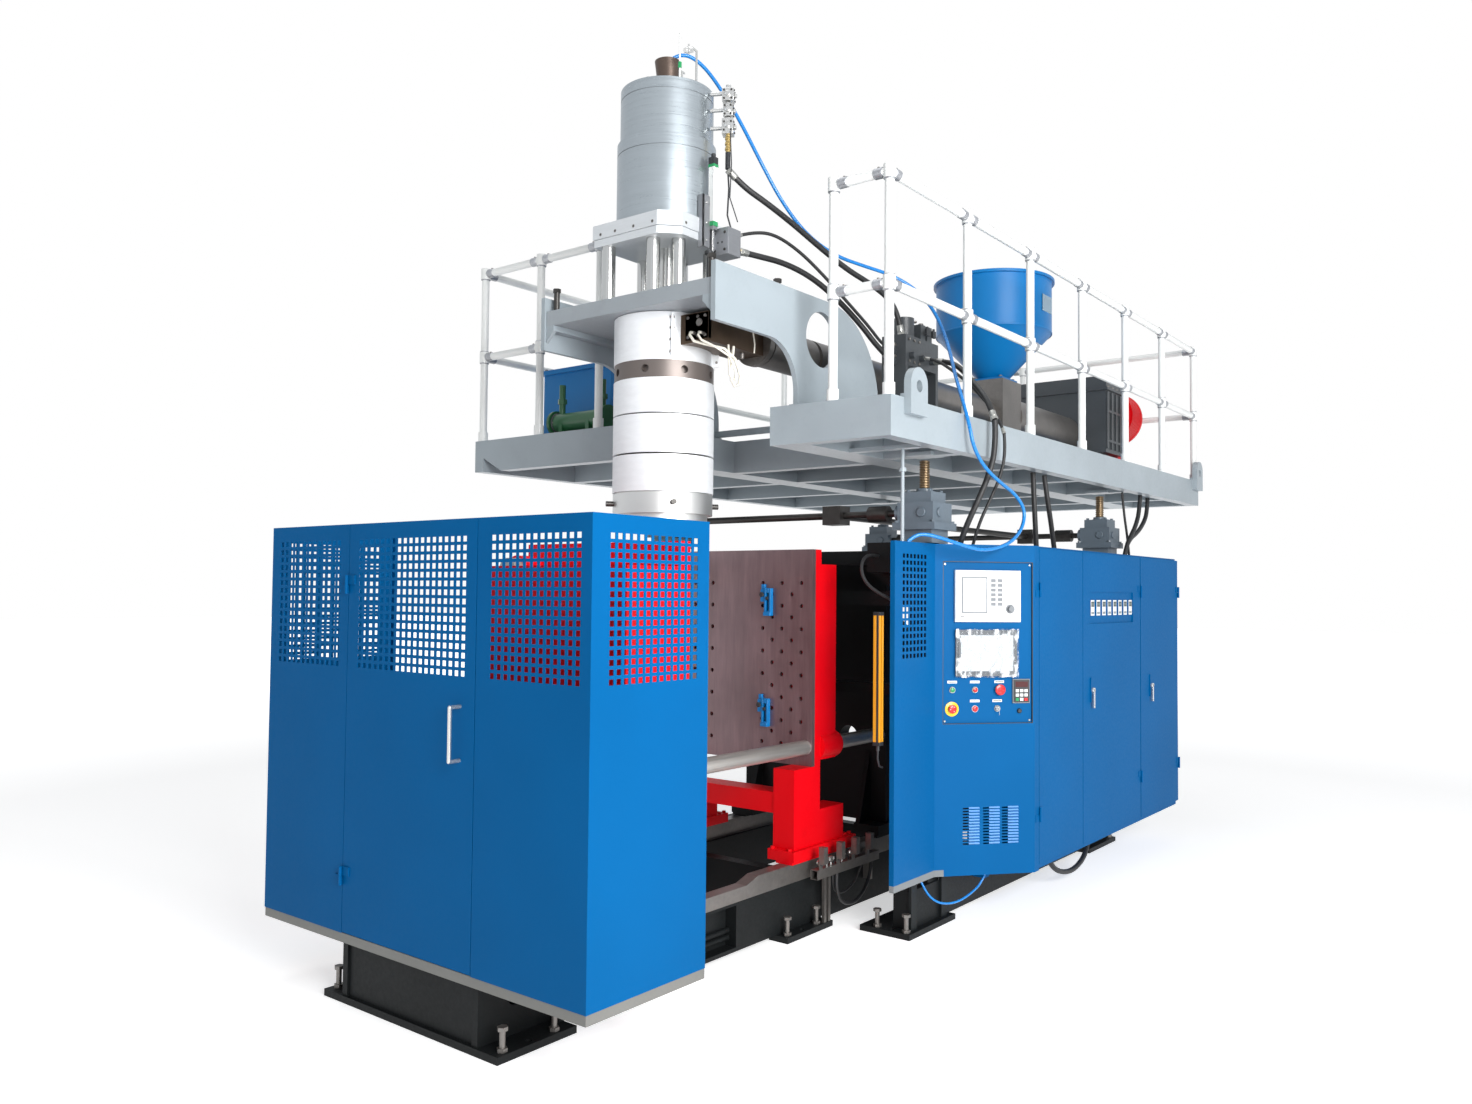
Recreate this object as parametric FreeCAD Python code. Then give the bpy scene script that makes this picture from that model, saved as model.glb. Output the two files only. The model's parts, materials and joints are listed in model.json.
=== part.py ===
"""Blow moulding machine with an accumulator head, a lifting platform and a two-platen clamp.

Millimetres. +X runs towards the motor end, +Y away from the operator, +Z up.
The origin is on the floor, at the centre of the clamp base's four anchor holes.
Every node is one piece, or one group of like pieces, and is written to parts/NODE.step.
"""
import FreeCAD, Part
import math
import os

# ---------------------------------------------------------------- clearances
RUN_FIT = 0.05          # radial clearance of a turning or sliding round fit
FACE_GAP = 0.3          # gap between faces that slide past each other
LEAF_GAP = 0.5          # gap between the two halves of a hinge

# ---------------------------------------------------------------- shop sizes
SHEET = 3.0             # folded steel sheet
PLATE = 20.0            # structural plate
FOOT_T = 30.0           # floor plates
BOX_WALL = 10.0         # wall of the square columns
ANCHOR_R = 14.0         # anchor bolt holes
LEVEL_R = 12.0          # leveling bolt shank
LEVEL_HEAD_R = 22.0
LEVEL_HEAD_H = 15.0
LEVEL_TOP = 110.0       # underside of the leveling bolt heads
NUT_H = 15.0

HEX_SIDES = 6
KEY_T = 3.0
STEM_TAIL = 30.0        # length of a push button's stem behind the face

# ---------------------------------------------------------------- clamp base
ANCHOR_X = 943.0        # anchor holes stand at +-ANCHOR_X, +-ANCHOR_Y
ANCHOR_Y = 550.0
LEVEL_DX = 134.0        # leveling bolts stand this far either side of an anchor
BASE_FRONT_X0 = -1128.0
BASE_FRONT_X1 = -715.0
BASE_PAD_X0 = 767.0
BASE_PAD_X1 = 1189.0
BASE_PLATE_Y = 583.0
BASE_PAD_Y0 = 464.0
CROSS_BOX_X0 = -1120.0
CROSS_BOX_X1 = -745.0
CROSS_BOX_Y = 455.0
CROSS_WEB_X = -1110.0
CROSS_HOLE_X = -930.0
CROSS_HOLE_Z = 190.0
CROSS_HOLE_R = 45.0
BASE_TOP = 275.0
BEAM_WEB_Y0 = 420.0
BEAM_WEB_Y1 = 440.0
BEAM_Y0 = 407.0
BEAM_Y1 = 507.0
BEAM_SPLIT_X = 434.0    # recessed web in front of this, closed box behind it
BEAM_REAR_X = 1189.0
END_WEB_T = 84.5
BEAM_PIPE_R = 13.0
BEAM_PIPE_Z = (90.0, 125.0)

# ---------------------------------------------------------------- machine frame
FRAME_ANCHOR_X0 = 1243.0
FRAME_ANCHOR_X1 = 4251.0
FRAME_ANCHOR_Y = 918.0
FRAME_PLATE_Y0 = 738.0
FRAME_PLATE_Y1 = 1039.0
FRAME_FRONT_X0 = 1213.0
FRAME_FRONT_X1 = 1730.0
FRAME_REAR_X0 = 3756.0
FRAME_REAR_X1 = 4281.0
FRAME_LEVEL_Y = (829.0, 1003.0)
SIDE_BEAM_Y0 = 900.0
SIDE_BEAM_Y1 = 1000.0
SIDE_BEAM_TOP = 230.0
RAIL_BEAM_Y0 = 420.0
RAIL_BEAM_Y1 = 520.0
RAIL_BEAM_X1 = 2650.0
POST = 120.0            # square column, and the beams welded to it
POST_X0 = 1560.0
POST_X1 = 4270.0
POST_Y = 930.0
POST_TOP = 2040.0
CAP_T = 38.0           # spacer between a column and its jack
CROSS_BEAM_W = 80.0
CROSS_BEAM_Z = (1230.0, 1730.0)
CROSS_BEAM_H = (60.0, 80.0)
TOP_BEAM_H = 110.0
VALVE_BOX_X = (1300.0, 1450.0)
VALVE_BOX_Y = (-860.0, -720.0)
VALVE_BOX_Z = (1915.0, 2075.0)

# ---------------------------------------------------------------- guide rails
RAIL_Y0 = 450.0
RAIL_Y1 = 520.0
LOWER_RAIL_TOP = 341.0
UPPER_RAIL_X0 = 500.0
UPPER_RAIL_X1 = 2500.0
UPPER_RAIL_TOP = 371.0

# ---------------------------------------------------------------- guard
GUARD_X0 = -1178.0      # outer face of the front sheets
GUARD_X1 = -529.0
GUARD_Y0 = -1102.0      # outer face of the near sheet
GUARD_Y1 = 1007.0
GUARD_Z0 = 323.0
GUARD_Z1 = 2077.0
GUARD_TUBE = 40.0       # square tube under the sheets
GUARD_RETURN = 30.0
DOOR_Y0 = -474.0
DOOR_Y1 = 382.0
DOOR_GAP = 4.0
GUARD_CROSS_X = (-970.0, -590.0)
GUARD_CROSS_W = 60.0
MESH_Z0 = 1460.0
MESH_PITCH_Z = 35.1
MESH_PITCH_Y = 38.6
MESH_HOLE_W = 24.0
MESH_HOLE_H = 22.0
MESH_ROWS = 16
MESH_SMALL = 13         # columns of holes on the fixed panels
MESH_DOOR = 19
MESH_LEFT_Y = 450.0
MESH_DOOR_Y = -410.0
MESH_RIGHT_Y = -1047.0
MESH_SIDE_X = -1086.0
HINGE_R = 7.5
HINGE_PIN_R = 4.0
HINGE_OUT = 12.0        # hinge axis in front of the sheet
HINGE_LEAF = 50.0
HINGE_LEAF_T = 5.0
HINGE_HALF = 40.0
GUARD_HINGE_Z = (1816.0, 568.0)
HANDLE_Y = -389.0
HANDLE_Z0 = 1126.0
HANDLE_Z1 = 1351.0
HANDLE_R = 8.0
HANDLE_OUT = 50.0

# ---------------------------------------------------------------- clamp
PLATEN_Y = 520.0
PLATEN_Z0 = 860.0
PLATEN_Z1 = 2035.0
FRONT_FACE_X = 40.0
FRONT_PLATE_T = 80.0
FRONT_BACK_X = -390.0
RIB_T = 30.0
REAR_FACE_X = 1070.0    # mould side of the steel face plate
MOULD_PLATE_T = 25.0
REAR_SLAB_X1 = 1150.0
REAR_BOX_X1 = 1300.0
REAR_BOX_TOP = 1955.0
BOSS_R = 75.0
BOSS_X1 = 1335.0
TIE_R = 40.0
TIE_Y = 475.0
TIE_Z0 = 960.0          # near, low bar
TIE_Z1 = 1900.0         # far, high bar
CROSSHEAD_X0 = 1850.0
CROSSHEAD_X1 = 1950.0
CROSSHEAD_Z0 = 440.0
NUT_R = 70.0
NUT_T = 60.0
CYL_Z = 1455.0
CYL_BOLTS = 12
CYL_R = 160.0
CYL_BORE = 140.0
CYL_FLANGE_R = 200.0
CYL_FLANGE_T = 40.0
CYL_X1 = 2760.0
CYL_CAP_T = 40.0
ROD_R = 60.0
ROD_COLLAR_R = 90.0
ROD_END_X = 2650.0
PISTON_T = 60.0
FOOT_Y0 = 385.0
FOOT_Y1 = 520.0
FOOT_FLANGE_Y0 = 375.0
FOOT_FLANGE_Y1 = 545.0
FOOT_FLANGE_Z0 = 385.0
FOOT_FLANGE_Z1 = 440.0
REAR_COLUMN_X0 = 905.0
REAR_FOOT_X0 = 870.0
REAR_FOOT_X1 = 1480.0
REAR_BLOCK_X1 = 1385.0
REAR_BLOCK_TOP = 623.0
REAR_TIE_X0 = 911.0
REAR_TIE_X1 = 1050.0
REAR_TIE_Z = (620.0, 730.0)
SHOE_Y0 = 430.0
SHOE_Y1 = 535.0
GRID_PITCH = 131.0
GRID_PITCH_Z = 126.0
GRID_TOP = 1851.0
GRID_R = 12.0
GRID_ROWS = 8
GRID_COLUMNS = 3        # columns each side of the middle
GRID_FIRST_Y = 181.0
MOULD_CLAMP_Y = (-217.0, -203.0)
MOULD_CLAMP_Z = (1756.0, 1143.0)
MOULD_CLAMP_W = 80.0
MOULD_CLAMP_H = 180.0
MOULD_CLAMP_T = 35.0

# ---------------------------------------------------------------- switch tray and light curtain
TRAY_X0 = 990.0
TRAY_X1 = 1600.0
TRAY_Y0 = -615.0
TRAY_Y1 = -570.0
TRAY_Z0 = 285.0
TRAY_Z1 = 335.0
TRAY_POST_X = (1110.0, 1150.0)
TRAY_WALL = 3.0
SWITCH_X = (1010.0, 1180.0, 1330.0, 1480.0)
CURTAIN_X = (1030.0, 1072.0)
CURTAIN_Y = (-960.0, -920.0)
CURTAIN_Z = (1016.0, 1702.0)

# ---------------------------------------------------------------- cabinet
CAB_X0 = 1970.0
CAB_X1 = 4590.0
CAB_Y0 = -1378.0        # face that the doors lie against
CAB_Y1 = -1010.0
CAB_Z0 = 267.0
CAB_Z1 = 2073.0
MULLION = 60.0
CAB_DOOR_T = 20.0
DOOR_Z0 = 300.0
DOOR_Z1 = 2060.0
DOOR_A = (2036.0, 2690.0)
DOOR_B = (2698.0, 3745.0)
DOOR_C = (3759.0, 4582.0)
CAB_HINGE_Z = (1826.0, 575.0)
CAB_HINGE_OUT = 8.0
CAB_HINGE_R = 6.0
CAB_PIN_R = 3.0
CAB_LEAF_T = 3.0
LOCK_HOLE_R = 9.0
LOCK_PLATE = (34.0, 150.0)
LOCK_T = 8.0
LEVER_L = 110.0
TONGUE_L = 27.0
LOCK_B = (2827.0, 1217.0)
LOCK_C = (3950.0, 1180.0)
WINDOW_X = (2813.0, 3602.0)
WINDOW_Z = (1623.0, 1820.0)
WINDOW_BACK = 12.0      # back of the window tray, behind the door face
WINDOW_FLOOR = 9.0
DISPLAYS = 8
DISPLAY_W = 60.0
DISPLAY_H = 96.0

# ---------------------------------------------------------------- control housing
CTRL_X = 1518.0         # where the angled face meets the mesh panel
CTRL_Y = -1019.0
MESH_PANEL_X = 1082.0
MESH_PANEL_BACK = -992.0
PANEL_MESH_X = 1164.0
PANEL_MESH_COLS = 7
FACE_RECESS_S = (10.0, 544.0)
FACE_RECESS_Z = (1088.0, 1979.0)
FACE_RECESS_D = 12.0
CORNER_INSET = 10.5     # keeps the angled sheet's thickness at the cabinet corner
CONTROLLER_S = (88.0, 474.0)
CONTROLLER_Z = (1647.0, 1931.0)
CONTROLLER_D = 30.0
SCREEN_S = (297.0, 433.0)
SCREEN_Z = (1702.0, 1887.0)
KNOB_S = 154.0
KNOB_Z = 1719.0
KNOB_R = 16.0
HMI_S = (106.0, 467.0)
HMI_Z = (1349.0, 1602.0)
HMI_D = 20.0
KEYPAD_S = (28.0, 130.0)
KEYPAD_Z = (1199.0, 1332.0)
KEYPAD_D = 15.0
GREEN_S = 484.0
ROW1_Z = 1274.0
RED_S = 351.0
MUSHROOM_S = 207.0
ROW2_Z = 1170.0
ESTOP_S = 486.0
KEY_S = 219.0
LAMP_S = 88.0
LAMP_Z = 1156.0
BUTTON_R = 13.0
BUTTON_RING_R = 18.0
BUTTON_OUT = 12.0
BUTTON_TRAVEL = 5.0
MUSHROOM_R = 30.0
ESTOP_DISC_R = 40.0
STEM_R = 8.0
LOUVRE_S = (359.0, 240.0, 129.0)
LOUVRE_W = 66.0
LOUVRE_Z0 = 433.0
LOUVRE_PITCH = 16.0
LOUVRE_H = 8.0
LOUVRES = 13
LOUVRE_D = 9.0

# ---------------------------------------------------------------- jacks and shafts
JACK_R = 30.0
JACK_SCREW_IN = 7.5     # housing screws stand this far inside the corners
JACK_STEPS = ((190.0, 2078.0, 2150.0), (260.0, 2150.0, 2190.0), (220.0, 2190.0, 2300.0), (170.0, 2300.0,
                                                                                          2360.0))
JACK_PLATE_R = 80.0
JACK_BOTTOM = 1750.0
SHAFT_R = 20.0
SHAFT_Z = 2245.0
SHAFT_X = (1495.0, 4205.0)
SHAFT_LONG_Y = -780.0
COUPLING_R = 45.0
BEVEL_BOX_HALF = 54.0
INDICATOR_X = 1190.0
INDICATOR_Y = -1000.0
INDICATOR_R = 10.0

# ---------------------------------------------------------------- lifting platform
PLAT_X0 = 704.0
PLAT_X1 = 5812.0
PLAT_Y0 = -1210.0
PLAT_Y1 = 1892.0
PLAT_Z0 = 2560.0
PLAT_TOP = 2762.0
PLAT_BEAM = 80.0
NOTCH_Y = 489.0
NOTCH_X1 = 1650.0
NOTCH_BEAM = 200.0
PLAT_CROSS_X = (1560.0, 2400.0, 3300.0, 4270.0, 5100.0)
DECK_T = 12.0
TAPER_L = 250.0
TAPER_DEPTH = 100.0
LUG_X = ((830.0, 1000.0), (5640.0, 5800.0))
LUG_T = 40.0
LUG_TOP = 2918.0
LUG_HOLE_Z = 2824.0
LUG_HOLE_R = 30.0

# ---------------------------------------------------------------- railing
RAILING_R = 24.0
RAILING_TOP = 3862.0
RAILING_MID = 3312.0
RAILING_NEAR_Y = -1180.0
RAILING_FAR_Y = 1853.0
RAILING_X0 = 734.0
RAILING_X1 = 5782.0
RAILING_BAYS = 6
RAILING_FAR_BAYS = 3
RAILING_FRONT_Y = -857.0
RAILING_LEFT_Y = (799.0, 1318.0)
SLEEVE_R = 31.0
SLEEVE_H = 70.0
SOCKET_H = 60.0

# ---------------------------------------------------------------- head
HEAD_X = 422.0
BRACKET_Y0 = 578.0
BRACKET_Y1 = 606.0
BRACKET_TOP = 3375.0
BRACKET_X0 = 100.0
BRACKET_ARC_X = 1090.0
BRACKET_R = 510.0
BRACKET_IN_X = 540.0
BRACKET_IN_Z = 3090.0
BRACKET_IN_R = 245.0
BRACKET_HOLE_X = 1010.0
BRACKET_HOLE_Z = 3157.0
BRACKET_HOLE_R = 150.0
BRACKET_FOOT = 80.0
BRACKET_TIE_H = 40.0
LEDGE_W = 60.0
LEDGE_T = 30.0
HEAD_PLATE_X0 = 110.0
HEAD_PLATE_X1 = 740.0
HEAD_PLATE_Z0 = 3220.0
HEAD_PLATE_Z1 = 3300.0
JACK_BOLT_Y = 540.0
JACK_BOLT_X = (150.0, 690.0)
JACK_BOLT_R = 16.0
JACK_BOLT_TOP = 3425.0
COLUMN_R = 36.0
COLUMNS = ((-228.0, 195.0), (-207.0, -100.0), (-120.0, -195.0), (75.0, 225.0), (228.0, 85.0), (185.0, -150.0))
COLLAR_R = 144.0        # raised ring round the piston rod
BLOCK_HALF = 272.0
BLOCK_CHAMFER = 90.0
BLOCK_Z0 = 3600.0
BLOCK_Z1 = 3715.0
SHOT_R = 262.0
SHOT_R2 = 247.0
SHOT_STEP = 4145.0
SHOT_TOP = 4435.0
SHOT_BORE = 160.0
SHOT_SEAMS = (4079.0, 4378.0)
CAP_TOP = 4620.0
CAP_R0 = 45.0
CAP_R1 = 70.0
PISTON_ROD_R = 60.0
CORE_R = 30.0
BODY_R = 250.0
BODY_BORE = 190.0
BODY_Z0 = 2196.0
BODY_Z1 = 3200.0
BODY_FLOOR = 2330.0
DIE_R = 120.0
BAND_R = 265.0
BANDS = ((2307.0, 2493.0), (2502.0, 2698.0), (2705.0, 2882.0))
TOP_BAND = (2973.0, 3215.0)
RING_R = 262.0
RING_Z = (2882.0, 2973.0)
RING_HOLES = 8
RING_HOLE_R = 20.0
FLANGE_Z1 = 2300.0
DIE_RING_Z0 = 2157.0
DIE_RING_R = 235.0
DIE_BOLTS = 16
ADJUST_R = 14.0
ADJUST_Z = 2250.0
ADJUST_OUT = 300.0
MANDREL_TRAVEL = 30.0
PLUNGER_Z = (2600.0, 2750.0)  # at the bottom of the stroke
SHOT_DISC_Z = (3760.0, 3830.0)
NECK_Y = (-400.0, -205.0)
NECK_X = (300.0, 760.0)
NECK_Z = (3052.0, 3202.0)
NECK_START = 233.0      # degrees round the head where the top band stops for the melt neck
NECK_STOP = 310.0
ADJUST_TURN = 53.0      # degrees to the first adjusting bolt
ADJUST_BOLTS = 4
RING_TURN = 20.0        # degrees to the first hole of the black ring

# ---------------------------------------------------------------- extruder
EXT_Y = -330.0
EXT_Z = 3127.0
BARREL_R = 95.0
BARREL_BORE = 45.0
BARREL_X1 = 3560.0
BARREL_FLANGE_R = 140.0
BARREL_FLANGE_T = 40.0
EXT_BANDS = 6
EXT_BAND_R = 112.0
FEED_X1 = 3880.0
FEED_HALF = 150.0
FEED_Z = (3010.0, 3370.0)
LANTERN_X1 = 5043.0
LANTERN_R = 160.0
SCREW_TIP_R = 5.0
SCREW_R = 44.95
SCREW_SHAFT_R = 40.0
EXT_BASE_X = (3650.0, 4870.0)
EXT_BASE_HALF = 230.0
EXT_BASE_TOP = 2967.0
GEAR_X = (5043.0, 5437.0)
GEAR_Y = (-704.0, 44.0)
GEAR_Z = (2969.0, 3600.0)
MOTOR_R = 200.0
MOTOR_FINS = 7
MOTOR_Y = -550.0
MOTOR_Z = 3325.0
MOTOR_X1 = 5740.0
HOPPER_X = 3723.0
HOPPER_R = 420.0
HOPPER_TOP = 4110.0
HOPPER_CONE_TOP = 3720.0
HOPPER_NECK_R = 110.0
HOPPER_NECK_Z = 3390.0
HOPPER_FLANGE = 260.0

# ---------------------------------------------------------------- hydraulics on the platform
TANK_X = (1100.0, 1700.0)
TANK_Y = (1060.0, 1680.0)
TANK_TOP = 3250.0
TANK_RIM = 20.0
COOLER_X = 880.0
COOLER_Z = 2850.0
COOLER_R = 60.0
COOLER_Y = (849.0, 1325.0)
VALVE_X = (1750.0, 2150.0)
VALVE_Y = (-700.0, -540.0)
VALVE_TOP = 3440.0
VALVE_STAND_TOP = 3140.0
VALVE_BLOCK_TOP = 3320.0
VALVE_COIL_X = ((1966.0, 2026.0), (2046.0, 2106.0))
VALVE_PORTS = 3
TRANSDUCER = (442.0, -305.0)
TRANSDUCER_W = 34.0
TRANSDUCER_Z = (3680.0, 4015.0)
MANIFOLD_X = (470.0, 575.0)
MANIFOLD_Y = (-385.0, -272.0)
MANIFOLD_Z = (3535.0, 3675.0)
CLUSTER = (530.0, -330.0)
CLUSTER_Z = (4000.0, 4450.0)
CLUSTER_TUBE_R = 14.0
CLUSTER_ARM_R = 12.0
CLUSTER_HALF = 48.0
CLUSTER_BLOCKS = ((4180.0, 4262.0), (4282.0, 4352.0), (4372.0, 4436.0))

# ---------------------------------------------------------------- places that follow from the sizes above
HINGE_A_X = DOOR_A[0] - CAB_HINGE_R / 2
HINGE_B_X = DOOR_B[1] + CAB_HINGE_R - CAB_LEAF_T / 2
HINGE_C_X = DOOR_C[1] + CAB_HINGE_R / 2

# ---------------------------------------------------------------- hoses
HOSE_SHARE = 0.45       # share of the shorter run that each arc takes
END_BLOCK = 6           # block that trims a hose's end, in radii of the hose
AIR_TUBE_R = 10.0
HOSE_R = 16.0
THIN_HOSE_R = 9.0
SMALL_TUBE_R = 6.0
AIR_ROUTE = (
    (422, 0, 4620), (468, -40, 4688), (575, -118, 4640), (695, -210, 4440), (765, -260, 4300),
    (840, -320, 4125), (960, -370, 3940), (1105, -430, 3790), (1300, -495, 3705), (1505, -570, 3680),
    (1670, -660, 3650), (1785, -760, 3570), (1800, -870, 3425), (1735, -980, 3225), (1608, -1090, 3010),
    (1503, -1190, 2840), (1465, -1250, 2690), (1480, -1262, 2590), (1560, -1280, 2490), (1720, -1300, 2415),
    (1900, -1315, 2360), (2005, -1325, 2280), (1970, -1330, 2180), (1845, -1325, 2095), (1705, -1300, 2050),
    (1580, -1260, 2035), (1490, -1200, 2060), (1400, -1140, 2090), (1320, -1080, 2115), (1262, -1035, 2110),
    (1235, -1008, CAB_Z1))
AIR_SPLIT = 16          # the point of the route where the tube leaves the platform
AIR_UPPER = AIR_ROUTE[:AIR_SPLIT + 1]
AIR_LOWER = AIR_ROUTE[AIR_SPLIT:]
DROP_TOP = (1740, -1265, 2760)
THIN_TOP = (1868, -1262, 2700)
UPPER_ROUTES = (
    (((CLUSTER[0], CLUSTER[1], CLUSTER_Z[0]), (600, -372, 3925), (740, -425, 3865), (930, -465, 3795),
      (1130, -500, 3715), (1350, -545, 3630), (1550, -590, 3580), (1690, -628, 3520), (1765, -646, 3420),
      (1782, -652, VALVE_BLOCK_TOP)),
     HOSE_R),
    (((MANIFOLD_X[1] + MULLION, (MANIFOLD_Y[0] + MANIFOLD_Y[1]) / 2, MANIFOLD_Z[0] + MULLION),
      (780, -350, 3600), (950, -390, 3600), (1140, -440, 3560), (1330, -490, 3470), (1500, -550, 3340),
      (1610, -600, 3220), (VALVE_X[0] - PLATE * 2, (VALVE_Y[0] + VALVE_Y[1]) / 2, VALVE_STAND_TOP + RIB_T)),
     HOSE_R),
    (((MANIFOLD_X[1], -360, 3655), (680, -375, 3700), (820, -420, 3720), (1000, -465, 3660),
      (1180, -505, 3560), (1360, -556, 3432), (1520, -590, 3330), (1630, -612, 3245),
      (VALVE_X[0] - PLATE * 2, (VALVE_Y[0] + VALVE_Y[1]) / 2, VALVE_STAND_TOP + RIB_T + MULLION)),
     THIN_HOSE_R),
    (((2050, -730, 3200), (2045, -805, 3192), (2005, -905, 3150), (1930, -1020, 3050), (1850, -1130, 2950),
      (1775, -1215, 2860), DROP_TOP),
     HOSE_R),
    (((1930, -730, 3200), (1935, -800, 3185), (1960, -900, 3110), (1950, -1020, 3010), (1910, -1130, 2900),
      (1880, -1222, 2800), THIN_TOP),
     THIN_HOSE_R),
)
HANGING_ROUTES = (
    ((DROP_TOP, (1744, -1270, 2602), (1710, -1240, 2440), (1665, -1190, 2290), (1670, -1120, 2155),
      (1690, -1080, CAB_Z1)),
     HOSE_R),
    ((THIN_TOP, (1875, -1268, 2590), (1840, -1250, 2450), (1800, -1210, 2325), (1775, -1150, 2185),
      (1790, -1110, CAB_Z1)),
     THIN_HOSE_R),
    (((2645, -1100, PLAT_Z0), (2638, -1110, 2400), (2662, -1108, 2228), (2700, -1100, CAB_Z1)),
     HOSE_R),
    (((2820, -1100, PLAT_Z0), (2850, -1110, 2400), (2930, -1105, 2230), (2990, -1100, CAB_Z1)),
     HOSE_R),
    (((4265, -1100, PLAT_Z0), (4290, -1105, 2400), (4350, -1110, 2230), (4420, -1100, CAB_Z1)),
     THIN_HOSE_R),
    (((4575, -1130, PLAT_Z0), (4540, -1135, 2430), (4440, -1140, 2320), (4330, -1145, 2245),
      (4235, -1142, 2170), (4200, -1138, CAB_Z1)),
     HOSE_R),
    (((4855, -1095, PLAT_Z0), (4830, -1100, 2440), (4725, -1100, 2345), (4590, -1100, 2275),
      (4455, -1095, 2228), (4370, -1092, 2158), (4332, -1090, CAB_Z1)),
     HOSE_R),
)
LOWER_ROUTES = (
    (((1300, -790, 2000), (1230, -785, 2010), (1160, -780, 1985), (1120, -790, 1920), (1110, -830, 1850),
      (1120, -900, 1800), (1140, -960, 1770), (1155, -992, 1750)),
     THIN_HOSE_R),
    (((1560, -600, TRAY_Z0), (1535, -605, 205), (1465, -612, 140), (1370, -618, 100), (1300, -618, 100),
      (1242, -614, 116), (1199, -609, 162), (1188, -604, 225), (1200, -600, TRAY_Z0)),
     THIN_HOSE_R),
    (((1480, -585, TRAY_Z0), (1450, -578, 215), (1380, -572, 165), (1290, -572, 150), (1215, -575, 180),
      (1189, -580, 232), (1180, -585, TRAY_Z0)),
     SMALL_TUBE_R),
    (((1395, -1005, CAB_Z0), (1400, -1030, 215), (1440, -1065, 160), (1520, -1095, 135), (1620, -1120, 135),
      (1720, -1145, 165), (1800, -1165, 210), (1830, -1175, CAB_Z0)),
     SMALL_TUBE_R),
    (((2590, -1200, CAB_Z0), (2625, -1205, 190), (2710, -1212, 115), (2830, -1218, 75), (2970, -1220, 60),
      (3110, -1218, 80), (3220, -1212, 120), (3285, -1206, 190), (3312, -1200, CAB_Z0)),
     HOSE_R),
)

V = FreeCAD.Vector
X_AXIS = V(1, 0, 0)
Y_AXIS = V(0, 1, 0)
Z_AXIS = V(0, 0, 1)
UPPER_FACES = ((Z_AXIS, -Z_AXIS), (-X_AXIS, X_AXIS), (-X_AXIS, X_AXIS), (Y_AXIS, -Z_AXIS), (Y_AXIS, -Z_AXIS))
FACE_ALONG = V(CTRL_X - CAB_X0, CTRL_Y - (CAB_Y0 - CAB_DOOR_T), 0).normalize()
FACE_CORNER = V(CAB_X0, CAB_Y0 - CAB_DOOR_T, 0)
FACE_TURN = math.degrees(math.atan2(FACE_ALONG.y, FACE_ALONG.x))


# ---------------------------------------------------------------- helpers
def box(x0, x1, y0, y1, z0, z1):
    return Part.makeBox(x1 - x0, y1 - y0, z1 - z0, V(x0, y0, z0))


def rod(r, x, y, z0, z1):
    return Part.makeCylinder(r, z1 - z0, V(x, y, z0), Z_AXIS)


def rod_x(r, x0, x1, y, z):
    return Part.makeCylinder(r, x1 - x0, V(x0, y, z), X_AXIS)


def rod_y(r, x, y0, y1, z):
    return Part.makeCylinder(r, y1 - y0, V(x, y0, z), Y_AXIS)


def join(*shapes):
    """One solid, or as few as touch, from shapes that overlap or meet."""
    return shapes[0].fuse(list(shapes[1:])).removeSplitter()


def group(shapes):
    """Separate solids that share a node."""
    solids = []
    for shape in shapes:
        solids.extend(shape.Solids)
    return Part.makeCompound(solids)


def save(node, shape):
    print(node, "solids", len(shape.Solids), "valid", shape.isValid())
    shape.exportStep(os.path.join("parts", node + ".step"))


def mirror_y(shape):
    return shape.mirror(V(0, 0, 0), Y_AXIS)


def prism(points, direction):
    """A polygon pushed along a direction."""
    corners = [V(*p) for p in points]
    face = Part.Face(Part.makePolygon(corners + [corners[0]]))
    return face.extrude(direction)


def square_tube_z(x, y, width, wall, z0, z1):
    half = width / 2
    outer = box(x - half, x + half, y - half, y + half, z0, z1)
    inner = half - wall
    return outer.cut(box(x - inner, x + inner, y - inner, y + inner, z0, z1))


def hex_bolt(r, x, y, z0, z1, head_r, head_h):
    """A bolt that stands up, with its head on top."""
    return join(rod(r, x, y, z0, z1), hexagon(head_r, x, y, z1, z1 + head_h))


def hexagon(r, x, y, z0, z1):
    corners = []
    for k in range(HEX_SIDES):
        angle = 2 * math.pi * k / HEX_SIDES
        corners.append((x + r * math.cos(angle), y + r * math.sin(angle), z0))
    return prism(corners, V(0, 0, z1 - z0))


def hexagon_x(r, x0, x1, y, z):
    corners = []
    for k in range(HEX_SIDES):
        angle = 2 * math.pi * k / HEX_SIDES
        corners.append((x0, y + r * math.cos(angle), z + r * math.sin(angle)))
    return prism(corners, V(x1 - x0, 0, 0))


def holed_sheet(origin, along, width, z0, z1, thickness, holes):
    """A flat sheet with rectangular holes. holes lists (s0, s1, z0, z1) along the sheet."""
    normal = along.cross(Z_AXIS)

    def loop(s0, s1, low, high):
        corners = [(s0, low), (s1, low), (s1, high), (s0, high)]
        points = [V(origin[0], origin[1], z) + along * s for s, z in corners]
        return Part.makePolygon(points + [points[0]])

    face = Part.makeFace([loop(0, width, z0, z1)] + [loop(*hole) for hole in holes],
                         "Part::FaceMakerBullseye")
    return face.extrude(normal * thickness)


def mesh_holes(first, columns, rows=MESH_ROWS):
    holes = []
    for column in range(columns):
        s0 = first + column * MESH_PITCH_Y
        for row in range(rows):
            low = MESH_Z0 + row * MESH_PITCH_Z
            holes.append((s0, s0 + MESH_HOLE_W, low, low + MESH_HOLE_H))
    return holes


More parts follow.
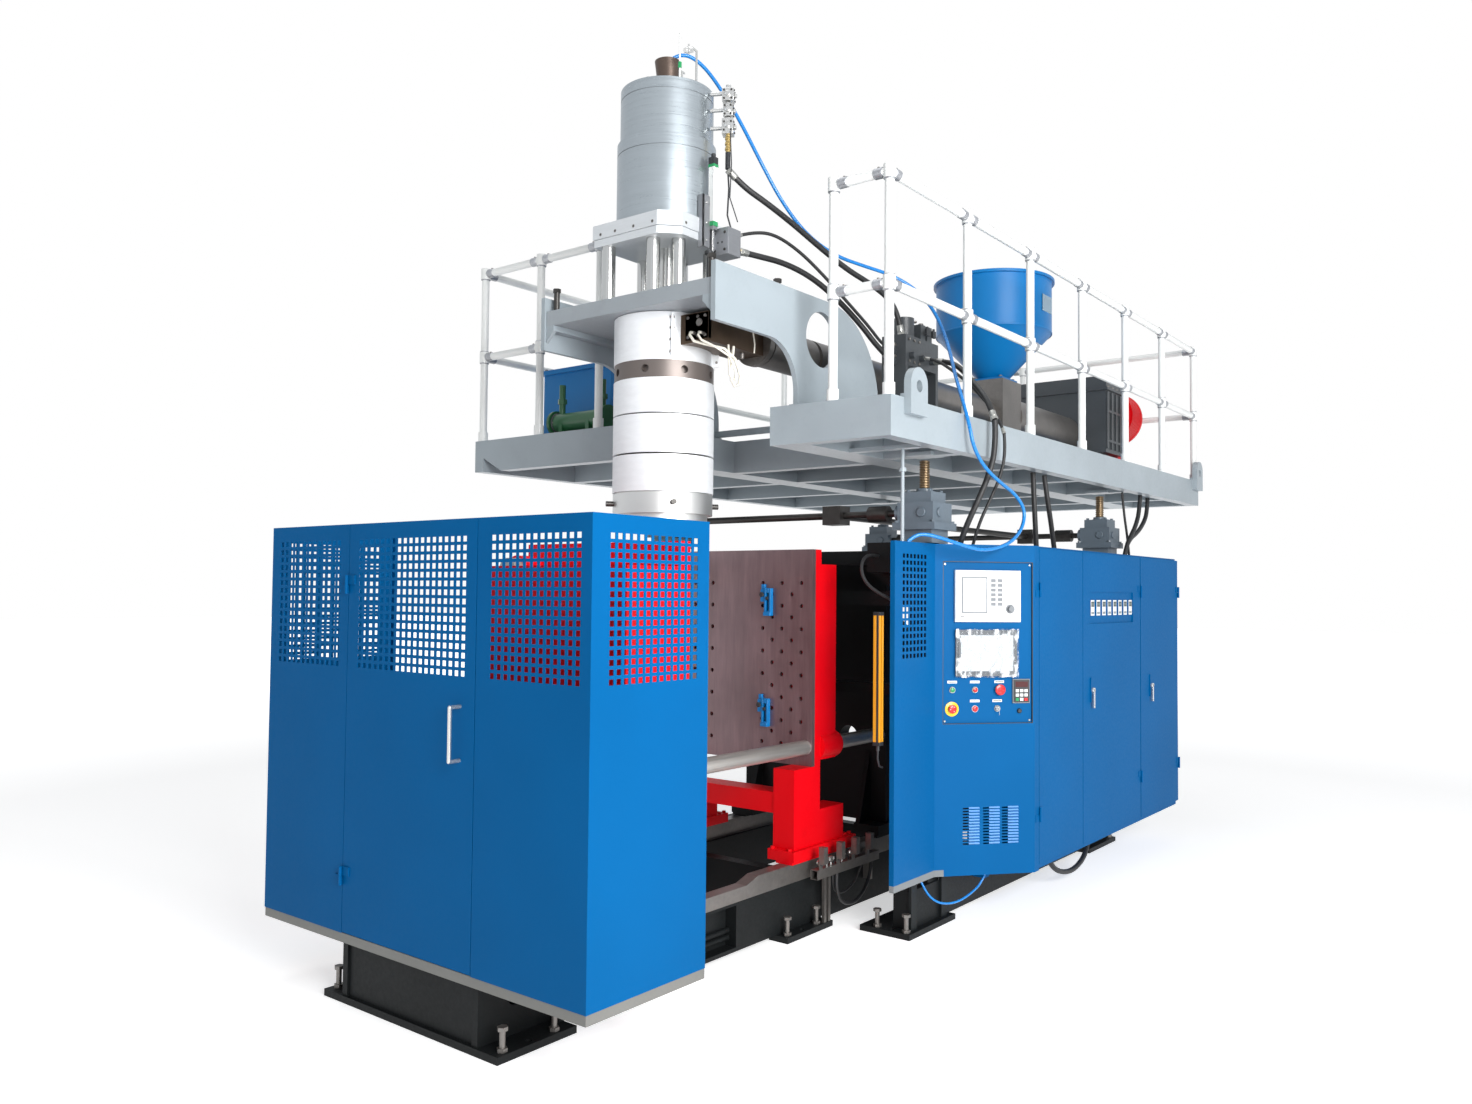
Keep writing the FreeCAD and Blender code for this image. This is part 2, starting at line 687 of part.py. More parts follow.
def hose(points, r):
    """A hose along straight runs joined by the largest tangent arcs that the runs allow."""
    pts = [V(*p) for p in points]
    edges = []
    start = pts[0]
    smallest = None
    for before, corner, after in zip(pts, pts[1:], pts[2:]):
        back = (before - corner).normalize()
        ahead = (after - corner).normalize()
        turn = math.pi - back.getAngle(ahead)
        cut = HOSE_SHARE * min((corner - before).Length, (after - corner).Length)
        radius = cut / math.tan(turn / 2)
        smallest = radius if smallest is None else min(smallest, radius)
        first = corner + back * cut
        last = corner + ahead * cut
        centre = corner + (back + ahead).normalize() * (radius / math.cos(turn / 2))
        middle = centre + (corner - centre).normalize() * radius
        edges.append(Part.LineSegment(start, first).toShape())
        edges.append(Part.Arc(first, middle, last).toShape())
        start = last
    edges.append(Part.LineSegment(start, pts[-1]).toShape())
    path = Part.Wire(edges)
    section = Part.Wire([Part.makeCircle(r, pts[0], pts[1] - pts[0])])
    tube = path.makePipeShell([section], True, False)
    ideal = math.pi * r * r * path.Length
    print("  hose r", r, "length", round(path.Length), "smallest arc", round(smallest),
          "in diameters", round(smallest / (2 * r), 1), "volume ratio", round(tube.Volume / ideal, 4))
    return tube


# ---------------------------------------------------------------- clamp base and frame
def leveling_bolt(x, y):
    bolt = hex_bolt(LEVEL_R, x, y, 0, LEVEL_TOP, LEVEL_HEAD_R, LEVEL_HEAD_H)
    nut = hexagon(LEVEL_HEAD_R, x, y, FOOT_T, FOOT_T + NUT_H).cut(rod(LEVEL_R, x, y, FOOT_T, FOOT_T + NUT_H))
    return [bolt, nut]


def clamp_base():
    holes = []
    for x in (-ANCHOR_X, ANCHOR_X):
        for y in (-ANCHOR_Y, ANCHOR_Y):
            holes.append(rod(ANCHOR_R, x, y, -1, FOOT_T + 1))
            for dx in (-LEVEL_DX, LEVEL_DX):
                holes.append(rod(LEVEL_R + RUN_FIT, x + dx, y, -1, FOOT_T + 1))
    parts = [box(BASE_FRONT_X0, BASE_FRONT_X1, -BASE_PLATE_Y, BASE_PLATE_Y, 0, FOOT_T)]
    parts.append(box(CROSS_WEB_X, CROSS_WEB_X + PLATE, -CROSS_BOX_Y, CROSS_BOX_Y, FOOT_T, BASE_TOP))
    parts.append(box(CROSS_BOX_X0, CROSS_BOX_X1, -CROSS_BOX_Y, CROSS_BOX_Y, BASE_TOP - PLATE, BASE_TOP))
    for side in (-1, 1):
        end = box(CROSS_BOX_X0, CROSS_BOX_X1, CROSS_BOX_Y - PLATE, CROSS_BOX_Y, FOOT_T, BASE_TOP)
        end = end.cut(rod_y(CROSS_HOLE_R, CROSS_HOLE_X, 0, CROSS_BOX_Y + 1, CROSS_HOLE_Z))
        web = box(CROSS_BOX_X0, BEAM_SPLIT_X, BEAM_WEB_Y0, BEAM_WEB_Y1, FOOT_T, BASE_TOP)
        web = web.cut(rod_y(CROSS_HOLE_R, CROSS_HOLE_X, 0, CROSS_BOX_Y + 1, CROSS_HOLE_Z))
        low = box(CROSS_BOX_X1, BEAM_SPLIT_X, BEAM_Y0, BEAM_Y1, FOOT_T, FOOT_T + PLATE)
        high = box(CROSS_BOX_X1, BEAM_SPLIT_X, BEAM_Y0, BEAM_Y1, BASE_TOP - PLATE, BASE_TOP)
        rear = box(BEAM_SPLIT_X, BEAM_REAR_X, BEAM_Y0, BEAM_Y1, FOOT_T, BASE_TOP)
        pad = box(BASE_PAD_X0, BASE_PAD_X1, BASE_PAD_Y0, BASE_PLATE_Y, 0, FOOT_T)
        pipes = [rod_x(BEAM_PIPE_R, BASE_FRONT_X1, BEAM_SPLIT_X, BEAM_WEB_Y1 + BEAM_PIPE_R, z)
                 for z in BEAM_PIPE_Z]
        half = join(end, web, low, high, rear, pad, *pipes)
        parts.append(half if side > 0 else mirror_y(half))
    for x0, x1 in ((CROSS_BOX_X1, CROSS_BOX_X1 + PLATE), (BEAM_REAR_X - END_WEB_T, BEAM_REAR_X)):
        parts.append(box(x0, x1, -BEAM_WEB_Y1, BEAM_WEB_Y1, FOOT_T + NUT_H, BASE_TOP - NUT_H))
    solid = join(*parts)
    for hole in holes:
        solid = solid.cut(hole)
    return solid


def machine_frame():
    parts = []
    for x0, x1, anchor in ((FRAME_FRONT_X0, FRAME_FRONT_X1, FRAME_ANCHOR_X0),
                           (FRAME_REAR_X0, FRAME_REAR_X1, FRAME_ANCHOR_X1)):
        plate = box(x0, x1, FRAME_PLATE_Y0, FRAME_PLATE_Y1, 0, FOOT_T)
        plate = plate.cut(rod(ANCHOR_R, anchor, FRAME_ANCHOR_Y, -1, FOOT_T + 1))
        for y in FRAME_LEVEL_Y:
            plate = plate.cut(rod(LEVEL_R + RUN_FIT, anchor, y, -1, FOOT_T + 1))
        parts.append(plate)
    beam_x0 = POST_X0 - POST / 2
    beam_x1 = POST_X1 + POST / 2
    front_x0 = FRAME_ANCHOR_X0 + LEVEL_HEAD_R * 2
    parts.append(box(front_x0, FRAME_ANCHOR_X1 - LEVEL_HEAD_R * 2, SIDE_BEAM_Y0, SIDE_BEAM_Y1, FOOT_T,
                     SIDE_BEAM_TOP))
    parts.append(box(FRAME_FRONT_X0, RAIL_BEAM_X1, RAIL_BEAM_Y0, RAIL_BEAM_Y1, FOOT_T, BASE_TOP))
    bore = POST / 2 - BOX_WALL
    for x in (POST_X0, POST_X1):
        post = square_tube_z(x, POST_Y, POST, BOX_WALL, SIDE_BEAM_TOP, POST_TOP)
        cap = box(x - POST / 2, x + POST / 2, POST_Y - POST / 2, POST_Y + POST / 2, POST_TOP,
                  POST_TOP + CAP_T)
        parts.extend([post, cap.cut(rod(bore, x, POST_Y, POST_TOP - 1, POST_TOP + CAP_T + 1))])
    top_z0 = POST_TOP - TOP_BEAM_H
    parts.append(box(POST_X0 + POST / 2, POST_X1 - POST / 2, POST_Y - CROSS_BEAM_W / 2,
                     POST_Y + CROSS_BEAM_W / 2,
                     top_z0, POST_TOP))
    half = join(*parts)
    halves = [half, mirror_y(half)]
    inner = POST_Y - POST / 2
    crosses = []
    for z, height in zip(CROSS_BEAM_Z, CROSS_BEAM_H):
        crosses.append(box(beam_x0 + PLATE, beam_x0 + PLATE + CROSS_BEAM_W, -inner, inner, z, z + height))
    for x in (POST_X0, POST_X1):
        crosses.append(box(x - CROSS_BEAM_W / 2, x + CROSS_BEAM_W / 2, -inner, inner,
                           POST_TOP - CROSS_BEAM_W, POST_TOP))
    for x in (RAIL_BEAM_X1 - CROSS_BEAM_W, FRAME_REAR_X0):
        crosses.append(box(x, x + CROSS_BEAM_W, -SIDE_BEAM_Y0, SIDE_BEAM_Y0, FOOT_T, SIDE_BEAM_TOP))
    gusset = prism([(POST_X0, -inner, CROSS_BEAM_Z[1]), (POST_X0, -inner, POST_TOP - CROSS_BEAM_W),
                    (POST_X0, -PLATEN_Y, POST_TOP - CROSS_BEAM_W)], V(PLATE, 0, 0))
    valve = box(VALVE_BOX_X[0], VALVE_BOX_X[1], VALVE_BOX_Y[0], VALVE_BOX_Y[1], VALVE_BOX_Z[0],
                VALVE_BOX_Z[1])
    arm = box(VALVE_BOX_X[1] - PLATE, beam_x0 + PLATE, -inner - PLATE, VALVE_BOX_Y[1] - PLATE,
              VALVE_BOX_Z[0] - PLATE, VALVE_BOX_Z[0] + PLATE)
    return join(*halves, *crosses, gusset, mirror_y(gusset), valve, arm)


def leveling_bolts():
    bolts = []
    for side in (-1, 1):
        for anchor in (-ANCHOR_X, ANCHOR_X):
            for dx in (-LEVEL_DX, LEVEL_DX):
                bolts.extend(leveling_bolt(anchor + dx, side * ANCHOR_Y))
        for x in (FRAME_ANCHOR_X0, FRAME_ANCHOR_X1):
            for y in FRAME_LEVEL_Y:
                bolts.extend(leveling_bolt(x, side * y))
    return group(bolts)


def guide_rails():
    rails = []
    bevel = UPPER_RAIL_TOP - BASE_TOP
    rail_x0 = max(GUARD_CROSS_X) + GUARD_CROSS_W + FACE_GAP
    for side in (-1, 1):
        lower = box(rail_x0, UPPER_RAIL_X0 - FACE_GAP, RAIL_Y0, RAIL_Y1, BASE_TOP, LOWER_RAIL_TOP)
        upper = prism([(UPPER_RAIL_X0, RAIL_Y0, BASE_TOP), (UPPER_RAIL_X1, RAIL_Y0, BASE_TOP),
                       (UPPER_RAIL_X1, RAIL_Y0, UPPER_RAIL_TOP), (UPPER_RAIL_X0 + bevel, RAIL_Y0,
                                                                  UPPER_RAIL_TOP),
                       (UPPER_RAIL_X0, RAIL_Y0, LOWER_RAIL_TOP)], V(0, RAIL_Y1 - RAIL_Y0, 0))
        for rail in (lower, upper):
            rails.append(rail if side > 0 else mirror_y(rail))
    return group(rails)


# ---------------------------------------------------------------- guard
def guard_frame():
    inner = GUARD_X0 + SHEET
    z0 = GUARD_Z0 - GUARD_TUBE
    parts = [box(inner, inner + GUARD_TUBE, GUARD_Y0 + SHEET, GUARD_Y1 - SHEET, z0, GUARD_Z0)]
    parts.append(box(inner, GUARD_X1, GUARD_Y0 + SHEET, GUARD_Y0 + SHEET + GUARD_TUBE, z0, GUARD_Z0))
    parts.append(box(inner, GUARD_X1, GUARD_Y1 - SHEET - GUARD_TUBE, GUARD_Y1 - SHEET, z0, GUARD_Z0))
    for x in GUARD_CROSS_X:
        low = BASE_TOP
        parts.append(box(x, x + GUARD_CROSS_W, GUARD_Y0 + SHEET + GUARD_TUBE,
                         GUARD_Y1 - SHEET - GUARD_TUBE, low, GUARD_Z0))
    return join(*parts)


def guard_sheet_x(y0, y1, holes, z0=GUARD_Z0):
    """A front sheet with folded edges, in the plane x = GUARD_X0."""
    sheet = holed_sheet((GUARD_X0 + SHEET, y0), Y_AXIS, y1 - y0, z0, GUARD_Z1, -SHEET, holes)
    x0 = GUARD_X0
    x1 = GUARD_X0 + GUARD_RETURN
    folds = [box(x0, x1, y0, y0 + SHEET, z0, GUARD_Z1), box(x0, x1, y1 - SHEET, y1, z0, GUARD_Z1),
             box(x0, x1, y0, y1, z0, z0 + SHEET), box(x0, x1, y0, y1, GUARD_Z1 - SHEET, GUARD_Z1)]
    return join(sheet, *folds)


def guard_sheet_y(y_face, y_fold, holes):
    """A side sheet with folded edges. y_face is its outer face and y_fold the end of its folds."""
    x0 = GUARD_X0 + GUARD_RETURN
    width = GUARD_X1 - x0
    inward = 1 if y_fold > y_face else -1
    sheet = holed_sheet((x0, y_face), X_AXIS, width, GUARD_Z0, GUARD_Z1, -SHEET * inward, holes)
    low = min(y_face, y_fold)
    high = max(y_face, y_fold)
    folds = [box(GUARD_X1 - SHEET, GUARD_X1, low, high, GUARD_Z0, GUARD_Z1),
             box(x0, GUARD_X1, low, high, GUARD_Z0, GUARD_Z0 + SHEET),
             box(x0, GUARD_X1, low, high, GUARD_Z1 - SHEET, GUARD_Z1)]
    return join(sheet, *folds)


def knuckle(x, y, z0, z1):
    return rod(HINGE_R, x, y, z0, z1)


def guard_hinge(moving):
    """Half of each guard hinge: the moving half holds the pin."""
    x = GUARD_X0 - HINGE_OUT
    y = (DOOR_Y1 + DOOR_Y1 + DOOR_GAP) / 2
    leaf_x1 = GUARD_X0
    leaf_x0 = GUARD_X0 - HINGE_LEAF_T
    halves = []
    for z in GUARD_HINGE_Z:
        if moving:
            z0 = z + LEAF_GAP
            z1 = z + HINGE_HALF
            leaf = box(leaf_x0, leaf_x1, y - HINGE_LEAF, y, z0, z1)
            pin = rod(HINGE_PIN_R, x, y, z - HINGE_HALF, z1)
            halves.append(join(knuckle(x, y, z0, z1), leaf, bridge(x, leaf_x0, y, z0, z1), pin))
        else:
            z0 = z - HINGE_HALF
            z1 = z
            leaf = box(leaf_x0, leaf_x1, y, y + HINGE_LEAF, z0, z1)
            solid = join(knuckle(x, y, z0, z1), leaf, bridge(x, leaf_x0, y, z0, z1))
            halves.append(solid.cut(rod(HINGE_PIN_R + RUN_FIT, x, y, z0 - 1, z1 + 1)))
    return halves


def bridge(x, leaf_x0, y, z0, z1):
    """The rolled part of a leaf between its flat and its knuckle."""
    half = HINGE_PIN_R / 2
    return box(x, leaf_x0 + 1, y - half, y + half, z0, z1)


def guard_panels():
    split = DOOR_Y1 + DOOR_GAP
    left = guard_sheet_x(split, GUARD_Y1, mesh_holes(MESH_LEFT_Y - split, MESH_SMALL))
    right = guard_sheet_x(GUARD_Y0, DOOR_Y0 - DOOR_GAP, mesh_holes(MESH_RIGHT_Y - GUARD_Y0, MESH_SMALL))
    side_s = MESH_SIDE_X - GUARD_X0 - GUARD_RETURN
    near = guard_sheet_y(GUARD_Y0, GUARD_Y0 + GUARD_RETURN, mesh_holes(side_s, MESH_SMALL))
    far = guard_sheet_y(GUARD_Y1, GUARD_Y1 - GUARD_RETURN, mesh_holes(side_s, MESH_SMALL))
    return group([join(left, *guard_hinge(False)), right, near, far])


def guard_door():
    door = guard_sheet_x(DOOR_Y0, DOOR_Y1, mesh_holes(MESH_DOOR_Y - DOOR_Y0, MESH_DOOR), GUARD_Z0 + DOOR_GAP)
    return join(door, *guard_hinge(True))


def door_handle():
    x1 = GUARD_X0
    x0 = GUARD_X0 - HANDLE_OUT
    legs = [rod_x(HANDLE_R, x0, x1, HANDLE_Y, z) for z in (HANDLE_Z0 + HANDLE_R, HANDLE_Z1 - HANDLE_R)]
    grip = rod(HANDLE_R, x0, HANDLE_Y, HANDLE_Z0 + HANDLE_R, HANDLE_Z1 - HANDLE_R)
    balls = [Part.makeSphere(HANDLE_R, V(x0, HANDLE_Y, z))
             for z in (HANDLE_Z0 + HANDLE_R, HANDLE_Z1 - HANDLE_R)]
    return join(grip, *legs, *balls)


# ---------------------------------------------------------------- clamp
def both_sides(shape):
    return [shape, mirror_y(shape)]


def front_platen():
    slab = box(FRONT_FACE_X - FRONT_PLATE_T, FRONT_FACE_X, -PLATEN_Y, PLATEN_Y, PLATEN_Z0, PLATEN_Z1)
    back = box(FRONT_BACK_X, FRONT_BACK_X + RIB_T, -PLATEN_Y, PLATEN_Y, PLATEN_Z0 + POST, PLATEN_Z1 - POST)
    ribs = [box(FRONT_BACK_X, FRONT_FACE_X - FRONT_PLATE_T, -PLATEN_Y, PLATEN_Y, z, z + RIB_T)
            for z in (PLATEN_Z0 + POST, CYL_Z, PLATEN_Z1 - POST - RIB_T)]
    slab_ribs = [box(FRONT_BACK_X, FRONT_FACE_X - FRONT_PLATE_T, y, y + RIB_T, PLATEN_Z0 + POST,
                     PLATEN_Z1 - POST)
                 for y in (-PLATEN_Y, -RIB_T / 2, PLATEN_Y - RIB_T)]
    x1 = FRONT_FACE_X - FRONT_PLATE_T
    leg = box(x1 - REAR_FOOT_X1 + REAR_BLOCK_X1 - POST, FRONT_FACE_X - PLATE, FOOT_Y0, FOOT_Y1,
              FOOT_FLANGE_Z1, PLATEN_Z0)
    flange = box(FRONT_BACK_X, FRONT_FACE_X, FOOT_FLANGE_Y0, FOOT_FLANGE_Y1, FOOT_FLANGE_Z0, FOOT_FLANGE_Z1)
    shoe = box(FRONT_BACK_X, FRONT_FACE_X, SHOE_Y0, SHOE_Y1, LOWER_RAIL_TOP + FACE_GAP, FOOT_FLANGE_Z0)
    boss = []
    for y, z in ((-TIE_Y, TIE_Z0), (TIE_Y, TIE_Z1)):
        boss.append(rod_x(BOSS_R, x1 - POST, x1, y, z))
    solid = join(slab, back, *ribs, *slab_ribs, *both_sides(leg), *both_sides(flange), *both_sides(shoe),
                 *boss)
    for y, z in ((-TIE_Y, TIE_Z0), (TIE_Y, TIE_Z1)):
        solid = solid.cut(rod_x(TIE_R, x1 - POST - 1, FRONT_FACE_X + 1, y, z))
        solid = solid.cut(rod_x(NUT_R + FACE_GAP, FRONT_BACK_X - 1, x1 - POST, y, z))
    for y, z in grid_points():
        solid = solid.cut(rod_x(GRID_R, FRONT_FACE_X - PLATE * 2, FRONT_FACE_X + 1, y, z))
    return solid


def grid_points():
    """Threaded holes for moulds, in straight and staggered rows."""
    points = []
    for row in range(GRID_ROWS):
        z = GRID_TOP - row * GRID_PITCH_Z
        for column in range(GRID_COLUMNS):
            y = GRID_FIRST_Y + column * GRID_PITCH
            points.extend([(-y, z), (y, z)])
            stagger = y + GRID_PITCH / 2
            if row < GRID_ROWS - 1 and column < GRID_COLUMNS - 1:
                points.extend([(-stagger, z - GRID_PITCH_Z / 2), (stagger, z - GRID_PITCH_Z / 2)])
    return [point for point in points if clear_of_ties(point)]


def clear_of_ties(point):
    for y, z in ((-TIE_Y, TIE_Z0), (TIE_Y, TIE_Z1)):
        if math.hypot(point[0] - y, point[1] - z) < BOSS_R + GRID_R:
            return False
    return abs(point[0]) < PLATEN_Y - GRID_R * 2


def tie_bars():
    bars = []
    for y, z in ((-TIE_Y, TIE_Z0), (TIE_Y, TIE_Z1)):
        bar = rod_x(TIE_R, FRONT_FACE_X - FRONT_PLATE_T - POST - NUT_T, CROSSHEAD_X1 + NUT_T, y, z)
        nuts = [hexagon_x(NUT_R, CROSSHEAD_X1, CROSSHEAD_X1 + NUT_T, y, z)]
        x1 = FRONT_FACE_X - FRONT_PLATE_T - POST
        nuts.append(hexagon_x(NUT_R, x1 - NUT_T, x1, y, z))
        bars.append(join(bar, *nuts))
    return group(bars)


def crosshead():
    plate = box(CROSSHEAD_X0, CROSSHEAD_X1, -PLATEN_Y, PLATEN_Y, CROSSHEAD_Z0, PLATEN_Z1)
    foot = box(CROSSHEAD_X0 - POST, CROSSHEAD_X1 + POST, FOOT_FLANGE_Y0, FOOT_FLANGE_Y1, FOOT_FLANGE_Z0,
               FOOT_FLANGE_Z1)
    shoe = box(CROSSHEAD_X0 - POST, CROSSHEAD_X1 + POST, SHOE_Y0, SHOE_Y1, UPPER_RAIL_TOP + FACE_GAP,
               FOOT_FLANGE_Z0)
    web = prism([(CROSSHEAD_X0 - POST, FOOT_Y0, FOOT_FLANGE_Z1), (CROSSHEAD_X0, FOOT_Y0, FOOT_FLANGE_Z1),
                 (CROSSHEAD_X0, FOOT_Y0, PLATEN_Z0)], V(0, RIB_T, 0))
    solid = join(plate, *both_sides(foot), *both_sides(shoe), *both_sides(web))
    for y, z in ((-TIE_Y, TIE_Z0), (TIE_Y, TIE_Z1)):
        solid = solid.cut(rod_x(TIE_R, CROSSHEAD_X0 - 1, CROSSHEAD_X1 + 1, y, z))
    solid = solid.cut(rod_x(ROD_R + RUN_FIT, CROSSHEAD_X0 - 1, CROSSHEAD_X1 + 1, 0, CYL_Z))
    for side in (-1, 1):
        hole = rod_x(POST / 2, CROSSHEAD_X0 - 1, CROSSHEAD_X1 + 1, side * PLATEN_Y / 2, CYL_Z - PLATEN_Y)
        solid = solid.cut(hole)
    return solid


def clamp_cylinder():
    shell = rod_x(CYL_R, CROSSHEAD_X1, CYL_X1, 0, CYL_Z)
    flange = rod_x(CYL_FLANGE_R, CROSSHEAD_X1, CROSSHEAD_X1 + CYL_FLANGE_T, 0, CYL_Z)
    rear = rod_x(CYL_FLANGE_R, CYL_X1 - CYL_FLANGE_T, CYL_X1, 0, CYL_Z)
    bore = rod_x(CYL_BORE, CROSSHEAD_X1 + CYL_FLANGE_T, CYL_X1 - CYL_CAP_T, 0, CYL_Z)
    gland = rod_x(ROD_R + RUN_FIT, CROSSHEAD_X1, CROSSHEAD_X1 + CYL_FLANGE_T + 1, 0, CYL_Z)
    solid = join(shell, flange, rear).cut(bore).cut(gland)
    bolts = []
    reach = (CYL_R + CYL_FLANGE_R) / 2
    for k in range(CYL_BOLTS):
        angle = 2 * math.pi * (k + 1 / 2) / CYL_BOLTS
        x1 = CROSSHEAD_X1 + CYL_FLANGE_T
        bolts.append(rod_x(LEVEL_R, x1, x1 + LEVEL_R, reach * math.cos(angle),
                           CYL_Z + reach * math.sin(angle)))
    return join(solid, *bolts)


def rear_platen():
    slab = box(REAR_FACE_X + MOULD_PLATE_T, REAR_SLAB_X1, -PLATEN_Y, PLATEN_Y, PLATEN_Z0, PLATEN_Z1)
    hollow = PLATEN_Y - RIB_T
    body = box(REAR_SLAB_X1, REAR_BOX_X1, -PLATEN_Y, PLATEN_Y, PLATEN_Z0 + RIB_T, REAR_BOX_TOP)
    pockets = []
    for y0, y1 in ((-hollow, -POST), (POST, hollow)):
        for z0, z1 in ((PLATEN_Z0 + POST, CYL_Z - POST), (CYL_Z + POST, REAR_BOX_TOP - POST)):
            pockets.append(box(REAR_SLAB_X1 + RIB_T, REAR_BOX_X1 + 1, y0, y1, z0, z1))
    for pocket in pockets:
        body = body.cut(pocket)
    bosses = [rod_x(BOSS_R, REAR_SLAB_X1, BOSS_X1, y, z) for y, z in ((-TIE_Y, TIE_Z0), (TIE_Y, TIE_Z1))]
    column = box(REAR_COLUMN_X0, REAR_SLAB_X1, FOOT_Y0, FOOT_Y1, FOOT_FLANGE_Z1, PLATEN_Z0)
    block = box(REAR_SLAB_X1, REAR_BLOCK_X1, FOOT_Y0, FOOT_Y1, FOOT_FLANGE_Z1, REAR_BLOCK_TOP)
    flange = box(REAR_FOOT_X0, REAR_FOOT_X1, FOOT_FLANGE_Y0, FOOT_FLANGE_Y1, FOOT_FLANGE_Z0, FOOT_FLANGE_Z1)
    shoe = box(REAR_FOOT_X0, REAR_FOOT_X1, SHOE_Y0, SHOE_Y1, UPPER_RAIL_TOP + FACE_GAP, FOOT_FLANGE_Z0)
    bolts = []
    for x in (REAR_FOOT_X0 + RIB_T / 2, REAR_FOOT_X1 - RIB_T / 2, REAR_FOOT_X1 - RIB_T * 2):
        for y in (FOOT_Y0 + LEVEL_R, FOOT_Y1 - LEVEL_R):
            bolts.append(hexagon(LEVEL_R, x, y, FOOT_FLANGE_Z1, FOOT_FLANGE_Z1 + LEVEL_R))
    foot = join(column, block, flange, shoe, *bolts)
    tie = box(REAR_TIE_X0, REAR_TIE_X1, -FOOT_Y0, FOOT_Y0, REAR_TIE_Z[0], REAR_TIE_Z[1])
    solid = join(slab, body, *bosses, *both_sides(foot), tie)
    for y, z in ((-TIE_Y, TIE_Z0), (TIE_Y, TIE_Z1)):
        solid = solid.cut(rod_x(TIE_R + RUN_FIT, REAR_FACE_X, BOSS_X1 + 1, y, z))
    return solid


def mould_plate():
    plate = box(REAR_FACE_X, REAR_FACE_X + MOULD_PLATE_T, -PLATEN_Y, PLATEN_Y, PLATEN_Z0, PLATEN_Z1)
    for y, z in ((-TIE_Y, TIE_Z0), (TIE_Y, TIE_Z1)):
        plate = plate.cut(rod_x(TIE_R + RUN_FIT, REAR_FACE_X - 1, REAR_SLAB_X1, y, z))
    return plate.cut(Part.makeCompound([rod_x(GRID_R, REAR_FACE_X - 1, REAR_SLAB_X1, y, z) for y,
                                        z in grid_points()]))


def mould_clamps():
    clamps = []
    for y, z in zip(MOULD_CLAMP_Y, MOULD_CLAMP_Z):
        x0 = REAR_FACE_X - MOULD_CLAMP_T
        half = MOULD_CLAMP_W / 2
        body = box(x0, REAR_FACE_X, y - half, y + half, z - MOULD_CLAMP_H / 2, z + MOULD_CLAMP_H / 2)
        screw = rod_x(LEVEL_R, x0 - MOULD_CLAMP_T, x0, y, z)
        clamps.append(join(body, screw, hexagon_x(LEVEL_HEAD_R, x0 - LEVEL_HEAD_H, x0, y, z)))
    return group(clamps)


def piston_rod():
    shaft = rod_x(ROD_R, REAR_BOX_X1, ROD_END_X, 0, CYL_Z)
    piston = rod_x(CYL_BORE - RUN_FIT, ROD_END_X - PISTON_T, ROD_END_X, 0, CYL_Z)
    collar = rod_x(ROD_COLLAR_R, REAR_BOX_X1, REAR_BOX_X1 + RIB_T, 0, CYL_Z)
    return join(shaft, piston, collar)


# ---------------------------------------------------------------- tray and light curtain
def switch_tray():
    tray = box(TRAY_X0, TRAY_X1, TRAY_Y0, TRAY_Y1, TRAY_Z0, TRAY_Z1)
    tray = tray.cut(box(TRAY_X0 - 1, TRAY_X1 + 1, TRAY_Y0 + TRAY_WALL, TRAY_Y1 - TRAY_WALL,
                        TRAY_Z0 + TRAY_WALL,
                        TRAY_Z1 - TRAY_WALL))
    posts = [box(x, x + RIB_T, TRAY_Y0, TRAY_Y0 + TRAY_WALL * 2, TRAY_Z1, TRAY_Z1 + POST) for x in SWITCH_X]
    heads = [box(x - TRAY_WALL, x + RIB_T + TRAY_WALL, TRAY_Y0 - RIB_T, TRAY_Y0, TRAY_Z1 + RIB_T,
                 TRAY_Z1 + POST)
             for x in SWITCH_X]
    arms = [box(x, x + PLATE, -BASE_PLATE_Y + TRAY_WALL, -BASE_PLATE_Y + PLATE, FOOT_T, TRAY_Z0)
            for x in TRAY_POST_X]
    cap = box(TRAY_X1, TRAY_X1 + PLATE, TRAY_Y0, TRAY_Y1, TRAY_Z0, TRAY_Z1)
    leg = box(TRAY_X1, TRAY_X1 + PLATE, TRAY_Y1, -RAIL_BEAM_Y1, TRAY_Z0 - POST, TRAY_Z1)
    return join(tray, *posts, *heads, *arms, cap, leg)


def light_curtain():
    body = box(CURTAIN_X[0], CURTAIN_X[1], CURTAIN_Y[0], CURTAIN_Y[1], CURTAIN_Z[0], CURTAIN_Z[1])
    brackets = []
    for z in (CURTAIN_Z[0] + POST, CURTAIN_Z[1] - POST):
        corner = MESH_PANEL_X + TRAY_WALL
        brackets.append(box(CURTAIN_X[0] + TRAY_WALL, corner, CURTAIN_Y[0] - TRAY_WALL, CURTAIN_Y[0], z,
                            z + RIB_T))
        brackets.append(box(MESH_PANEL_X, corner, MESH_PANEL_BACK, CURTAIN_Y[0], z, z + RIB_T))
    return join(body, *brackets)


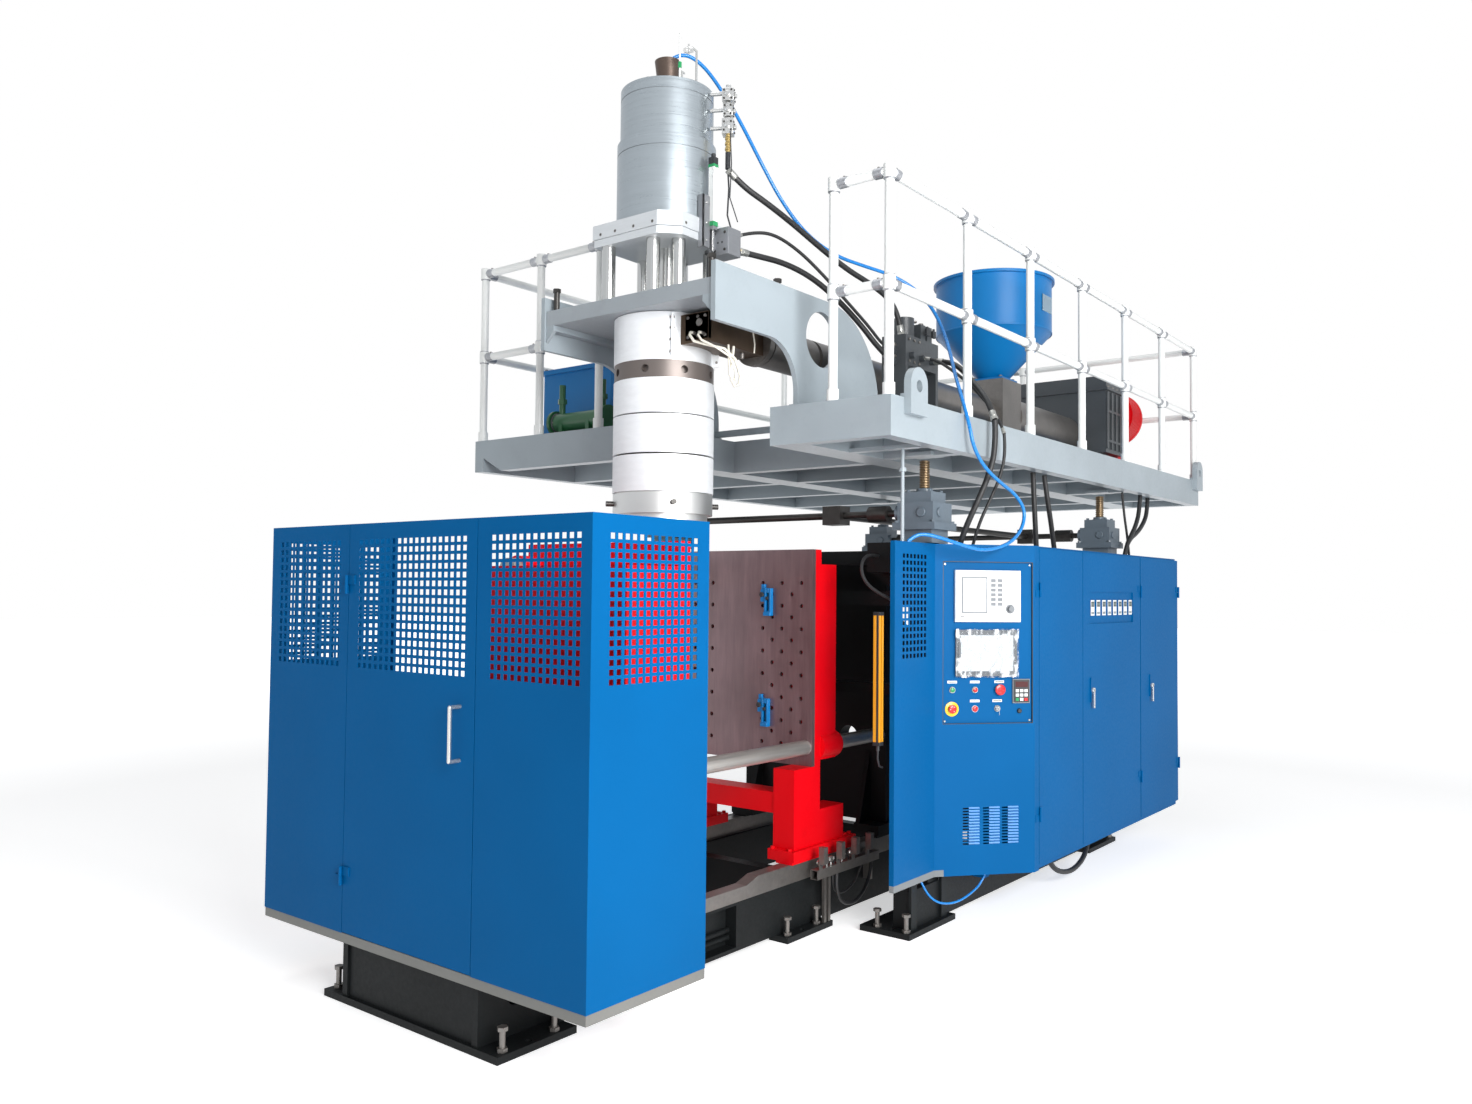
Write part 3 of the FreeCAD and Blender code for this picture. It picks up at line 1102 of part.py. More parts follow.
# ---------------------------------------------------------------- cabinet
def cabinet_shell():
    outer = box(CAB_X0, CAB_X1, CAB_Y0, CAB_Y1, CAB_Z0, CAB_Z1)
    splits = [CAB_X0, (DOOR_A[1] + DOOR_B[0]) / 2, (DOOR_B[1] + DOOR_C[0]) / 2, CAB_X1]
    bays = []
    for left, right in zip(splits, splits[1:]):
        wall0 = SHEET if left == CAB_X0 else SHEET / 2
        wall1 = SHEET if right == CAB_X1 else SHEET / 2
        bays.append(box(left + wall0, right - wall1, CAB_Y0 + SHEET, CAB_Y1 - SHEET, CAB_Z0 + SHEET,
                        CAB_Z1 - SHEET))
        bays.append(box(left + MULLION, right - MULLION, CAB_Y0 - 1, CAB_Y0 + SHEET + 1, DOOR_Z0 + MULLION,
                        DOOR_Z1 - MULLION))
    for bay in bays:
        outer = outer.cut(bay)
    fixed_hinges = cabinet_hinge(HINGE_A_X, -1, False) + web_hinge(HINGE_B_X) + web_hinge(HINGE_C_X)
    strip = box(CAB_X0, HINGE_A_X - CAB_LEAF_T, CAB_Y0 - CAB_DOOR_T, CAB_Y0, CAB_Z0, CAB_Z1)
    brackets = []
    for x in (splits[0] + MULLION, splits[1], splits[2] + MULLION):
        brackets.append(box(x, x + MULLION, CAB_Y1 - MULLION, -SIDE_BEAM_Y1, SIDE_BEAM_TOP - MULLION, CAB_Z0))
    for x in (splits[1], splits[2]):
        brackets.append(box(x, x + MULLION, CAB_Y1, -POST_Y - CROSS_BEAM_W / 2, POST_TOP - CROSS_BEAM_W,
                            POST_TOP - RIB_T))
    return join(outer, strip, *fixed_hinges, *brackets)


def door_pan(x0, x1):
    """A folded door: a front sheet with a return all round."""
    y0 = CAB_Y0 - CAB_DOOR_T
    y1 = CAB_Y0 - FACE_GAP
    outer = box(x0, x1, y0, y1, DOOR_Z0, DOOR_Z1)
    return outer.cut(box(x0 + SHEET, x1 - SHEET, y0 + SHEET, y1 + 1, DOOR_Z0 + SHEET, DOOR_Z1 - SHEET))


def cabinet_hinge(x, leaf_side, moving):
    """One half of the two hinges of a door. leaf_side is -1 or +1 along X."""
    y = CAB_Y0 - CAB_DOOR_T - CAB_HINGE_OUT
    face = CAB_Y0 - CAB_DOOR_T
    halves = []
    for z in CAB_HINGE_Z:
        z0 = z + LEAF_GAP if moving else z - HINGE_HALF
        z1 = z + HINGE_HALF if moving else z
        far = x + leaf_side * HINGE_LEAF
        leaf = box(min(x, far), max(x, far), face - CAB_LEAF_T, face, z0, z1)
        solid = join(rod(CAB_HINGE_R, x, y, z0, z1), leaf)
        if moving:
            solid = join(solid, rod(CAB_PIN_R, x, y, z - HINGE_HALF, z1))
        else:
            solid = solid.cut(rod(CAB_PIN_R + RUN_FIT, x, y, z0 - 1, z1 + 1))
        halves.append(solid)
    return halves


def web_hinge(x):
    """The fixed half of a hinge whose leaf stands in the gap beside a door."""
    y = CAB_Y0 - CAB_DOOR_T - CAB_HINGE_OUT
    halves = []
    for z in CAB_HINGE_Z:
        web = box(x - CAB_LEAF_T / 2, x + CAB_LEAF_T / 2, y, CAB_Y0, z - HINGE_HALF, z)
        solid = join(rod(CAB_HINGE_R, x, y, z - HINGE_HALF, z), web)
        halves.append(solid.cut(rod(CAB_PIN_R + RUN_FIT, x, y, z - HINGE_HALF - 1, z + 1)))
    return halves


def lock_hole(place):
    return rod_y(LOCK_HOLE_R, place[0], CAB_Y0 - CAB_DOOR_T - 1, CAB_Y0, place[1])


def lock_escutcheon(place):
    x, z = place
    y1 = CAB_Y0 - CAB_DOOR_T
    plate = box(x - LOCK_PLATE[0] / 2, x + LOCK_PLATE[0] / 2, y1 - LOCK_T, y1, z - LOCK_PLATE[1] / 2,
                z + LOCK_PLATE[1] / 2)
    return plate


def lock_handle(place):
    """A swing lever on a spindle, with its tongue behind the door."""
    x, z = place
    y1 = CAB_Y0 - CAB_DOOR_T
    y0 = y1 - LOCK_T - FACE_GAP
    lever = box(x - LOCK_HOLE_R, x + LOCK_HOLE_R, y0 - LOCK_T * 2, y0, z - LEVER_L, z + LOCK_HOLE_R * 2)
    spindle = rod_y(LOCK_HOLE_R - RUN_FIT, x, y0, y1 + SHEET + LOCK_T, z)
    tongue = box(x - LOCK_HOLE_R, x + LOCK_HOLE_R, y1 + SHEET + FACE_GAP, y1 + SHEET + LOCK_T, z - TONGUE_L,
                 z + LOCK_HOLE_R)
    return join(lever, spindle, tongue)


def cabinet_doors():
    left = join(door_pan(*DOOR_A), *cabinet_hinge(HINGE_A_X, 1, True))
    middle = door_pan(*DOOR_B).cut(lock_hole(LOCK_B))
    y0 = CAB_Y0 - CAB_DOOR_T
    middle = middle.cut(box(WINDOW_X[0], WINDOW_X[1], y0 - 1, y0 + SHEET + 1, WINDOW_Z[0], WINDOW_Z[1]))
    frame = box(WINDOW_X[0] - SHEET, WINDOW_X[1] + SHEET, y0, y0 + WINDOW_BACK, WINDOW_Z[0] - SHEET,
                WINDOW_Z[1] + SHEET)
    frame = frame.cut(box(WINDOW_X[0], WINDOW_X[1], y0 - 1, y0 + WINDOW_FLOOR, WINDOW_Z[0], WINDOW_Z[1]))
    pitch = (WINDOW_X[1] - WINDOW_X[0]) / DISPLAYS
    z = (WINDOW_Z[0] + WINDOW_Z[1]) / 2
    displays = []
    for k in range(DISPLAYS):
        x = WINDOW_X[0] + pitch * (k + 1 / 2)
        displays.append(box(x - DISPLAY_W / 2, x + DISPLAY_W / 2, y0 + SHEET, y0 + WINDOW_FLOOR,
                            z - DISPLAY_H / 2,
                            z + DISPLAY_H / 2))
    middle = join(middle, frame, *displays, *cabinet_hinge(HINGE_B_X, -1, True))
    plate = lock_escutcheon(LOCK_B).cut(lock_hole_out(LOCK_B))
    middle = join(middle, plate)
    right = door_pan(*DOOR_C).cut(lock_hole(LOCK_C))
    plate = lock_escutcheon(LOCK_C).cut(lock_hole_out(LOCK_C))
    right = join(right, plate, *cabinet_hinge(HINGE_C_X, -1, True))
    return left, middle, right


def lock_hole_out(place):
    y1 = CAB_Y0 - CAB_DOOR_T
    return rod_y(LOCK_HOLE_R, place[0], y1 - LOCK_T - 1, y1 + 1, place[1])


# ---------------------------------------------------------------- control housing


def on_face(shape):
    """Turns a shape from face coordinates onto the angled control face.

    In face coordinates X runs along the face from the cabinet, Y points out of it and Z is up.
    """
    flat = shape.copy()
    flat.rotate(V(0, 0, 0), Z_AXIS, FACE_TURN)
    flat.translate(FACE_CORNER)
    return flat


def control_housing():
    corner_y = CAB_Y0 - CAB_DOOR_T
    outline = [(CAB_X0, corner_y, CAB_Z0), (CTRL_X, CTRL_Y, CAB_Z0), (MESH_PANEL_X, CTRL_Y, CAB_Z0),
               (MESH_PANEL_X, MESH_PANEL_BACK, CAB_Z0), (CAB_X0, MESH_PANEL_BACK, CAB_Z0)]
    outer = prism(outline, V(0, 0, CAB_Z1 - CAB_Z0))
    inner = prism([(CAB_X0 - SHEET, corner_y + CORNER_INSET, CAB_Z0 + SHEET), (CTRL_X + SHEET / 2,
                                                                               CTRL_Y + SHEET, CAB_Z0 + SHEET),
                   (MESH_PANEL_X + SHEET, CTRL_Y + SHEET, CAB_Z0 + SHEET),
                   (MESH_PANEL_X + SHEET, MESH_PANEL_BACK + 1, CAB_Z0 + SHEET),
                   (CAB_X0 - SHEET, MESH_PANEL_BACK + 1, CAB_Z0 + SHEET)], V(0, 0,
                                                                             CAB_Z1 - CAB_Z0 - SHEET * 2))
    shell = outer.cut(inner)
    holes = []
    for column in range(PANEL_MESH_COLS):
        x = PANEL_MESH_X + column * MESH_PITCH_Y
        for row in range(MESH_ROWS):
            z = MESH_Z0 + row * MESH_PITCH_Z
            holes.append(box(x, x + MESH_HOLE_W, CTRL_Y - 1, CTRL_Y + SHEET + 1, z, z + MESH_HOLE_H))
    shell = shell.cut(Part.makeCompound(holes))
    recess = on_face(box(FACE_RECESS_S[0], FACE_RECESS_S[1], -FACE_RECESS_D, 1, FACE_RECESS_Z[0],
                         FACE_RECESS_Z[1]))
    tray = on_face(box(FACE_RECESS_S[0] - SHEET, FACE_RECESS_S[1] + SHEET, -FACE_RECESS_D - SHEET, 0,
                       FACE_RECESS_Z[0] - SHEET, FACE_RECESS_Z[1] + SHEET))
    shell = shell.fuse(tray.common(outer)).cut(recess)
    slots = []
    for s in LOUVRE_S:
        for k in range(LOUVRES):
            z = LOUVRE_Z0 + k * LOUVRE_PITCH
            slots.append(on_face(box(s, s + LOUVRE_W, -LOUVRE_D, 1, z, z + LOUVRE_H)))
    shell = shell.cut(Part.makeCompound(slots))
    for s, z in ((GREEN_S, ROW1_Z), (RED_S, ROW1_Z), (MUSHROOM_S, ROW1_Z), (ESTOP_S, ROW2_Z), (KEY_S,
                                                                                               ROW2_Z)):
        shell = shell.cut(face_rod(STEM_R, s, z, -FACE_RECESS_D - SHEET - 1, -FACE_RECESS_D + 1))
    legs = [box(x, x + MULLION, CTRL_Y + SHEET, -SIDE_BEAM_Y1, FOOT_T, CAB_Z0)
            for x in (FRAME_FRONT_X0 + MULLION, FRAME_FRONT_X1 - MULLION * 2)]
    return join(shell, *legs)


def face_rod(r, s, z, y0, y1):
    return on_face(rod_y(r, s, y0, y1, z))


def face_box(s, z, y0, y1):
    return on_face(box(s[0], s[1], y0, y1, z[0], z[1]))


def ring(r_out, r_in, s, z, y0, y1):
    return on_face(rod_y(r_out, s, y0, y1, z).cut(rod_y(r_in, s, y0 - 1, y1 + 1, z)))


def operator_screens():
    """Controllers, keypad, lamps, key-hole plates and label plates on the control face."""
    floor = -FACE_RECESS_D
    controller = face_box(CONTROLLER_S, CONTROLLER_Z, floor, floor + CONTROLLER_D)
    controller = controller.cut(face_box(SCREEN_S, SCREEN_Z, floor + CONTROLLER_D - SHEET,
                                         floor + CONTROLLER_D + 1))
    controller = controller.cut(face_rod(STEM_R / 2 + RUN_FIT, KNOB_S, KNOB_Z, floor + STEM_R,
                                         floor + CONTROLLER_D + 1))
    panel = face_box(HMI_S, HMI_Z, floor, floor + HMI_D)
    panel = panel.cut(on_face(box(HMI_S[0] + PLATE, HMI_S[1] - PLATE, floor + HMI_D - SHEET,
                                  floor + HMI_D + 1,
                                  HMI_Z[0] + PLATE, HMI_Z[1] - PLATE)))
    keypad = face_box(KEYPAD_S, KEYPAD_Z, floor, floor + KEYPAD_D)
    pieces = [controller, panel, keypad]
    for s, z in ((GREEN_S, ROW1_Z), (RED_S, ROW1_Z), (KEY_S, ROW2_Z)):
        pieces.append(ring(BUTTON_RING_R, BUTTON_R + FACE_GAP, s, z, floor, floor + BUTTON_OUT / 2))
    pieces.append(ring(MUSHROOM_R, STEM_R + FACE_GAP, MUSHROOM_S, ROW1_Z, floor, floor + BUTTON_OUT / 2))
    pieces.append(ring(ESTOP_DISC_R, STEM_R + FACE_GAP, ESTOP_S, ROW2_Z, floor, floor + SHEET))
    pieces.append(face_rod(BUTTON_RING_R, RED_S, ROW2_Z, floor, floor + BUTTON_OUT))
    pieces.append(face_rod(BUTTON_R, LAMP_S, LAMP_Z, floor, floor + BUTTON_OUT))
    for s, z in ((GREEN_S, ROW1_Z), (RED_S, ROW1_Z), (MUSHROOM_S, ROW1_Z), (RED_S, ROW2_Z), (KEY_S, ROW2_Z)):
        z0 = z + MUSHROOM_R + SHEET
        pieces.append(on_face(box(s - MUSHROOM_R, s + MUSHROOM_R, floor, floor + SHEET, z0, z0 + BUTTON_R)))
    return group(pieces)


def button(s, z, r, z_out, cap):
    """A cap on a stem that slides through the face."""
    floor = -FACE_RECESS_D
    stem = face_rod(STEM_R - RUN_FIT, s, z, floor - SHEET - STEM_TAIL, floor + z_out)
    head = face_rod(r, s, z, floor + z_out, floor + z_out + cap)
    return join(stem, head)


def start_button():
    floor = -FACE_RECESS_D
    stem = face_rod(STEM_R - RUN_FIT, GREEN_S, ROW1_Z, floor - SHEET - STEM_TAIL,
                    floor + BUTTON_TRAVEL + FACE_GAP)
    cap = face_rod(BUTTON_R, GREEN_S, ROW1_Z, floor + BUTTON_TRAVEL + FACE_GAP, floor + BUTTON_OUT)
    return join(stem, cap)


def stop_button():
    floor = -FACE_RECESS_D
    stem = face_rod(STEM_R - RUN_FIT, RED_S, ROW1_Z, floor - SHEET - STEM_TAIL,
                    floor + BUTTON_TRAVEL + FACE_GAP)
    cap = face_rod(BUTTON_R, RED_S, ROW1_Z, floor + BUTTON_TRAVEL + FACE_GAP, floor + BUTTON_OUT)
    return join(stem, cap)


def emergency_stop():
    return button(ESTOP_S, ROW2_Z, MUSHROOM_R - SHEET * 2, SHEET + BUTTON_TRAVEL + FACE_GAP, BUTTON_OUT)


def mushroom_button():
    return button(MUSHROOM_S, ROW1_Z, MUSHROOM_R, BUTTON_OUT / 2 + BUTTON_TRAVEL + FACE_GAP, BUTTON_OUT)


def key_switch():
    floor = -FACE_RECESS_D
    barrel = face_rod(STEM_R - RUN_FIT, KEY_S, ROW2_Z, floor - SHEET - STEM_TAIL, floor + FACE_GAP)
    cap = face_rod(BUTTON_R, KEY_S, ROW2_Z, floor + FACE_GAP, floor + BUTTON_OUT)
    blade = on_face(box(KEY_S - KEY_T / 2, KEY_S + KEY_T / 2, floor + BUTTON_OUT,
                        floor + BUTTON_OUT + PLATE, ROW2_Z - BUTTON_R,
                        ROW2_Z + STEM_R))
    return join(barrel, cap, blade)


def program_knob():
    top = -FACE_RECESS_D + CONTROLLER_D
    stem = face_rod(STEM_R / 2, KNOB_S, KNOB_Z, -FACE_RECESS_D + STEM_R + FACE_GAP, top + FACE_GAP)
    return join(stem, face_rod(KNOB_R, KNOB_S, KNOB_Z, top + FACE_GAP, top + PLATE))


# ---------------------------------------------------------------- jacks
def jack_places():
    return [(x, y) for x in (POST_X0, POST_X1) for y in (-POST_Y, POST_Y)]


def jack_housings():
    housings = []
    for x, y in jack_places():
        steps = [box(x - w / 2, x + w / 2, y - w / 2, y + w / 2, z0, z1) for w, z0, z1 in JACK_STEPS]
        solid = join(*steps)
        inward = -1 if y > 0 else 1
        edge = y + inward * JACK_STEPS[2][0] / 2
        shaft_x = x - (POST_X0 - SHAFT_X[0])
        stub = rod_y(COUPLING_R, shaft_x, min(edge, edge + inward * PLATE), max(edge,
                                                                                edge + inward * PLATE), SHAFT_Z)
        corners = [(x + dx * POST, y + dy * POST) for dx in (-1, 1) for dy in (-1, 1)]
        top = JACK_STEPS[1][2]
        screws = [hexagon(LEVEL_R, cx - math.copysign(JACK_SCREW_IN, cx - x),
                          cy - math.copysign(JACK_SCREW_IN, cy - y), top,
                          top + LEVEL_R) for cx, cy in corners]
        solid = join(solid, stub, *screws)
        housings.append(solid.cut(rod(JACK_R + RUN_FIT, x, y, JACK_STEPS[0][1] - 1, JACK_STEPS[-1][2] + 1)))
    return group(housings)


def jack_screws():
    """Trapezoidal screws, hung from the platform, each with a round top plate."""
    screws = []
    for x, y in jack_places():
        plate = rod(JACK_PLATE_R, x, y, PLAT_Z0 - PLATE, PLAT_Z0)
        screws.append(join(rod(JACK_R, x, y, JACK_BOTTOM, PLAT_Z0 - PLATE), plate))
    return group(screws)


def drive_shafts():
    pieces = []
    reach = POST_Y - JACK_STEPS[2][0] / 2 - PLATE
    for x in SHAFT_X:
        shaft = rod_y(SHAFT_R, x, -reach, reach, SHAFT_Z)
        couplings = [rod_y(COUPLING_R, x, y - POST / 2, y + POST / 2, SHAFT_Z)
                     for y in (-reach + POST, reach - POST)]
        gear = box(x - BEVEL_BOX_HALF, x + BEVEL_BOX_HALF, SHAFT_LONG_Y / 2 - POST / 2,
                   SHAFT_LONG_Y / 2 + POST / 2,
                   SHAFT_Z - BEVEL_BOX_HALF, SHAFT_Z + BEVEL_BOX_HALF)
        pieces.extend([shaft, gear] + couplings)
    pieces.append(rod_x(SHAFT_R, SHAFT_X[0], SHAFT_X[1], SHAFT_LONG_Y / 2, SHAFT_Z))
    return join(*pieces)


# ---------------------------------------------------------------- lifting platform
def platform_frame():
    z0 = PLAT_Z0
    z1 = PLAT_TOP - DECK_T
    beam = PLAT_BEAM
    parts = [box(PLAT_X0, PLAT_X1, PLAT_Y0, PLAT_Y0 + beam, z0, z1),
             box(PLAT_X0, PLAT_X1, PLAT_Y1 - beam, PLAT_Y1, z0, z1),
             box(PLAT_X1 - beam, PLAT_X1, PLAT_Y0, PLAT_Y1, z0, z1),
             box(PLAT_X0, PLAT_X0 + beam, PLAT_Y0, -NOTCH_Y, z0, z1),
             box(PLAT_X0, PLAT_X0 + beam, NOTCH_Y, PLAT_Y1 - TAPER_L, z0, z1)]
    taper = prism([(PLAT_X0, PLAT_Y1 - TAPER_L, z0), (PLAT_X0, PLAT_Y1 - beam, z1 - TAPER_DEPTH),
                   (PLAT_X0, PLAT_Y1 - beam, z1), (PLAT_X0, PLAT_Y1 - TAPER_L, z1)], V(beam, 0, 0))
    parts.append(taper)
    for side in (-1, 1):
        inner = box(PLAT_X0, PLAT_X1, NOTCH_Y, NOTCH_Y + NOTCH_BEAM, z0, z1)
        parts.append(inner if side > 0 else mirror_y(inner))
    for x in PLAT_CROSS_X:
        if x > NOTCH_X1:
            parts.append(box(x - beam / 2, x + beam / 2, PLAT_Y0, PLAT_Y1, z0, z1))
        else:
            parts.append(box(x - beam / 2, x + beam / 2, PLAT_Y0, -NOTCH_Y, z0, z1))
            parts.append(box(x - beam / 2, x + beam / 2, NOTCH_Y, PLAT_Y1, z0, z1))
    parts.append(box(NOTCH_X1, NOTCH_X1 + beam, -NOTCH_Y, NOTCH_Y, z0, z1))
    deck = box(PLAT_X0, PLAT_X1, PLAT_Y0, PLAT_Y1, z1, PLAT_TOP)
    deck = deck.cut(box(PLAT_X0 - 1, NOTCH_X1, -NOTCH_Y, NOTCH_Y, z1 - 1, PLAT_TOP + 1))
    for x0, x1 in LUG_X:
        parts.append(lifting_lug(x0, x1))
    pads = [box(x - JACK_PLATE_R, x + JACK_PLATE_R, y - JACK_PLATE_R, y + JACK_PLATE_R, z0, z0 + PLATE)
            for x, y in jack_places()]
    stem = rod(INDICATOR_R, INDICATOR_X, INDICATOR_Y, CAB_Z1 + FACE_GAP, z0 + PLATE)
    collar = rod(INDICATOR_R * 2, INDICATOR_X, INDICATOR_Y, z0 - POST, z0 - POST + PLATE)
    arm = box(INDICATOR_X - MULLION / 2, INDICATOR_X + MULLION / 2, PLAT_Y0 + beam / 2,
              -NOTCH_Y - NOTCH_BEAM / 2, z0, z0 + PLATE)
    return join(deck, *parts, *pads, arm, stem, collar)


def lifting_lug(x0, x1):
    y0 = PLAT_Y0 - LUG_T
    half = (x1 - x0) / 2
    middle = (x0 + x1) / 2
    flat = box(x0, x1, y0, PLAT_Y0, PLAT_Z0 + POST, LUG_TOP - half)
    top = rod_y(half, middle, y0, PLAT_Y0, LUG_TOP - half)
    back = box(x0, x1, PLAT_Y0, PLAT_Y0 + PLATE, PLAT_TOP - DECK_T, PLAT_TOP + PLATE)
    lug = join(flat, top, back).cut(rod_y(LUG_HOLE_R, middle, y0 - 1, PLAT_Y0 + PLATE + 1, LUG_HOLE_Z))
    return lug.cut(rod(SLEEVE_R + FACE_GAP, RAILING_X1, RAILING_NEAR_Y, PLAT_TOP, LUG_TOP))


def railing_lines():
    """Each straight run of railing: its posts, in order, as (x, y)."""
    step = (RAILING_X1 - RAILING_X0) / RAILING_BAYS
    near = [(RAILING_X0 + step * k, RAILING_NEAR_Y) for k in range(RAILING_BAYS + 1)]
    far_step = (RAILING_X1 - RAILING_X0) / RAILING_FAR_BAYS
    far = [(RAILING_X0 + far_step * k, RAILING_FAR_Y) for k in range(RAILING_FAR_BAYS + 1)]
    front = [(RAILING_X0, RAILING_NEAR_Y), (RAILING_X0, RAILING_FRONT_Y)]
    left = [(RAILING_X0, y) for y in RAILING_LEFT_Y] + [(RAILING_X0, RAILING_FAR_Y)]
    middle = (RAILING_NEAR_Y + RAILING_FAR_Y) / 2
    end = [(RAILING_X1, RAILING_NEAR_Y), (RAILING_X1, middle), (RAILING_X1, RAILING_FAR_Y)]
    return [near, far, front, left, end]


def railing():
    """Posts with their clamp sleeves, and the rails between the sleeves, as separate pipes."""
    solids = []
    seen = []
    for line in railing_lines():
        for place in line:
            if place not in seen:
                seen.append(place)
                solids.append(railing_post(*place))
        for first, last in zip(line, line[1:]):
            for z in (RAILING_MID, RAILING_TOP):
                solids.append(railing_rail(first, last, z))
    return group(solids)


def railing_post(x, y):
    parts = [rod(RAILING_R, x, y, PLAT_TOP, RAILING_TOP + RAILING_R)]
    parts.append(rod(SLEEVE_R, x, y, PLAT_TOP, PLAT_TOP + SOCKET_H))
    for z in (RAILING_MID, RAILING_TOP):
        parts.append(rod(SLEEVE_R, x, y, z - SLEEVE_H / 2, z + SLEEVE_H / 2))
    return join(*parts)


def railing_rail(first, last, z):
    start = V(first[0], first[1], z)
    along = V(last[0], last[1], z) - start
    length = along.Length
    unit = along.normalize()
    pipe = Part.makeCylinder(RAILING_R, length - SLEEVE_R, start + unit * (SLEEVE_R / 2), unit)
    for x, y in (first, last):
        pipe = pipe.cut(rod(SLEEVE_R, x, y, z - SLEEVE_H, z + SLEEVE_H))
    return pipe


# ---------------------------------------------------------------- head brackets
def bracket_plate(y0, y1):
    """A gooseneck plate: a quarter arc outside and a smaller one inside."""
    foot_x = BRACKET_ARC_X + BRACKET_R
    foot_in_x = BRACKET_IN_X + BRACKET_IN_R
    low_z = BRACKET_TOP - BRACKET_R
    low_in_z = BRACKET_IN_Z - BRACKET_IN_R
    half = 1 / math.sqrt(2)

    def arc(x_centre, z_centre, r):
        return Part.Arc(V(x_centre, y0, z_centre + r), V(x_centre + r * half, y0, z_centre + r * half),
                        V(x_centre + r, y0, z_centre)).toShape()

    def line(a, b):
        return Part.LineSegment(V(a[0], y0, a[1]), V(b[0], y0, b[1])).toShape()

    edges = [line((BRACKET_X0, BRACKET_IN_Z), (BRACKET_X0, BRACKET_TOP)),
             line((BRACKET_X0, BRACKET_TOP), (BRACKET_ARC_X, BRACKET_TOP)),
             arc(BRACKET_ARC_X, low_z, BRACKET_R),
             line((foot_x, low_z), (foot_x, PLAT_TOP)),
             line((foot_x, PLAT_TOP), (foot_in_x, PLAT_TOP)),
             line((foot_in_x, PLAT_TOP), (foot_in_x, low_in_z)),
             arc(BRACKET_IN_X, low_in_z, BRACKET_IN_R),
             line((BRACKET_IN_X, BRACKET_IN_Z), (BRACKET_X0, BRACKET_IN_Z))]
    plate = Part.Face(Part.Wire(Part.__sortEdges__(edges))).extrude(V(0, y1 - y0, 0))
    return plate.cut(rod_y(BRACKET_HOLE_R, BRACKET_HOLE_X, y0 - 1, y1 + 1, BRACKET_HOLE_Z))


def head_brackets():
    foot_in_x = BRACKET_IN_X + BRACKET_IN_R
    foot_x = BRACKET_ARC_X + BRACKET_R
    middle = (BRACKET_Y0 + BRACKET_Y1) / 2
    near = bracket_plate(BRACKET_Y0, BRACKET_Y1)
    foot = box(foot_in_x, foot_x, middle - BRACKET_FOOT / 2, middle + BRACKET_FOOT / 2, PLAT_TOP,
               PLAT_TOP + PLATE)
    ledge = box(HEAD_PLATE_X0, HEAD_PLATE_X1, BRACKET_Y0 - LEDGE_W, BRACKET_Y0, HEAD_PLATE_Z0 - LEDGE_T,
                HEAD_PLATE_Z0)
    gussets = []
    for x in (HEAD_PLATE_X0, HEAD_PLATE_X1 - PLATE):
        gussets.append(prism([(x, BRACKET_Y0, HEAD_PLATE_Z0 - LEDGE_T), (x, BRACKET_Y0 - LEDGE_W,
                                                                         HEAD_PLATE_Z0 - LEDGE_T),
                              (x, BRACKET_Y0, HEAD_PLATE_Z0 - LEDGE_T - LEDGE_W)], V(PLATE, 0, 0)))
    side = join(near, foot, ledge, *gussets)
    tie_x1 = foot_x - PLATE
    tie = box(tie_x1 - PLATE, tie_x1, -BRACKET_Y0, BRACKET_Y0, PLAT_TOP + PLATE,
              PLAT_TOP + PLATE + BRACKET_TIE_H)
    return join(side, mirror_y(side), tie)


# ---------------------------------------------------------------- accumulator head
def head_columns():
    return [rod(COLUMN_R, HEAD_X + dx, dy, HEAD_PLATE_Z1, BLOCK_Z0) for dx, dy in COLUMNS]


def head_plate():
    """The plate that carries the head, with the six columns of the shot cylinder standing on it."""
    plate = box(HEAD_PLATE_X0, HEAD_PLATE_X1, -BRACKET_Y0 + TRAY_WALL, BRACKET_Y0 - TRAY_WALL,
                HEAD_PLATE_Z0, HEAD_PLATE_Z1)
    collar = rod(COLLAR_R, HEAD_X, 0, HEAD_PLATE_Z1, HEAD_PLATE_Z1 + PLATE)
    bore = rod(PISTON_ROD_R + RUN_FIT, HEAD_X, 0, HEAD_PLATE_Z0 - 1, HEAD_PLATE_Z1 + PLATE + 1)
    return group([join(plate, collar).cut(bore)] + head_columns())


def chamfered_square(half, chamfer, z0, z1):
    """A square round the head's axis with both corners on the operator's side cut off."""
    inner = half - chamfer
    points = [(half, -inner), (half, half), (-half, half), (-half, -inner), (-inner, -half), (inner, -half)]
    return prism([(HEAD_X + x, y, z0) for x, y in points], V(0, 0, z1 - z0))


def cylinder_block():
    step = (BLOCK_Z0 + BLOCK_Z1) / 2
    low = chamfered_square(BLOCK_HALF, BLOCK_CHAMFER, BLOCK_Z0, step)
    high = chamfered_square(BLOCK_HALF - TRAY_WALL, BLOCK_CHAMFER, step, BLOCK_Z1)
    return join(low, high).cut(rod(PISTON_ROD_R + RUN_FIT, HEAD_X, 0, BLOCK_Z0 - 1, BLOCK_Z1 + 1))


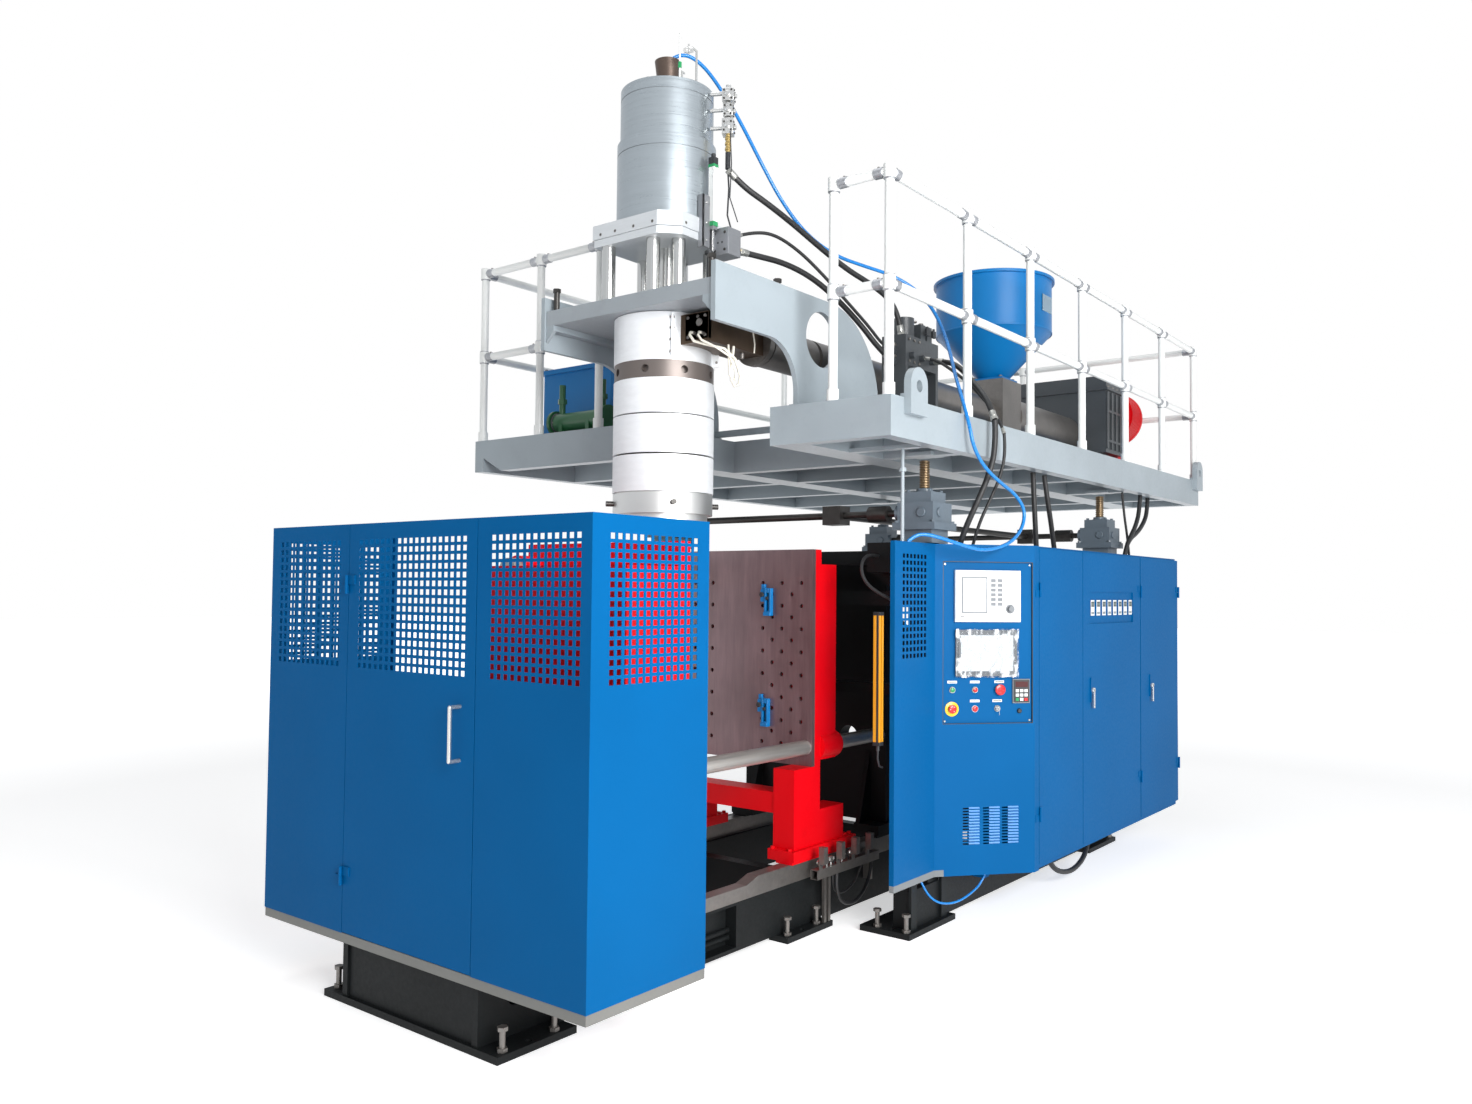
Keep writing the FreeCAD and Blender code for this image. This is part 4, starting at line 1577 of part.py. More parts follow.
def shot_cylinder():
    low = rod(SHOT_R, HEAD_X, 0, BLOCK_Z1, SHOT_STEP)
    high = rod(SHOT_R2, HEAD_X, 0, SHOT_STEP, SHOT_TOP)
    knob = Part.makeCone(CAP_R0, CAP_R1, CAP_TOP - SHOT_TOP, V(HEAD_X, 0, SHOT_TOP), Z_AXIS)
    solid = join(low, high, knob)
    solid = solid.cut(rod(SHOT_BORE, HEAD_X, 0, BLOCK_Z1 - 1, SHOT_SEAMS[1]))
    for z, r in zip(SHOT_SEAMS, (SHOT_R, SHOT_R2)):
        groove = rod(r + 1, HEAD_X, 0, z, z + TRAY_WALL).cut(rod(r - TRAY_WALL, HEAD_X, 0, z - 1,
                                                                 z + TRAY_WALL + 1))
        solid = solid.cut(groove)
    return solid.cut(rod(CORE_R + RUN_FIT, HEAD_X, 0, SHOT_SEAMS[1] - 1, CAP_TOP - RIB_T))


def head_body():
    parts = [rod(BODY_R, HEAD_X, 0, BODY_Z0, BODY_Z1), rod(RING_R, HEAD_X, 0, BODY_Z0, FLANGE_Z1),
             rod(RING_R, HEAD_X, 0, RING_Z[0], RING_Z[1]), rod(DIE_RING_R, HEAD_X, 0, DIE_RING_Z0, BODY_Z0)]
    solid = join(*parts)
    top = HEAD_PLATE_Z0 - BODY_Z1
    solid = join(solid, rod(BODY_R, HEAD_X, 0, BODY_Z1, BODY_Z1 + top))
    solid = solid.cut(rod(BODY_BORE, HEAD_X, 0, BODY_FLOOR, BODY_Z1))
    solid = solid.cut(rod(PISTON_ROD_R + RUN_FIT, HEAD_X, 0, BODY_Z1 - 1, HEAD_PLATE_Z0 + 1))
    solid = solid.cut(rod(DIE_R, HEAD_X, 0, DIE_RING_Z0 - 1, BODY_FLOOR + 1))
    for k in range(RING_HOLES):
        angle = math.radians(360 / RING_HOLES * k + RING_TURN)
        direction = V(math.cos(angle), math.sin(angle), 0)
        start = V(HEAD_X, 0, (RING_Z[0] + RING_Z[1]) / 2) + direction * (BODY_R - PLATE)
        solid = solid.cut(Part.makeCylinder(RING_HOLE_R, MULLION, start, direction))
    return solid.cut(melt_bore())


def melt_bore():
    """The melt passage: along the neck, then into the side of the head."""
    along = rod_x(BARREL_BORE, HEAD_X, NECK_X[1] + 1, EXT_Y, EXT_Z)
    across = rod_y(BARREL_BORE, HEAD_X, EXT_Y, -BODY_BORE + 1, EXT_Z)
    return join(along, across, Part.makeSphere(BARREL_BORE, V(HEAD_X, EXT_Y, EXT_Z)))


def heater_bands():
    bands = []
    for z0, z1 in BANDS:
        bands.append(rod(BAND_R, HEAD_X, 0, z0, z1).cut(rod(BODY_R, HEAD_X, 0, z0 - 1, z1 + 1)))
    z0, z1 = TOP_BAND
    sweep = 360 - (NECK_STOP - NECK_START)
    outer = Part.makeCylinder(BAND_R, z1 - z0, V(HEAD_X, 0, z0), Z_AXIS, sweep)
    band = outer.cut(rod(BODY_R, HEAD_X, 0, z0 - 1, z1 + 1))
    band.rotate(V(HEAD_X, 0, 0), Z_AXIS, NECK_STOP)
    bands.append(band)
    return group(bands)


def head_bolts():
    bolts = []
    middle = (DIE_R + DIE_RING_R) / 2 + PLATE
    for k in range(DIE_BOLTS):
        angle = math.radians(360 / DIE_BOLTS * k)
        x = HEAD_X + middle * math.cos(angle)
        bolts.append(hexagon(LEVEL_R, x, middle * math.sin(angle), DIE_RING_Z0 - LEVEL_R, DIE_RING_Z0))
    for k in range(ADJUST_BOLTS):
        angle = math.radians(360 / ADJUST_BOLTS * k + ADJUST_TURN)
        direction = V(math.cos(angle), math.sin(angle), 0)
        start = V(HEAD_X, 0, ADJUST_Z) + direction * RING_R
        bolts.append(Part.makeCylinder(ADJUST_R, ADJUST_OUT - RING_R, start, direction))
    for x in JACK_BOLT_X:
        for y in (-JACK_BOLT_Y, JACK_BOLT_Y):
            bolts.append(hex_bolt(JACK_BOLT_R, x, y, HEAD_PLATE_Z1, JACK_BOLT_TOP - PLATE, LEVEL_HEAD_R,
                                  PLATE))
    return group(bolts)


def melt_neck():
    block = box(NECK_X[0], NECK_X[1], NECK_Y[0], NECK_Y[1], NECK_Z[0], NECK_Z[1])
    block = block.cut(rod(BODY_R, HEAD_X, 0, NECK_Z[0] - 1, NECK_Z[1] + 1))
    block = block.cut(melt_bore())
    terminals = [rod_y(LEVEL_R, x, NECK_Y[0] - PLATE, NECK_Y[0], NECK_Z[1] - RIB_T)
                 for x in (NECK_X[1] - RIB_T, NECK_X[1] - RIB_T - MULLION)]
    return join(block, *terminals)


def shot_piston():
    disc = rod(SHOT_BORE - RUN_FIT, HEAD_X, 0, SHOT_DISC_Z[0], SHOT_DISC_Z[1])
    stem = rod(PISTON_ROD_R, HEAD_X, 0, PLUNGER_Z[0], SHOT_DISC_Z[0])
    plunger = rod(BODY_BORE - RUN_FIT, HEAD_X, 0, PLUNGER_Z[0], PLUNGER_Z[1])
    bore = rod(CORE_R + RUN_FIT, HEAD_X, 0, PLUNGER_Z[0] - 1, SHOT_DISC_Z[1] + 1)
    return join(disc, stem, plunger).cut(bore)


def die_mandrel():
    stem = rod(CORE_R, HEAD_X, 0, BODY_FLOOR, CAP_TOP - RIB_T - MANDREL_TRAVEL - FACE_GAP)
    cone = Part.makeCone(DIE_R - PLATE, CORE_R, BODY_FLOOR - BODY_Z0, V(HEAD_X, 0, BODY_Z0), Z_AXIS)
    tip = rod(DIE_R - PLATE, HEAD_X, 0, DIE_RING_Z0, BODY_Z0)
    return join(stem, cone, tip)


# ---------------------------------------------------------------- extruder
def extruder_barrel():
    barrel = rod_x(BARREL_R, NECK_X[1], BARREL_X1, EXT_Y, EXT_Z)
    flange = rod_x(BARREL_FLANGE_R - PLATE, NECK_X[1], NECK_X[1] + BARREL_FLANGE_T, EXT_Y, EXT_Z)
    pitch = (BARREL_X1 - NECK_X[1] - POST) / EXT_BANDS
    bands = []
    for k in range(EXT_BANDS):
        x0 = NECK_X[1] + POST / 2 + pitch * k
        bands.append(rod_x(EXT_BAND_R, x0, x0 + pitch - RIB_T, EXT_Y, EXT_Z))
    feed = box(BARREL_X1, FEED_X1, EXT_Y - FEED_HALF, EXT_Y + FEED_HALF, EXT_BASE_TOP, FEED_Z[1])
    lantern = rod_x(LANTERN_R, FEED_X1, LANTERN_X1, EXT_Y, EXT_Z)
    cradle = box(FEED_X1, EXT_BASE_X[1], EXT_Y - LANTERN_R / 2, EXT_Y + LANTERN_R / 2, EXT_BASE_TOP, EXT_Z)
    solid = join(barrel, flange, *bands, feed, lantern, cradle)
    solid = solid.cut(rod_x(BARREL_BORE, NECK_X[1] - 1, LANTERN_X1 + 1, EXT_Y, EXT_Z))
    throat = rod(HOPPER_NECK_R - PLATE, HOPPER_X, EXT_Y, EXT_Z, FEED_Z[1] + 1)
    return solid.cut(throat)


def extruder_screw():
    body = rod_x(SCREW_R, NECK_X[1] + RIB_T, FEED_X1, EXT_Y, EXT_Z)
    shaft = rod_x(SCREW_SHAFT_R, FEED_X1, LANTERN_X1 + POST, EXT_Y, EXT_Z)
    tip = Part.makeCone(SCREW_TIP_R, SCREW_R, RIB_T, V(NECK_X[1], EXT_Y, EXT_Z), X_AXIS)
    return join(tip, body, shaft)


def extruder_base():
    base = box(EXT_BASE_X[0], EXT_BASE_X[1], EXT_Y - EXT_BASE_HALF, EXT_Y + EXT_BASE_HALF, PLAT_TOP,
               EXT_BASE_TOP)
    inner = EXT_BASE_HALF - SHEET * 2
    hollow = box(EXT_BASE_X[0] + SHEET * 2, EXT_BASE_X[1] - SHEET * 2, EXT_Y - inner, EXT_Y + inner,
                 PLAT_TOP - 1,
                 EXT_BASE_TOP - PLATE)
    return base.cut(hollow)


def gearbox():
    body = box(GEAR_X[0], GEAR_X[1], GEAR_Y[0], GEAR_Y[1], GEAR_Z[0], GEAR_Z[1])
    plinth = box(GEAR_X[0], GEAR_X[1], GEAR_Y[0] + POST, GEAR_Y[1] - POST, PLAT_TOP, GEAR_Z[0])
    lid = box(GEAR_X[0] - PLATE, GEAR_X[1], GEAR_Y[0] - PLATE, GEAR_Y[1] + PLATE, GEAR_Z[1] - POST,
              GEAR_Z[1] - POST + PLATE)
    solid = join(body, plinth, lid)
    return solid.cut(rod_x(SCREW_SHAFT_R + RUN_FIT, GEAR_X[0] - 1, GEAR_X[0] + POST + FACE_GAP, EXT_Y, EXT_Z))


def drive_motor():
    body = rod_x(MOTOR_R, GEAR_X[1], MOTOR_X1, MOTOR_Y, MOTOR_Z)
    fins = [rod_x(MOTOR_R + PLATE, GEAR_X[1] + RIB_T * (k + 2), GEAR_X[1] + RIB_T * (k + 2) + PLATE,
                  MOTOR_Y, MOTOR_Z)
            for k in range(MOTOR_FINS)]
    stand = box(GEAR_X[1] + RIB_T, MOTOR_X1 - RIB_T, MOTOR_Y - MOTOR_R / 2, MOTOR_Y + MOTOR_R / 2,
                PLAT_TOP, MOTOR_Z)
    terminal = box(GEAR_X[1] + POST, MOTOR_X1 - POST / 2, MOTOR_Y - MOTOR_R / 2, MOTOR_Y + MOTOR_R / 2,
                   MOTOR_Z,
                   MOTOR_Z + MOTOR_R + MULLION)
    return join(body, *fins, stand, terminal)


def hopper():
    wall = SHEET
    outer = [rod(HOPPER_R, HOPPER_X, EXT_Y, HOPPER_CONE_TOP, HOPPER_TOP),
             Part.makeCone(HOPPER_NECK_R, HOPPER_R, HOPPER_CONE_TOP - HOPPER_NECK_Z, V(HOPPER_X, EXT_Y,
                                                                                       HOPPER_NECK_Z),
                           Z_AXIS)]
    inner = [rod(HOPPER_R - wall, HOPPER_X, EXT_Y, HOPPER_CONE_TOP, HOPPER_TOP + 1),
             Part.makeCone(HOPPER_NECK_R - wall, HOPPER_R - wall, HOPPER_CONE_TOP - HOPPER_NECK_Z,
                           V(HOPPER_X, EXT_Y, HOPPER_NECK_Z), Z_AXIS)]
    half = HOPPER_FLANGE / 2
    flange = box(HOPPER_X - half, HOPPER_X + half, EXT_Y - half, EXT_Y + half, FEED_Z[1], HOPPER_NECK_Z)
    solid = join(*outer, flange)
    solid = solid.cut(inner[0]).cut(inner[1])
    rim = rod(HOPPER_R + PLATE, HOPPER_X, EXT_Y, HOPPER_TOP - PLATE, HOPPER_TOP).cut(
        rod(HOPPER_R, HOPPER_X, EXT_Y, HOPPER_TOP - PLATE - 1, HOPPER_TOP + 1))
    return join(solid, rim).cut(rod(HOPPER_NECK_R - PLATE, HOPPER_X, EXT_Y, FEED_Z[1] - 1, HOPPER_NECK_Z + 1))


# ---------------------------------------------------------------- hydraulics and instruments
def oil_tank():
    body = box(TANK_X[0], TANK_X[1], TANK_Y[0], TANK_Y[1], PLAT_TOP, TANK_TOP)
    rim = box(TANK_X[0] - TANK_RIM, TANK_X[1] + TANK_RIM, TANK_Y[0] - TANK_RIM, TANK_Y[1] + TANK_RIM,
              TANK_TOP - TANK_RIM, TANK_TOP)
    filler = rod(POST / 2, TANK_X[0] + POST, TANK_Y[0] + POST, TANK_TOP, TANK_TOP + POST)
    gauge = box(TANK_X[0] - PLATE, TANK_X[0], TANK_Y[0] + POST, TANK_Y[0] + POST + RIB_T, PLAT_TOP + POST,
                TANK_TOP - POST)
    inner = box(TANK_X[0] + SHEET, TANK_X[1] - SHEET, TANK_Y[0] + SHEET, TANK_Y[1] - SHEET, PLAT_TOP + SHEET,
                TANK_TOP - SHEET)
    return join(body, rim, filler, gauge).cut(inner)


def oil_cooler():
    shell = rod_y(COOLER_R, COOLER_X, COOLER_Y[0], COOLER_Y[1], COOLER_Z)
    ends = [rod_y(COOLER_R + PLATE, COOLER_X, y, y + PLATE, COOLER_Z)
            for y in (COOLER_Y[0], COOLER_Y[1] - PLATE)]
    saddles = [box(COOLER_X - COOLER_R, COOLER_X + COOLER_R, y, y + RIB_T, PLAT_TOP, COOLER_Z)
               for y in (COOLER_Y[0] + POST, COOLER_Y[1] - POST)]
    pipes = []
    for y in (COOLER_Y[0] + MULLION, COOLER_Y[1] - MULLION):
        pipes.append(rod(PLATE, COOLER_X, y, COOLER_Z, COOLER_Z + POST * 2))
        pipes.append(hexagon(RIB_T, COOLER_X, y, COOLER_Z + POST, COOLER_Z + POST + RIB_T))
    return join(shell, *ends, *saddles, *pipes)


def valve_block():
    x0, x1 = VALVE_X
    y0, y1 = VALVE_Y
    legs = [box(x, x + RIB_T, y0, y1, PLAT_TOP, VALVE_STAND_TOP) for x in (x0, x1 - RIB_T)]
    block = box(x0, x1, y0, y1, VALVE_STAND_TOP, VALVE_BLOCK_TOP)
    cartridge = rod(POST / 2, x0 + POST, (y0 + y1) / 2, VALVE_BLOCK_TOP, VALVE_TOP)
    coils = [box(left, right, y0 + PLATE, y1 - PLATE, VALVE_BLOCK_TOP, VALVE_TOP - PLATE)
             for left, right in VALVE_COIL_X]
    ports = [rod_y(PLATE, x0 + MULLION + POST * k, y0 - RIB_T, y0, VALVE_STAND_TOP + MULLION)
             for k in range(VALVE_PORTS)]
    ends = [hexagon_x(RIB_T, x0 - PLATE * 2, x0, (y0 + y1) / 2, VALVE_STAND_TOP + RIB_T + MULLION * k)
            for k in (0, 1)]
    return join(block, cartridge, *legs, *coils, *ports, *ends)


def head_instruments():
    """Position transducer, small manifold and valve stack beside the shot cylinder."""
    tx, ty = TRANSDUCER
    half = TRANSDUCER_W / 2
    body = box(tx - half, tx + half, ty - half, ty + half, TRANSDUCER_Z[0], TRANSDUCER_Z[1])
    rail = box(HEAD_X - half, tx, ty, -SHOT_R + PLATE, BLOCK_Z1, TRANSDUCER_Z[1] - POST)
    rail = rail.cut(rod(SHOT_R, HEAD_X, 0, BLOCK_Z1 - 1, SHOT_TOP))
    foot = box(tx - half, tx + half, ty - half, -BLOCK_HALF, TRANSDUCER_Z[0], BLOCK_Z1)
    manifold = box(MANIFOLD_X[0], MANIFOLD_X[1], MANIFOLD_Y[0], MANIFOLD_Y[1], MANIFOLD_Z[0], MANIFOLD_Z[1])
    middle_y = (MANIFOLD_Y[0] + MANIFOLD_Y[1]) / 2
    fitting = hexagon_x(RIB_T, MANIFOLD_X[1], MANIFOLD_X[1] + MULLION, middle_y, MANIFOLD_Z[0] + MULLION)
    cx, cy = CLUSTER
    reach = math.hypot(cx - HEAD_X, cy)
    direction = V((cx - HEAD_X) / reach, cy / reach, 0)
    arms = []
    blocks = []
    for z0, z1 in CLUSTER_BLOCKS:
        start = V(HEAD_X, 0, (z0 + z1) / 2) + direction * (SHOT_R2 - PLATE)
        arms.append(Part.makeCylinder(CLUSTER_ARM_R, reach - SHOT_R2 + PLATE, start, direction))
        blocks.append(box(cx - CLUSTER_HALF, cx + CLUSTER_HALF, cy - CLUSTER_HALF, cy + CLUSTER_HALF, z0, z1))
    tube = rod(CLUSTER_TUBE_R, cx, cy, CLUSTER_Z[0], CLUSTER_Z[1])
    nuts = [hexagon(RIB_T, cx, cy, CLUSTER_Z[0] + POST * k, CLUSTER_Z[0] + POST * k + PLATE) for k in (0, 1)]
    shot = rod(SHOT_R, HEAD_X, 0, BLOCK_Z1, SHOT_STEP).fuse(rod(SHOT_R2, HEAD_X, 0, SHOT_STEP, SHOT_TOP))
    upper = join(tube, *blocks, *arms, *nuts).cut(shot)
    lower = join(body, rail, foot, manifold, fitting).cut(shot)
    return group([lower, upper])


# ---------------------------------------------------------------- hoses
def faced_hose(route, r, start_face, end_face):
    """A hose trimmed flush with the faces that its ends meet. A face is given as the way into it."""
    tube = hose(route, r)
    size = END_BLOCK * r
    for point, face in ((route[0], start_face), (route[-1], end_face)):
        if face is not None:
            corner = V(*point) + face * (size / 2) - V(size / 2, size / 2, size / 2)
            tube = tube.cut(Part.makeBox(size, size, size, corner))
    return max(tube.Solids, key=lambda solid: solid.Volume)


def upper_hoses():
    tubes = [faced_hose(AIR_UPPER, AIR_TUBE_R, -Z_AXIS, -Z_AXIS)]
    for (route, r), (start_face, end_face) in zip(UPPER_ROUTES, UPPER_FACES):
        tubes.append(faced_hose(route, r, start_face, end_face))
    return group(tubes)


def lift_hoses():
    """The stretches that hang between the platform and the cabinet."""
    routes = ((AIR_LOWER, AIR_TUBE_R), *HANGING_ROUTES)
    return group([faced_hose(route, r, Z_AXIS, -Z_AXIS) for route, r in routes])


def lower_hoses():
    first, r = LOWER_ROUTES[0]
    tubes = [faced_hose(first, r, X_AXIS, None)]
    tubes.extend(faced_hose(route, r, Z_AXIS, Z_AXIS) for route, r in LOWER_ROUTES[1:])
    return group(tubes)


# ---------------------------------------------------------------- all nodes
def main():
    os.makedirs("parts", exist_ok=True)
    for make in (clamp_base, machine_frame, leveling_bolts, guide_rails, guard_frame, guard_panels, guard_door,
                 door_handle, front_platen, tie_bars, crosshead, clamp_cylinder, rear_platen,
                 mould_plate, mould_clamps, piston_rod, switch_tray, light_curtain, cabinet_shell,
                 control_housing, operator_screens, start_button, stop_button, mushroom_button,
                 emergency_stop, key_switch, program_knob, jack_housings, jack_screws, drive_shafts,
                 platform_frame, railing, head_brackets, head_plate, cylinder_block, shot_cylinder,
                 head_body, heater_bands, head_bolts, melt_neck, shot_piston, die_mandrel,
                 extruder_barrel, extruder_screw, extruder_base, gearbox, drive_motor, hopper,
                 oil_tank, oil_cooler, valve_block, head_instruments, upper_hoses, lift_hoses,
                 lower_hoses):
        save(make.__name__, make())
    left, middle, right = cabinet_doors()
    save("cabinet_door_left", left)
    save("cabinet_door_middle", middle)
    save("cabinet_door_right", right)
    save("lock_handle_middle", lock_handle(LOCK_B))
    save("lock_handle_right", lock_handle(LOCK_C))


main()
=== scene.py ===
"""Dresses the blow moulding machine: camera, light, floor, hoses, materials and small fittings."""
import itertools
import json
import math
import random

import bmesh
import bpy
from mathutils import Matrix, Vector


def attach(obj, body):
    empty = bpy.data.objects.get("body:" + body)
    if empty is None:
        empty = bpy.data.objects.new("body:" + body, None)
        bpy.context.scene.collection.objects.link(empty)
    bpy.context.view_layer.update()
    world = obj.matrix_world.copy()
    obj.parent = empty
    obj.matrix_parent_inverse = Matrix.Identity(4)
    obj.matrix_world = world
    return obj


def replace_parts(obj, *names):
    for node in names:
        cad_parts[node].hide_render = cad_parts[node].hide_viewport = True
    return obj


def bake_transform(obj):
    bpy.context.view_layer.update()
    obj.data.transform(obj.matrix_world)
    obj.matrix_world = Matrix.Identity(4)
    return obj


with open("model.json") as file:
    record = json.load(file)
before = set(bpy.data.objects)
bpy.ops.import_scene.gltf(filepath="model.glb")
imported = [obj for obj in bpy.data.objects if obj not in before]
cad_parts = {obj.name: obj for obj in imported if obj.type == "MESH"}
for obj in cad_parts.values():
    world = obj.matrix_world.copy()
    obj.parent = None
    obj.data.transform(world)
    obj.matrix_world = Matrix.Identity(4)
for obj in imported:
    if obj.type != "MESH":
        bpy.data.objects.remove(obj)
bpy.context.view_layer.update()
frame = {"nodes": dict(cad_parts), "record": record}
NODES = frame["nodes"]
scene = bpy.context.scene
random.seed(7)


# ---------------------------------------------------------------- camera
def make_camera():
    """The photograph's view: 1472 x 1104, about 66 degrees wide, from the front right."""
    data = bpy.data.cameras.new("camera")
    data.sensor_width = 36.0
    data.lens = 36.0 * 1116.4 / 1472
    data.clip_start = 0.05
    data.clip_end = 200.0
    camera = bpy.data.objects.new("camera", data)
    scene.collection.objects.link(camera)
    right = Vector((0.6155014, -0.78807741, 0.00959308))
    up = Vector((-0.03395701, -0.01435649, 0.99932018))
    ahead = Vector((0.78740393, 0.61540872, 0.03559719))
    camera.matrix_world = Matrix((
        (right.x, up.x, -ahead.x, -3.96),
        (right.y, up.y, -ahead.y, -3.918),
        (right.z, up.z, -ahead.z, 1.8),
        (0.0, 0.0, 0.0, 1.0)))
    scene.camera = camera


make_camera()


# ---------------------------------------------------------------- materials
BLUE = (0, 86, 142)
BLACK = (29, 32, 33)
LOOKS = {}


def linear(colour):
    """An sRGB colour, 0 to 255, as Blender's linear colour."""
    parts = [v / 255 for v in colour]
    return (*(v / 12.92 if v <= 0.04045 else ((v + 0.055) / 1.055) ** 2.4 for v in parts), 1.0)


def shade(colour, k):
    """The linear colour made k times as bright."""
    return (*(min(1.0, c * k) for c in colour[:3]), 1.0)


class Tree:
    """Adds linked nodes to the tree of a material or a world."""

    def __init__(self, owner):
        owner.use_nodes = True
        self.nodes = owner.node_tree.nodes
        self.links = owner.node_tree.links

    def put(self, node, inputs):
        """Links each socket to the node's input of that name, and sets the plain values."""
        for key, value in inputs.items():
            if isinstance(value, bpy.types.NodeSocket):
                self.links.new(value, node.inputs[key])
            else:
                node.inputs[key].default_value = value

    def add(self, kind, inputs=None, **settings):
        node = self.nodes.new(kind)
        for key, value in settings.items():
            setattr(node, key, value)
        self.put(node, inputs or {})
        return node

    def ramp(self, value, low, high, out_low=0.0, out_high=1.0):
        return self.add("ShaderNodeMapRange", {
            "Value": value, "From Min": low, "From Max": high,
            "To Min": out_low, "To Max": out_high}).outputs["Result"]

    def maths(self, operation, a, b):
        return self.add("ShaderNodeMath", {0: a, 1: b}, operation=operation).outputs[0]


class Look(Tree):
    """One material, kept in LOOKS under its name."""

    def __init__(self, name):
        LOOKS[name] = bpy.data.materials.new(name)
        super().__init__(LOOKS[name])
        self.bsdf = self.nodes["Principled BSDF"]
        self.coords = self.add("ShaderNodeTexCoord").outputs["Object"]

    def surface(self, inputs):
        self.put(self.bsdf, inputs)

    def noise(self, scale, stretch=(1, 1, 1), detail=3.0, rough=0.55):
        mapped = self.add("ShaderNodeMapping", {"Vector": self.coords, "Scale": stretch}).outputs[0]
        return self.add("ShaderNodeTexNoise", {
            "Vector": mapped, "Scale": scale, "Detail": detail, "Roughness": rough}).outputs["Fac"]

    def mix(self, factor, a, b):
        return self.add("ShaderNodeMix", {0: factor, 6: a, 7: b}, data_type="RGBA").outputs[2]

    def inside(self, low, high, right):
        """1 where Z lies from low to high and X is under right, in metres. None leaves a side open."""
        split = self.add("ShaderNodeSeparateXYZ", {0: self.coords})
        mask = None
        for axis, test, limit in ((0, "LESS_THAN", right), (2, "GREATER_THAN", low),
                                  (2, "LESS_THAN", high)):
            if limit is not None:
                part = self.maths(test, split.outputs[axis], limit)
                mask = part if mask is None else self.maths("MULTIPLY", mask, part)
        return mask

    def finish(self, base, rough, metal, zones):
        """Sets the surface. Each zone (low, high, right, colour, roughness, metalness) is laid over."""
        for low, high, right, colour, zone_rough, zone_metal in zones:
            mask = self.inside(low, high, right)
            base = self.mix(mask, base, linear(colour))
            rough, metal = (
                self.add("ShaderNodeMix", {0: mask, 2: under, 3: over}, data_type="FLOAT").outputs[0]
                for under, over in ((rough, zone_rough), (metal, zone_metal)))
        self.surface({"Base Color": base, "Roughness": rough, "Metallic": metal})

    def bump(self, height, strength, distance):
        node = self.add("ShaderNodeBump", {"Height": height, "Strength": strength, "Distance": distance})
        self.surface({"Normal": node.outputs[0]})


def paint(name, colour, rough, vary, coat=0.0, peel=0.06, grime=0.0, gloss=0.5, bright=1.0, zones=()):
    """Paint or plastic with slow colour drift, uneven gloss, some grime and a slight orange peel."""
    g = Look(name)
    tone = shade(linear(colour), bright)
    drift = g.noise(1.7, detail=2.0)
    fine = g.noise(60.0, detail=4.0)
    base = g.mix(g.ramp(drift, 0.3, 0.7), shade(tone, 1 - vary), shade(tone, 1 + vary))
    if grime:
        dirt = g.ramp(g.noise(9.0, detail=6.0, rough=0.7), 0.52, 0.72, 0.0, grime)
        base = g.mix(dirt, base, shade(tone, 0.35))
    g.finish(base, g.ramp(fine, 0.3, 0.7, max(0.02, rough - 0.05), min(1.0, rough + 0.07)), 0.0, zones)
    g.surface({"Coat Weight": coat, "Coat Roughness": 0.08, "Specular IOR Level": gloss})
    g.bump(g.noise(420.0, detail=1.0), peel, 0.0006)


def brushed(name, colour, rough, stretch, scale, depth=0.12, vary=0.14, stain=0.0, metal=0.8, zones=()):
    """Turned or ground metal: fine lines across the stretched axis."""
    g = Look(name)
    tone = linear(colour)
    lines = g.noise(scale, stretch, detail=6.0, rough=0.7)
    cloud = g.noise(2.2, detail=3.0)
    base = g.mix(g.ramp(lines, 0.3, 0.7), shade(tone, 1 - vary), shade(tone, 1 + vary))
    if stain:
        base = g.mix(g.ramp(cloud, 0.42, 0.68, 0.0, stain), base, shade(tone, 0.4))
    g.finish(base, g.ramp(lines, 0.25, 0.75, max(0.03, rough - 0.07), rough + 0.1), metal, zones)
    g.bump(lines, depth, 0.0004)


def glow(name, colour, strength):
    """A surface that glows with its own colour; on the operator panel's screen this glow is painted glare."""
    g = Look(name)
    tone = linear(colour)
    g.surface({"Base Color": tone, "Roughness": g.ramp(g.noise(30.0), 0.3, 0.7, 0.25, 0.4),
               "Emission Color": tone, "Emission Strength": strength})


def film():
    """Clear protective film: its creases are painted near white and more opaque as glints of light, over an
    almost unseen sheet.
    """
    g = Look("film")
    glint_crease = g.ramp(g.noise(26.0, (1.0, 1.0, 0.45), detail=3.0, rough=0.6), 0.46, 0.6)
    g.surface({"Base Color": g.mix(glint_crease, linear((92, 98, 104)), linear((246, 250, 252))),
               "Alpha": g.ramp(glint_crease, 0.0, 1.0, 0.28, 0.85),
               "Roughness": g.ramp(glint_crease, 0.0, 1.0, 0.1, 0.3)})


paint("blue_sheet", BLUE, 0.5, 0.04, peel=0.1, gloss=0.05)
paint("housing_blue", BLUE, 0.45, 0.04, peel=0.1, gloss=0.08, zones=(
    (None, 0.302, 1.56, (126, 130, 132), 0.45, 0.0), (None, 0.2665, None, BLACK, 0.4, 0.0)))
paint("blue_part", (1, 112, 178), 0.34, 0.05, peel=0.08, gloss=0.4)
# painted highlight: the louvre lips are of the housing's blue sheet, made paler where light falls on them
paint("painted_highlight_blue", (96, 150, 214), 0.3, 0.04, coat=0.3)
paint("red_part", (216, 2, 16), 0.42, 0.06, peel=0.12, grime=0.1, gloss=0.2)
paint("black_weldment", BLACK, 0.5, 0.25, peel=0.2, grime=0.3, gloss=0.15, bright=0.6)
paint("grey_paint", (150, 160, 166), 0.4, 0.08, coat=0.15, peel=0.12, grime=0.08)
paint("dark_paint", (62, 66, 69), 0.42, 0.12, coat=0.1, peel=0.18, grime=0.15)
paint("jack_grey", (92, 104, 114), 0.4, 0.06, coat=0.1, peel=0.12, grime=0.1)
paint("grey_tube", (112, 112, 108), 0.45, 0.1)
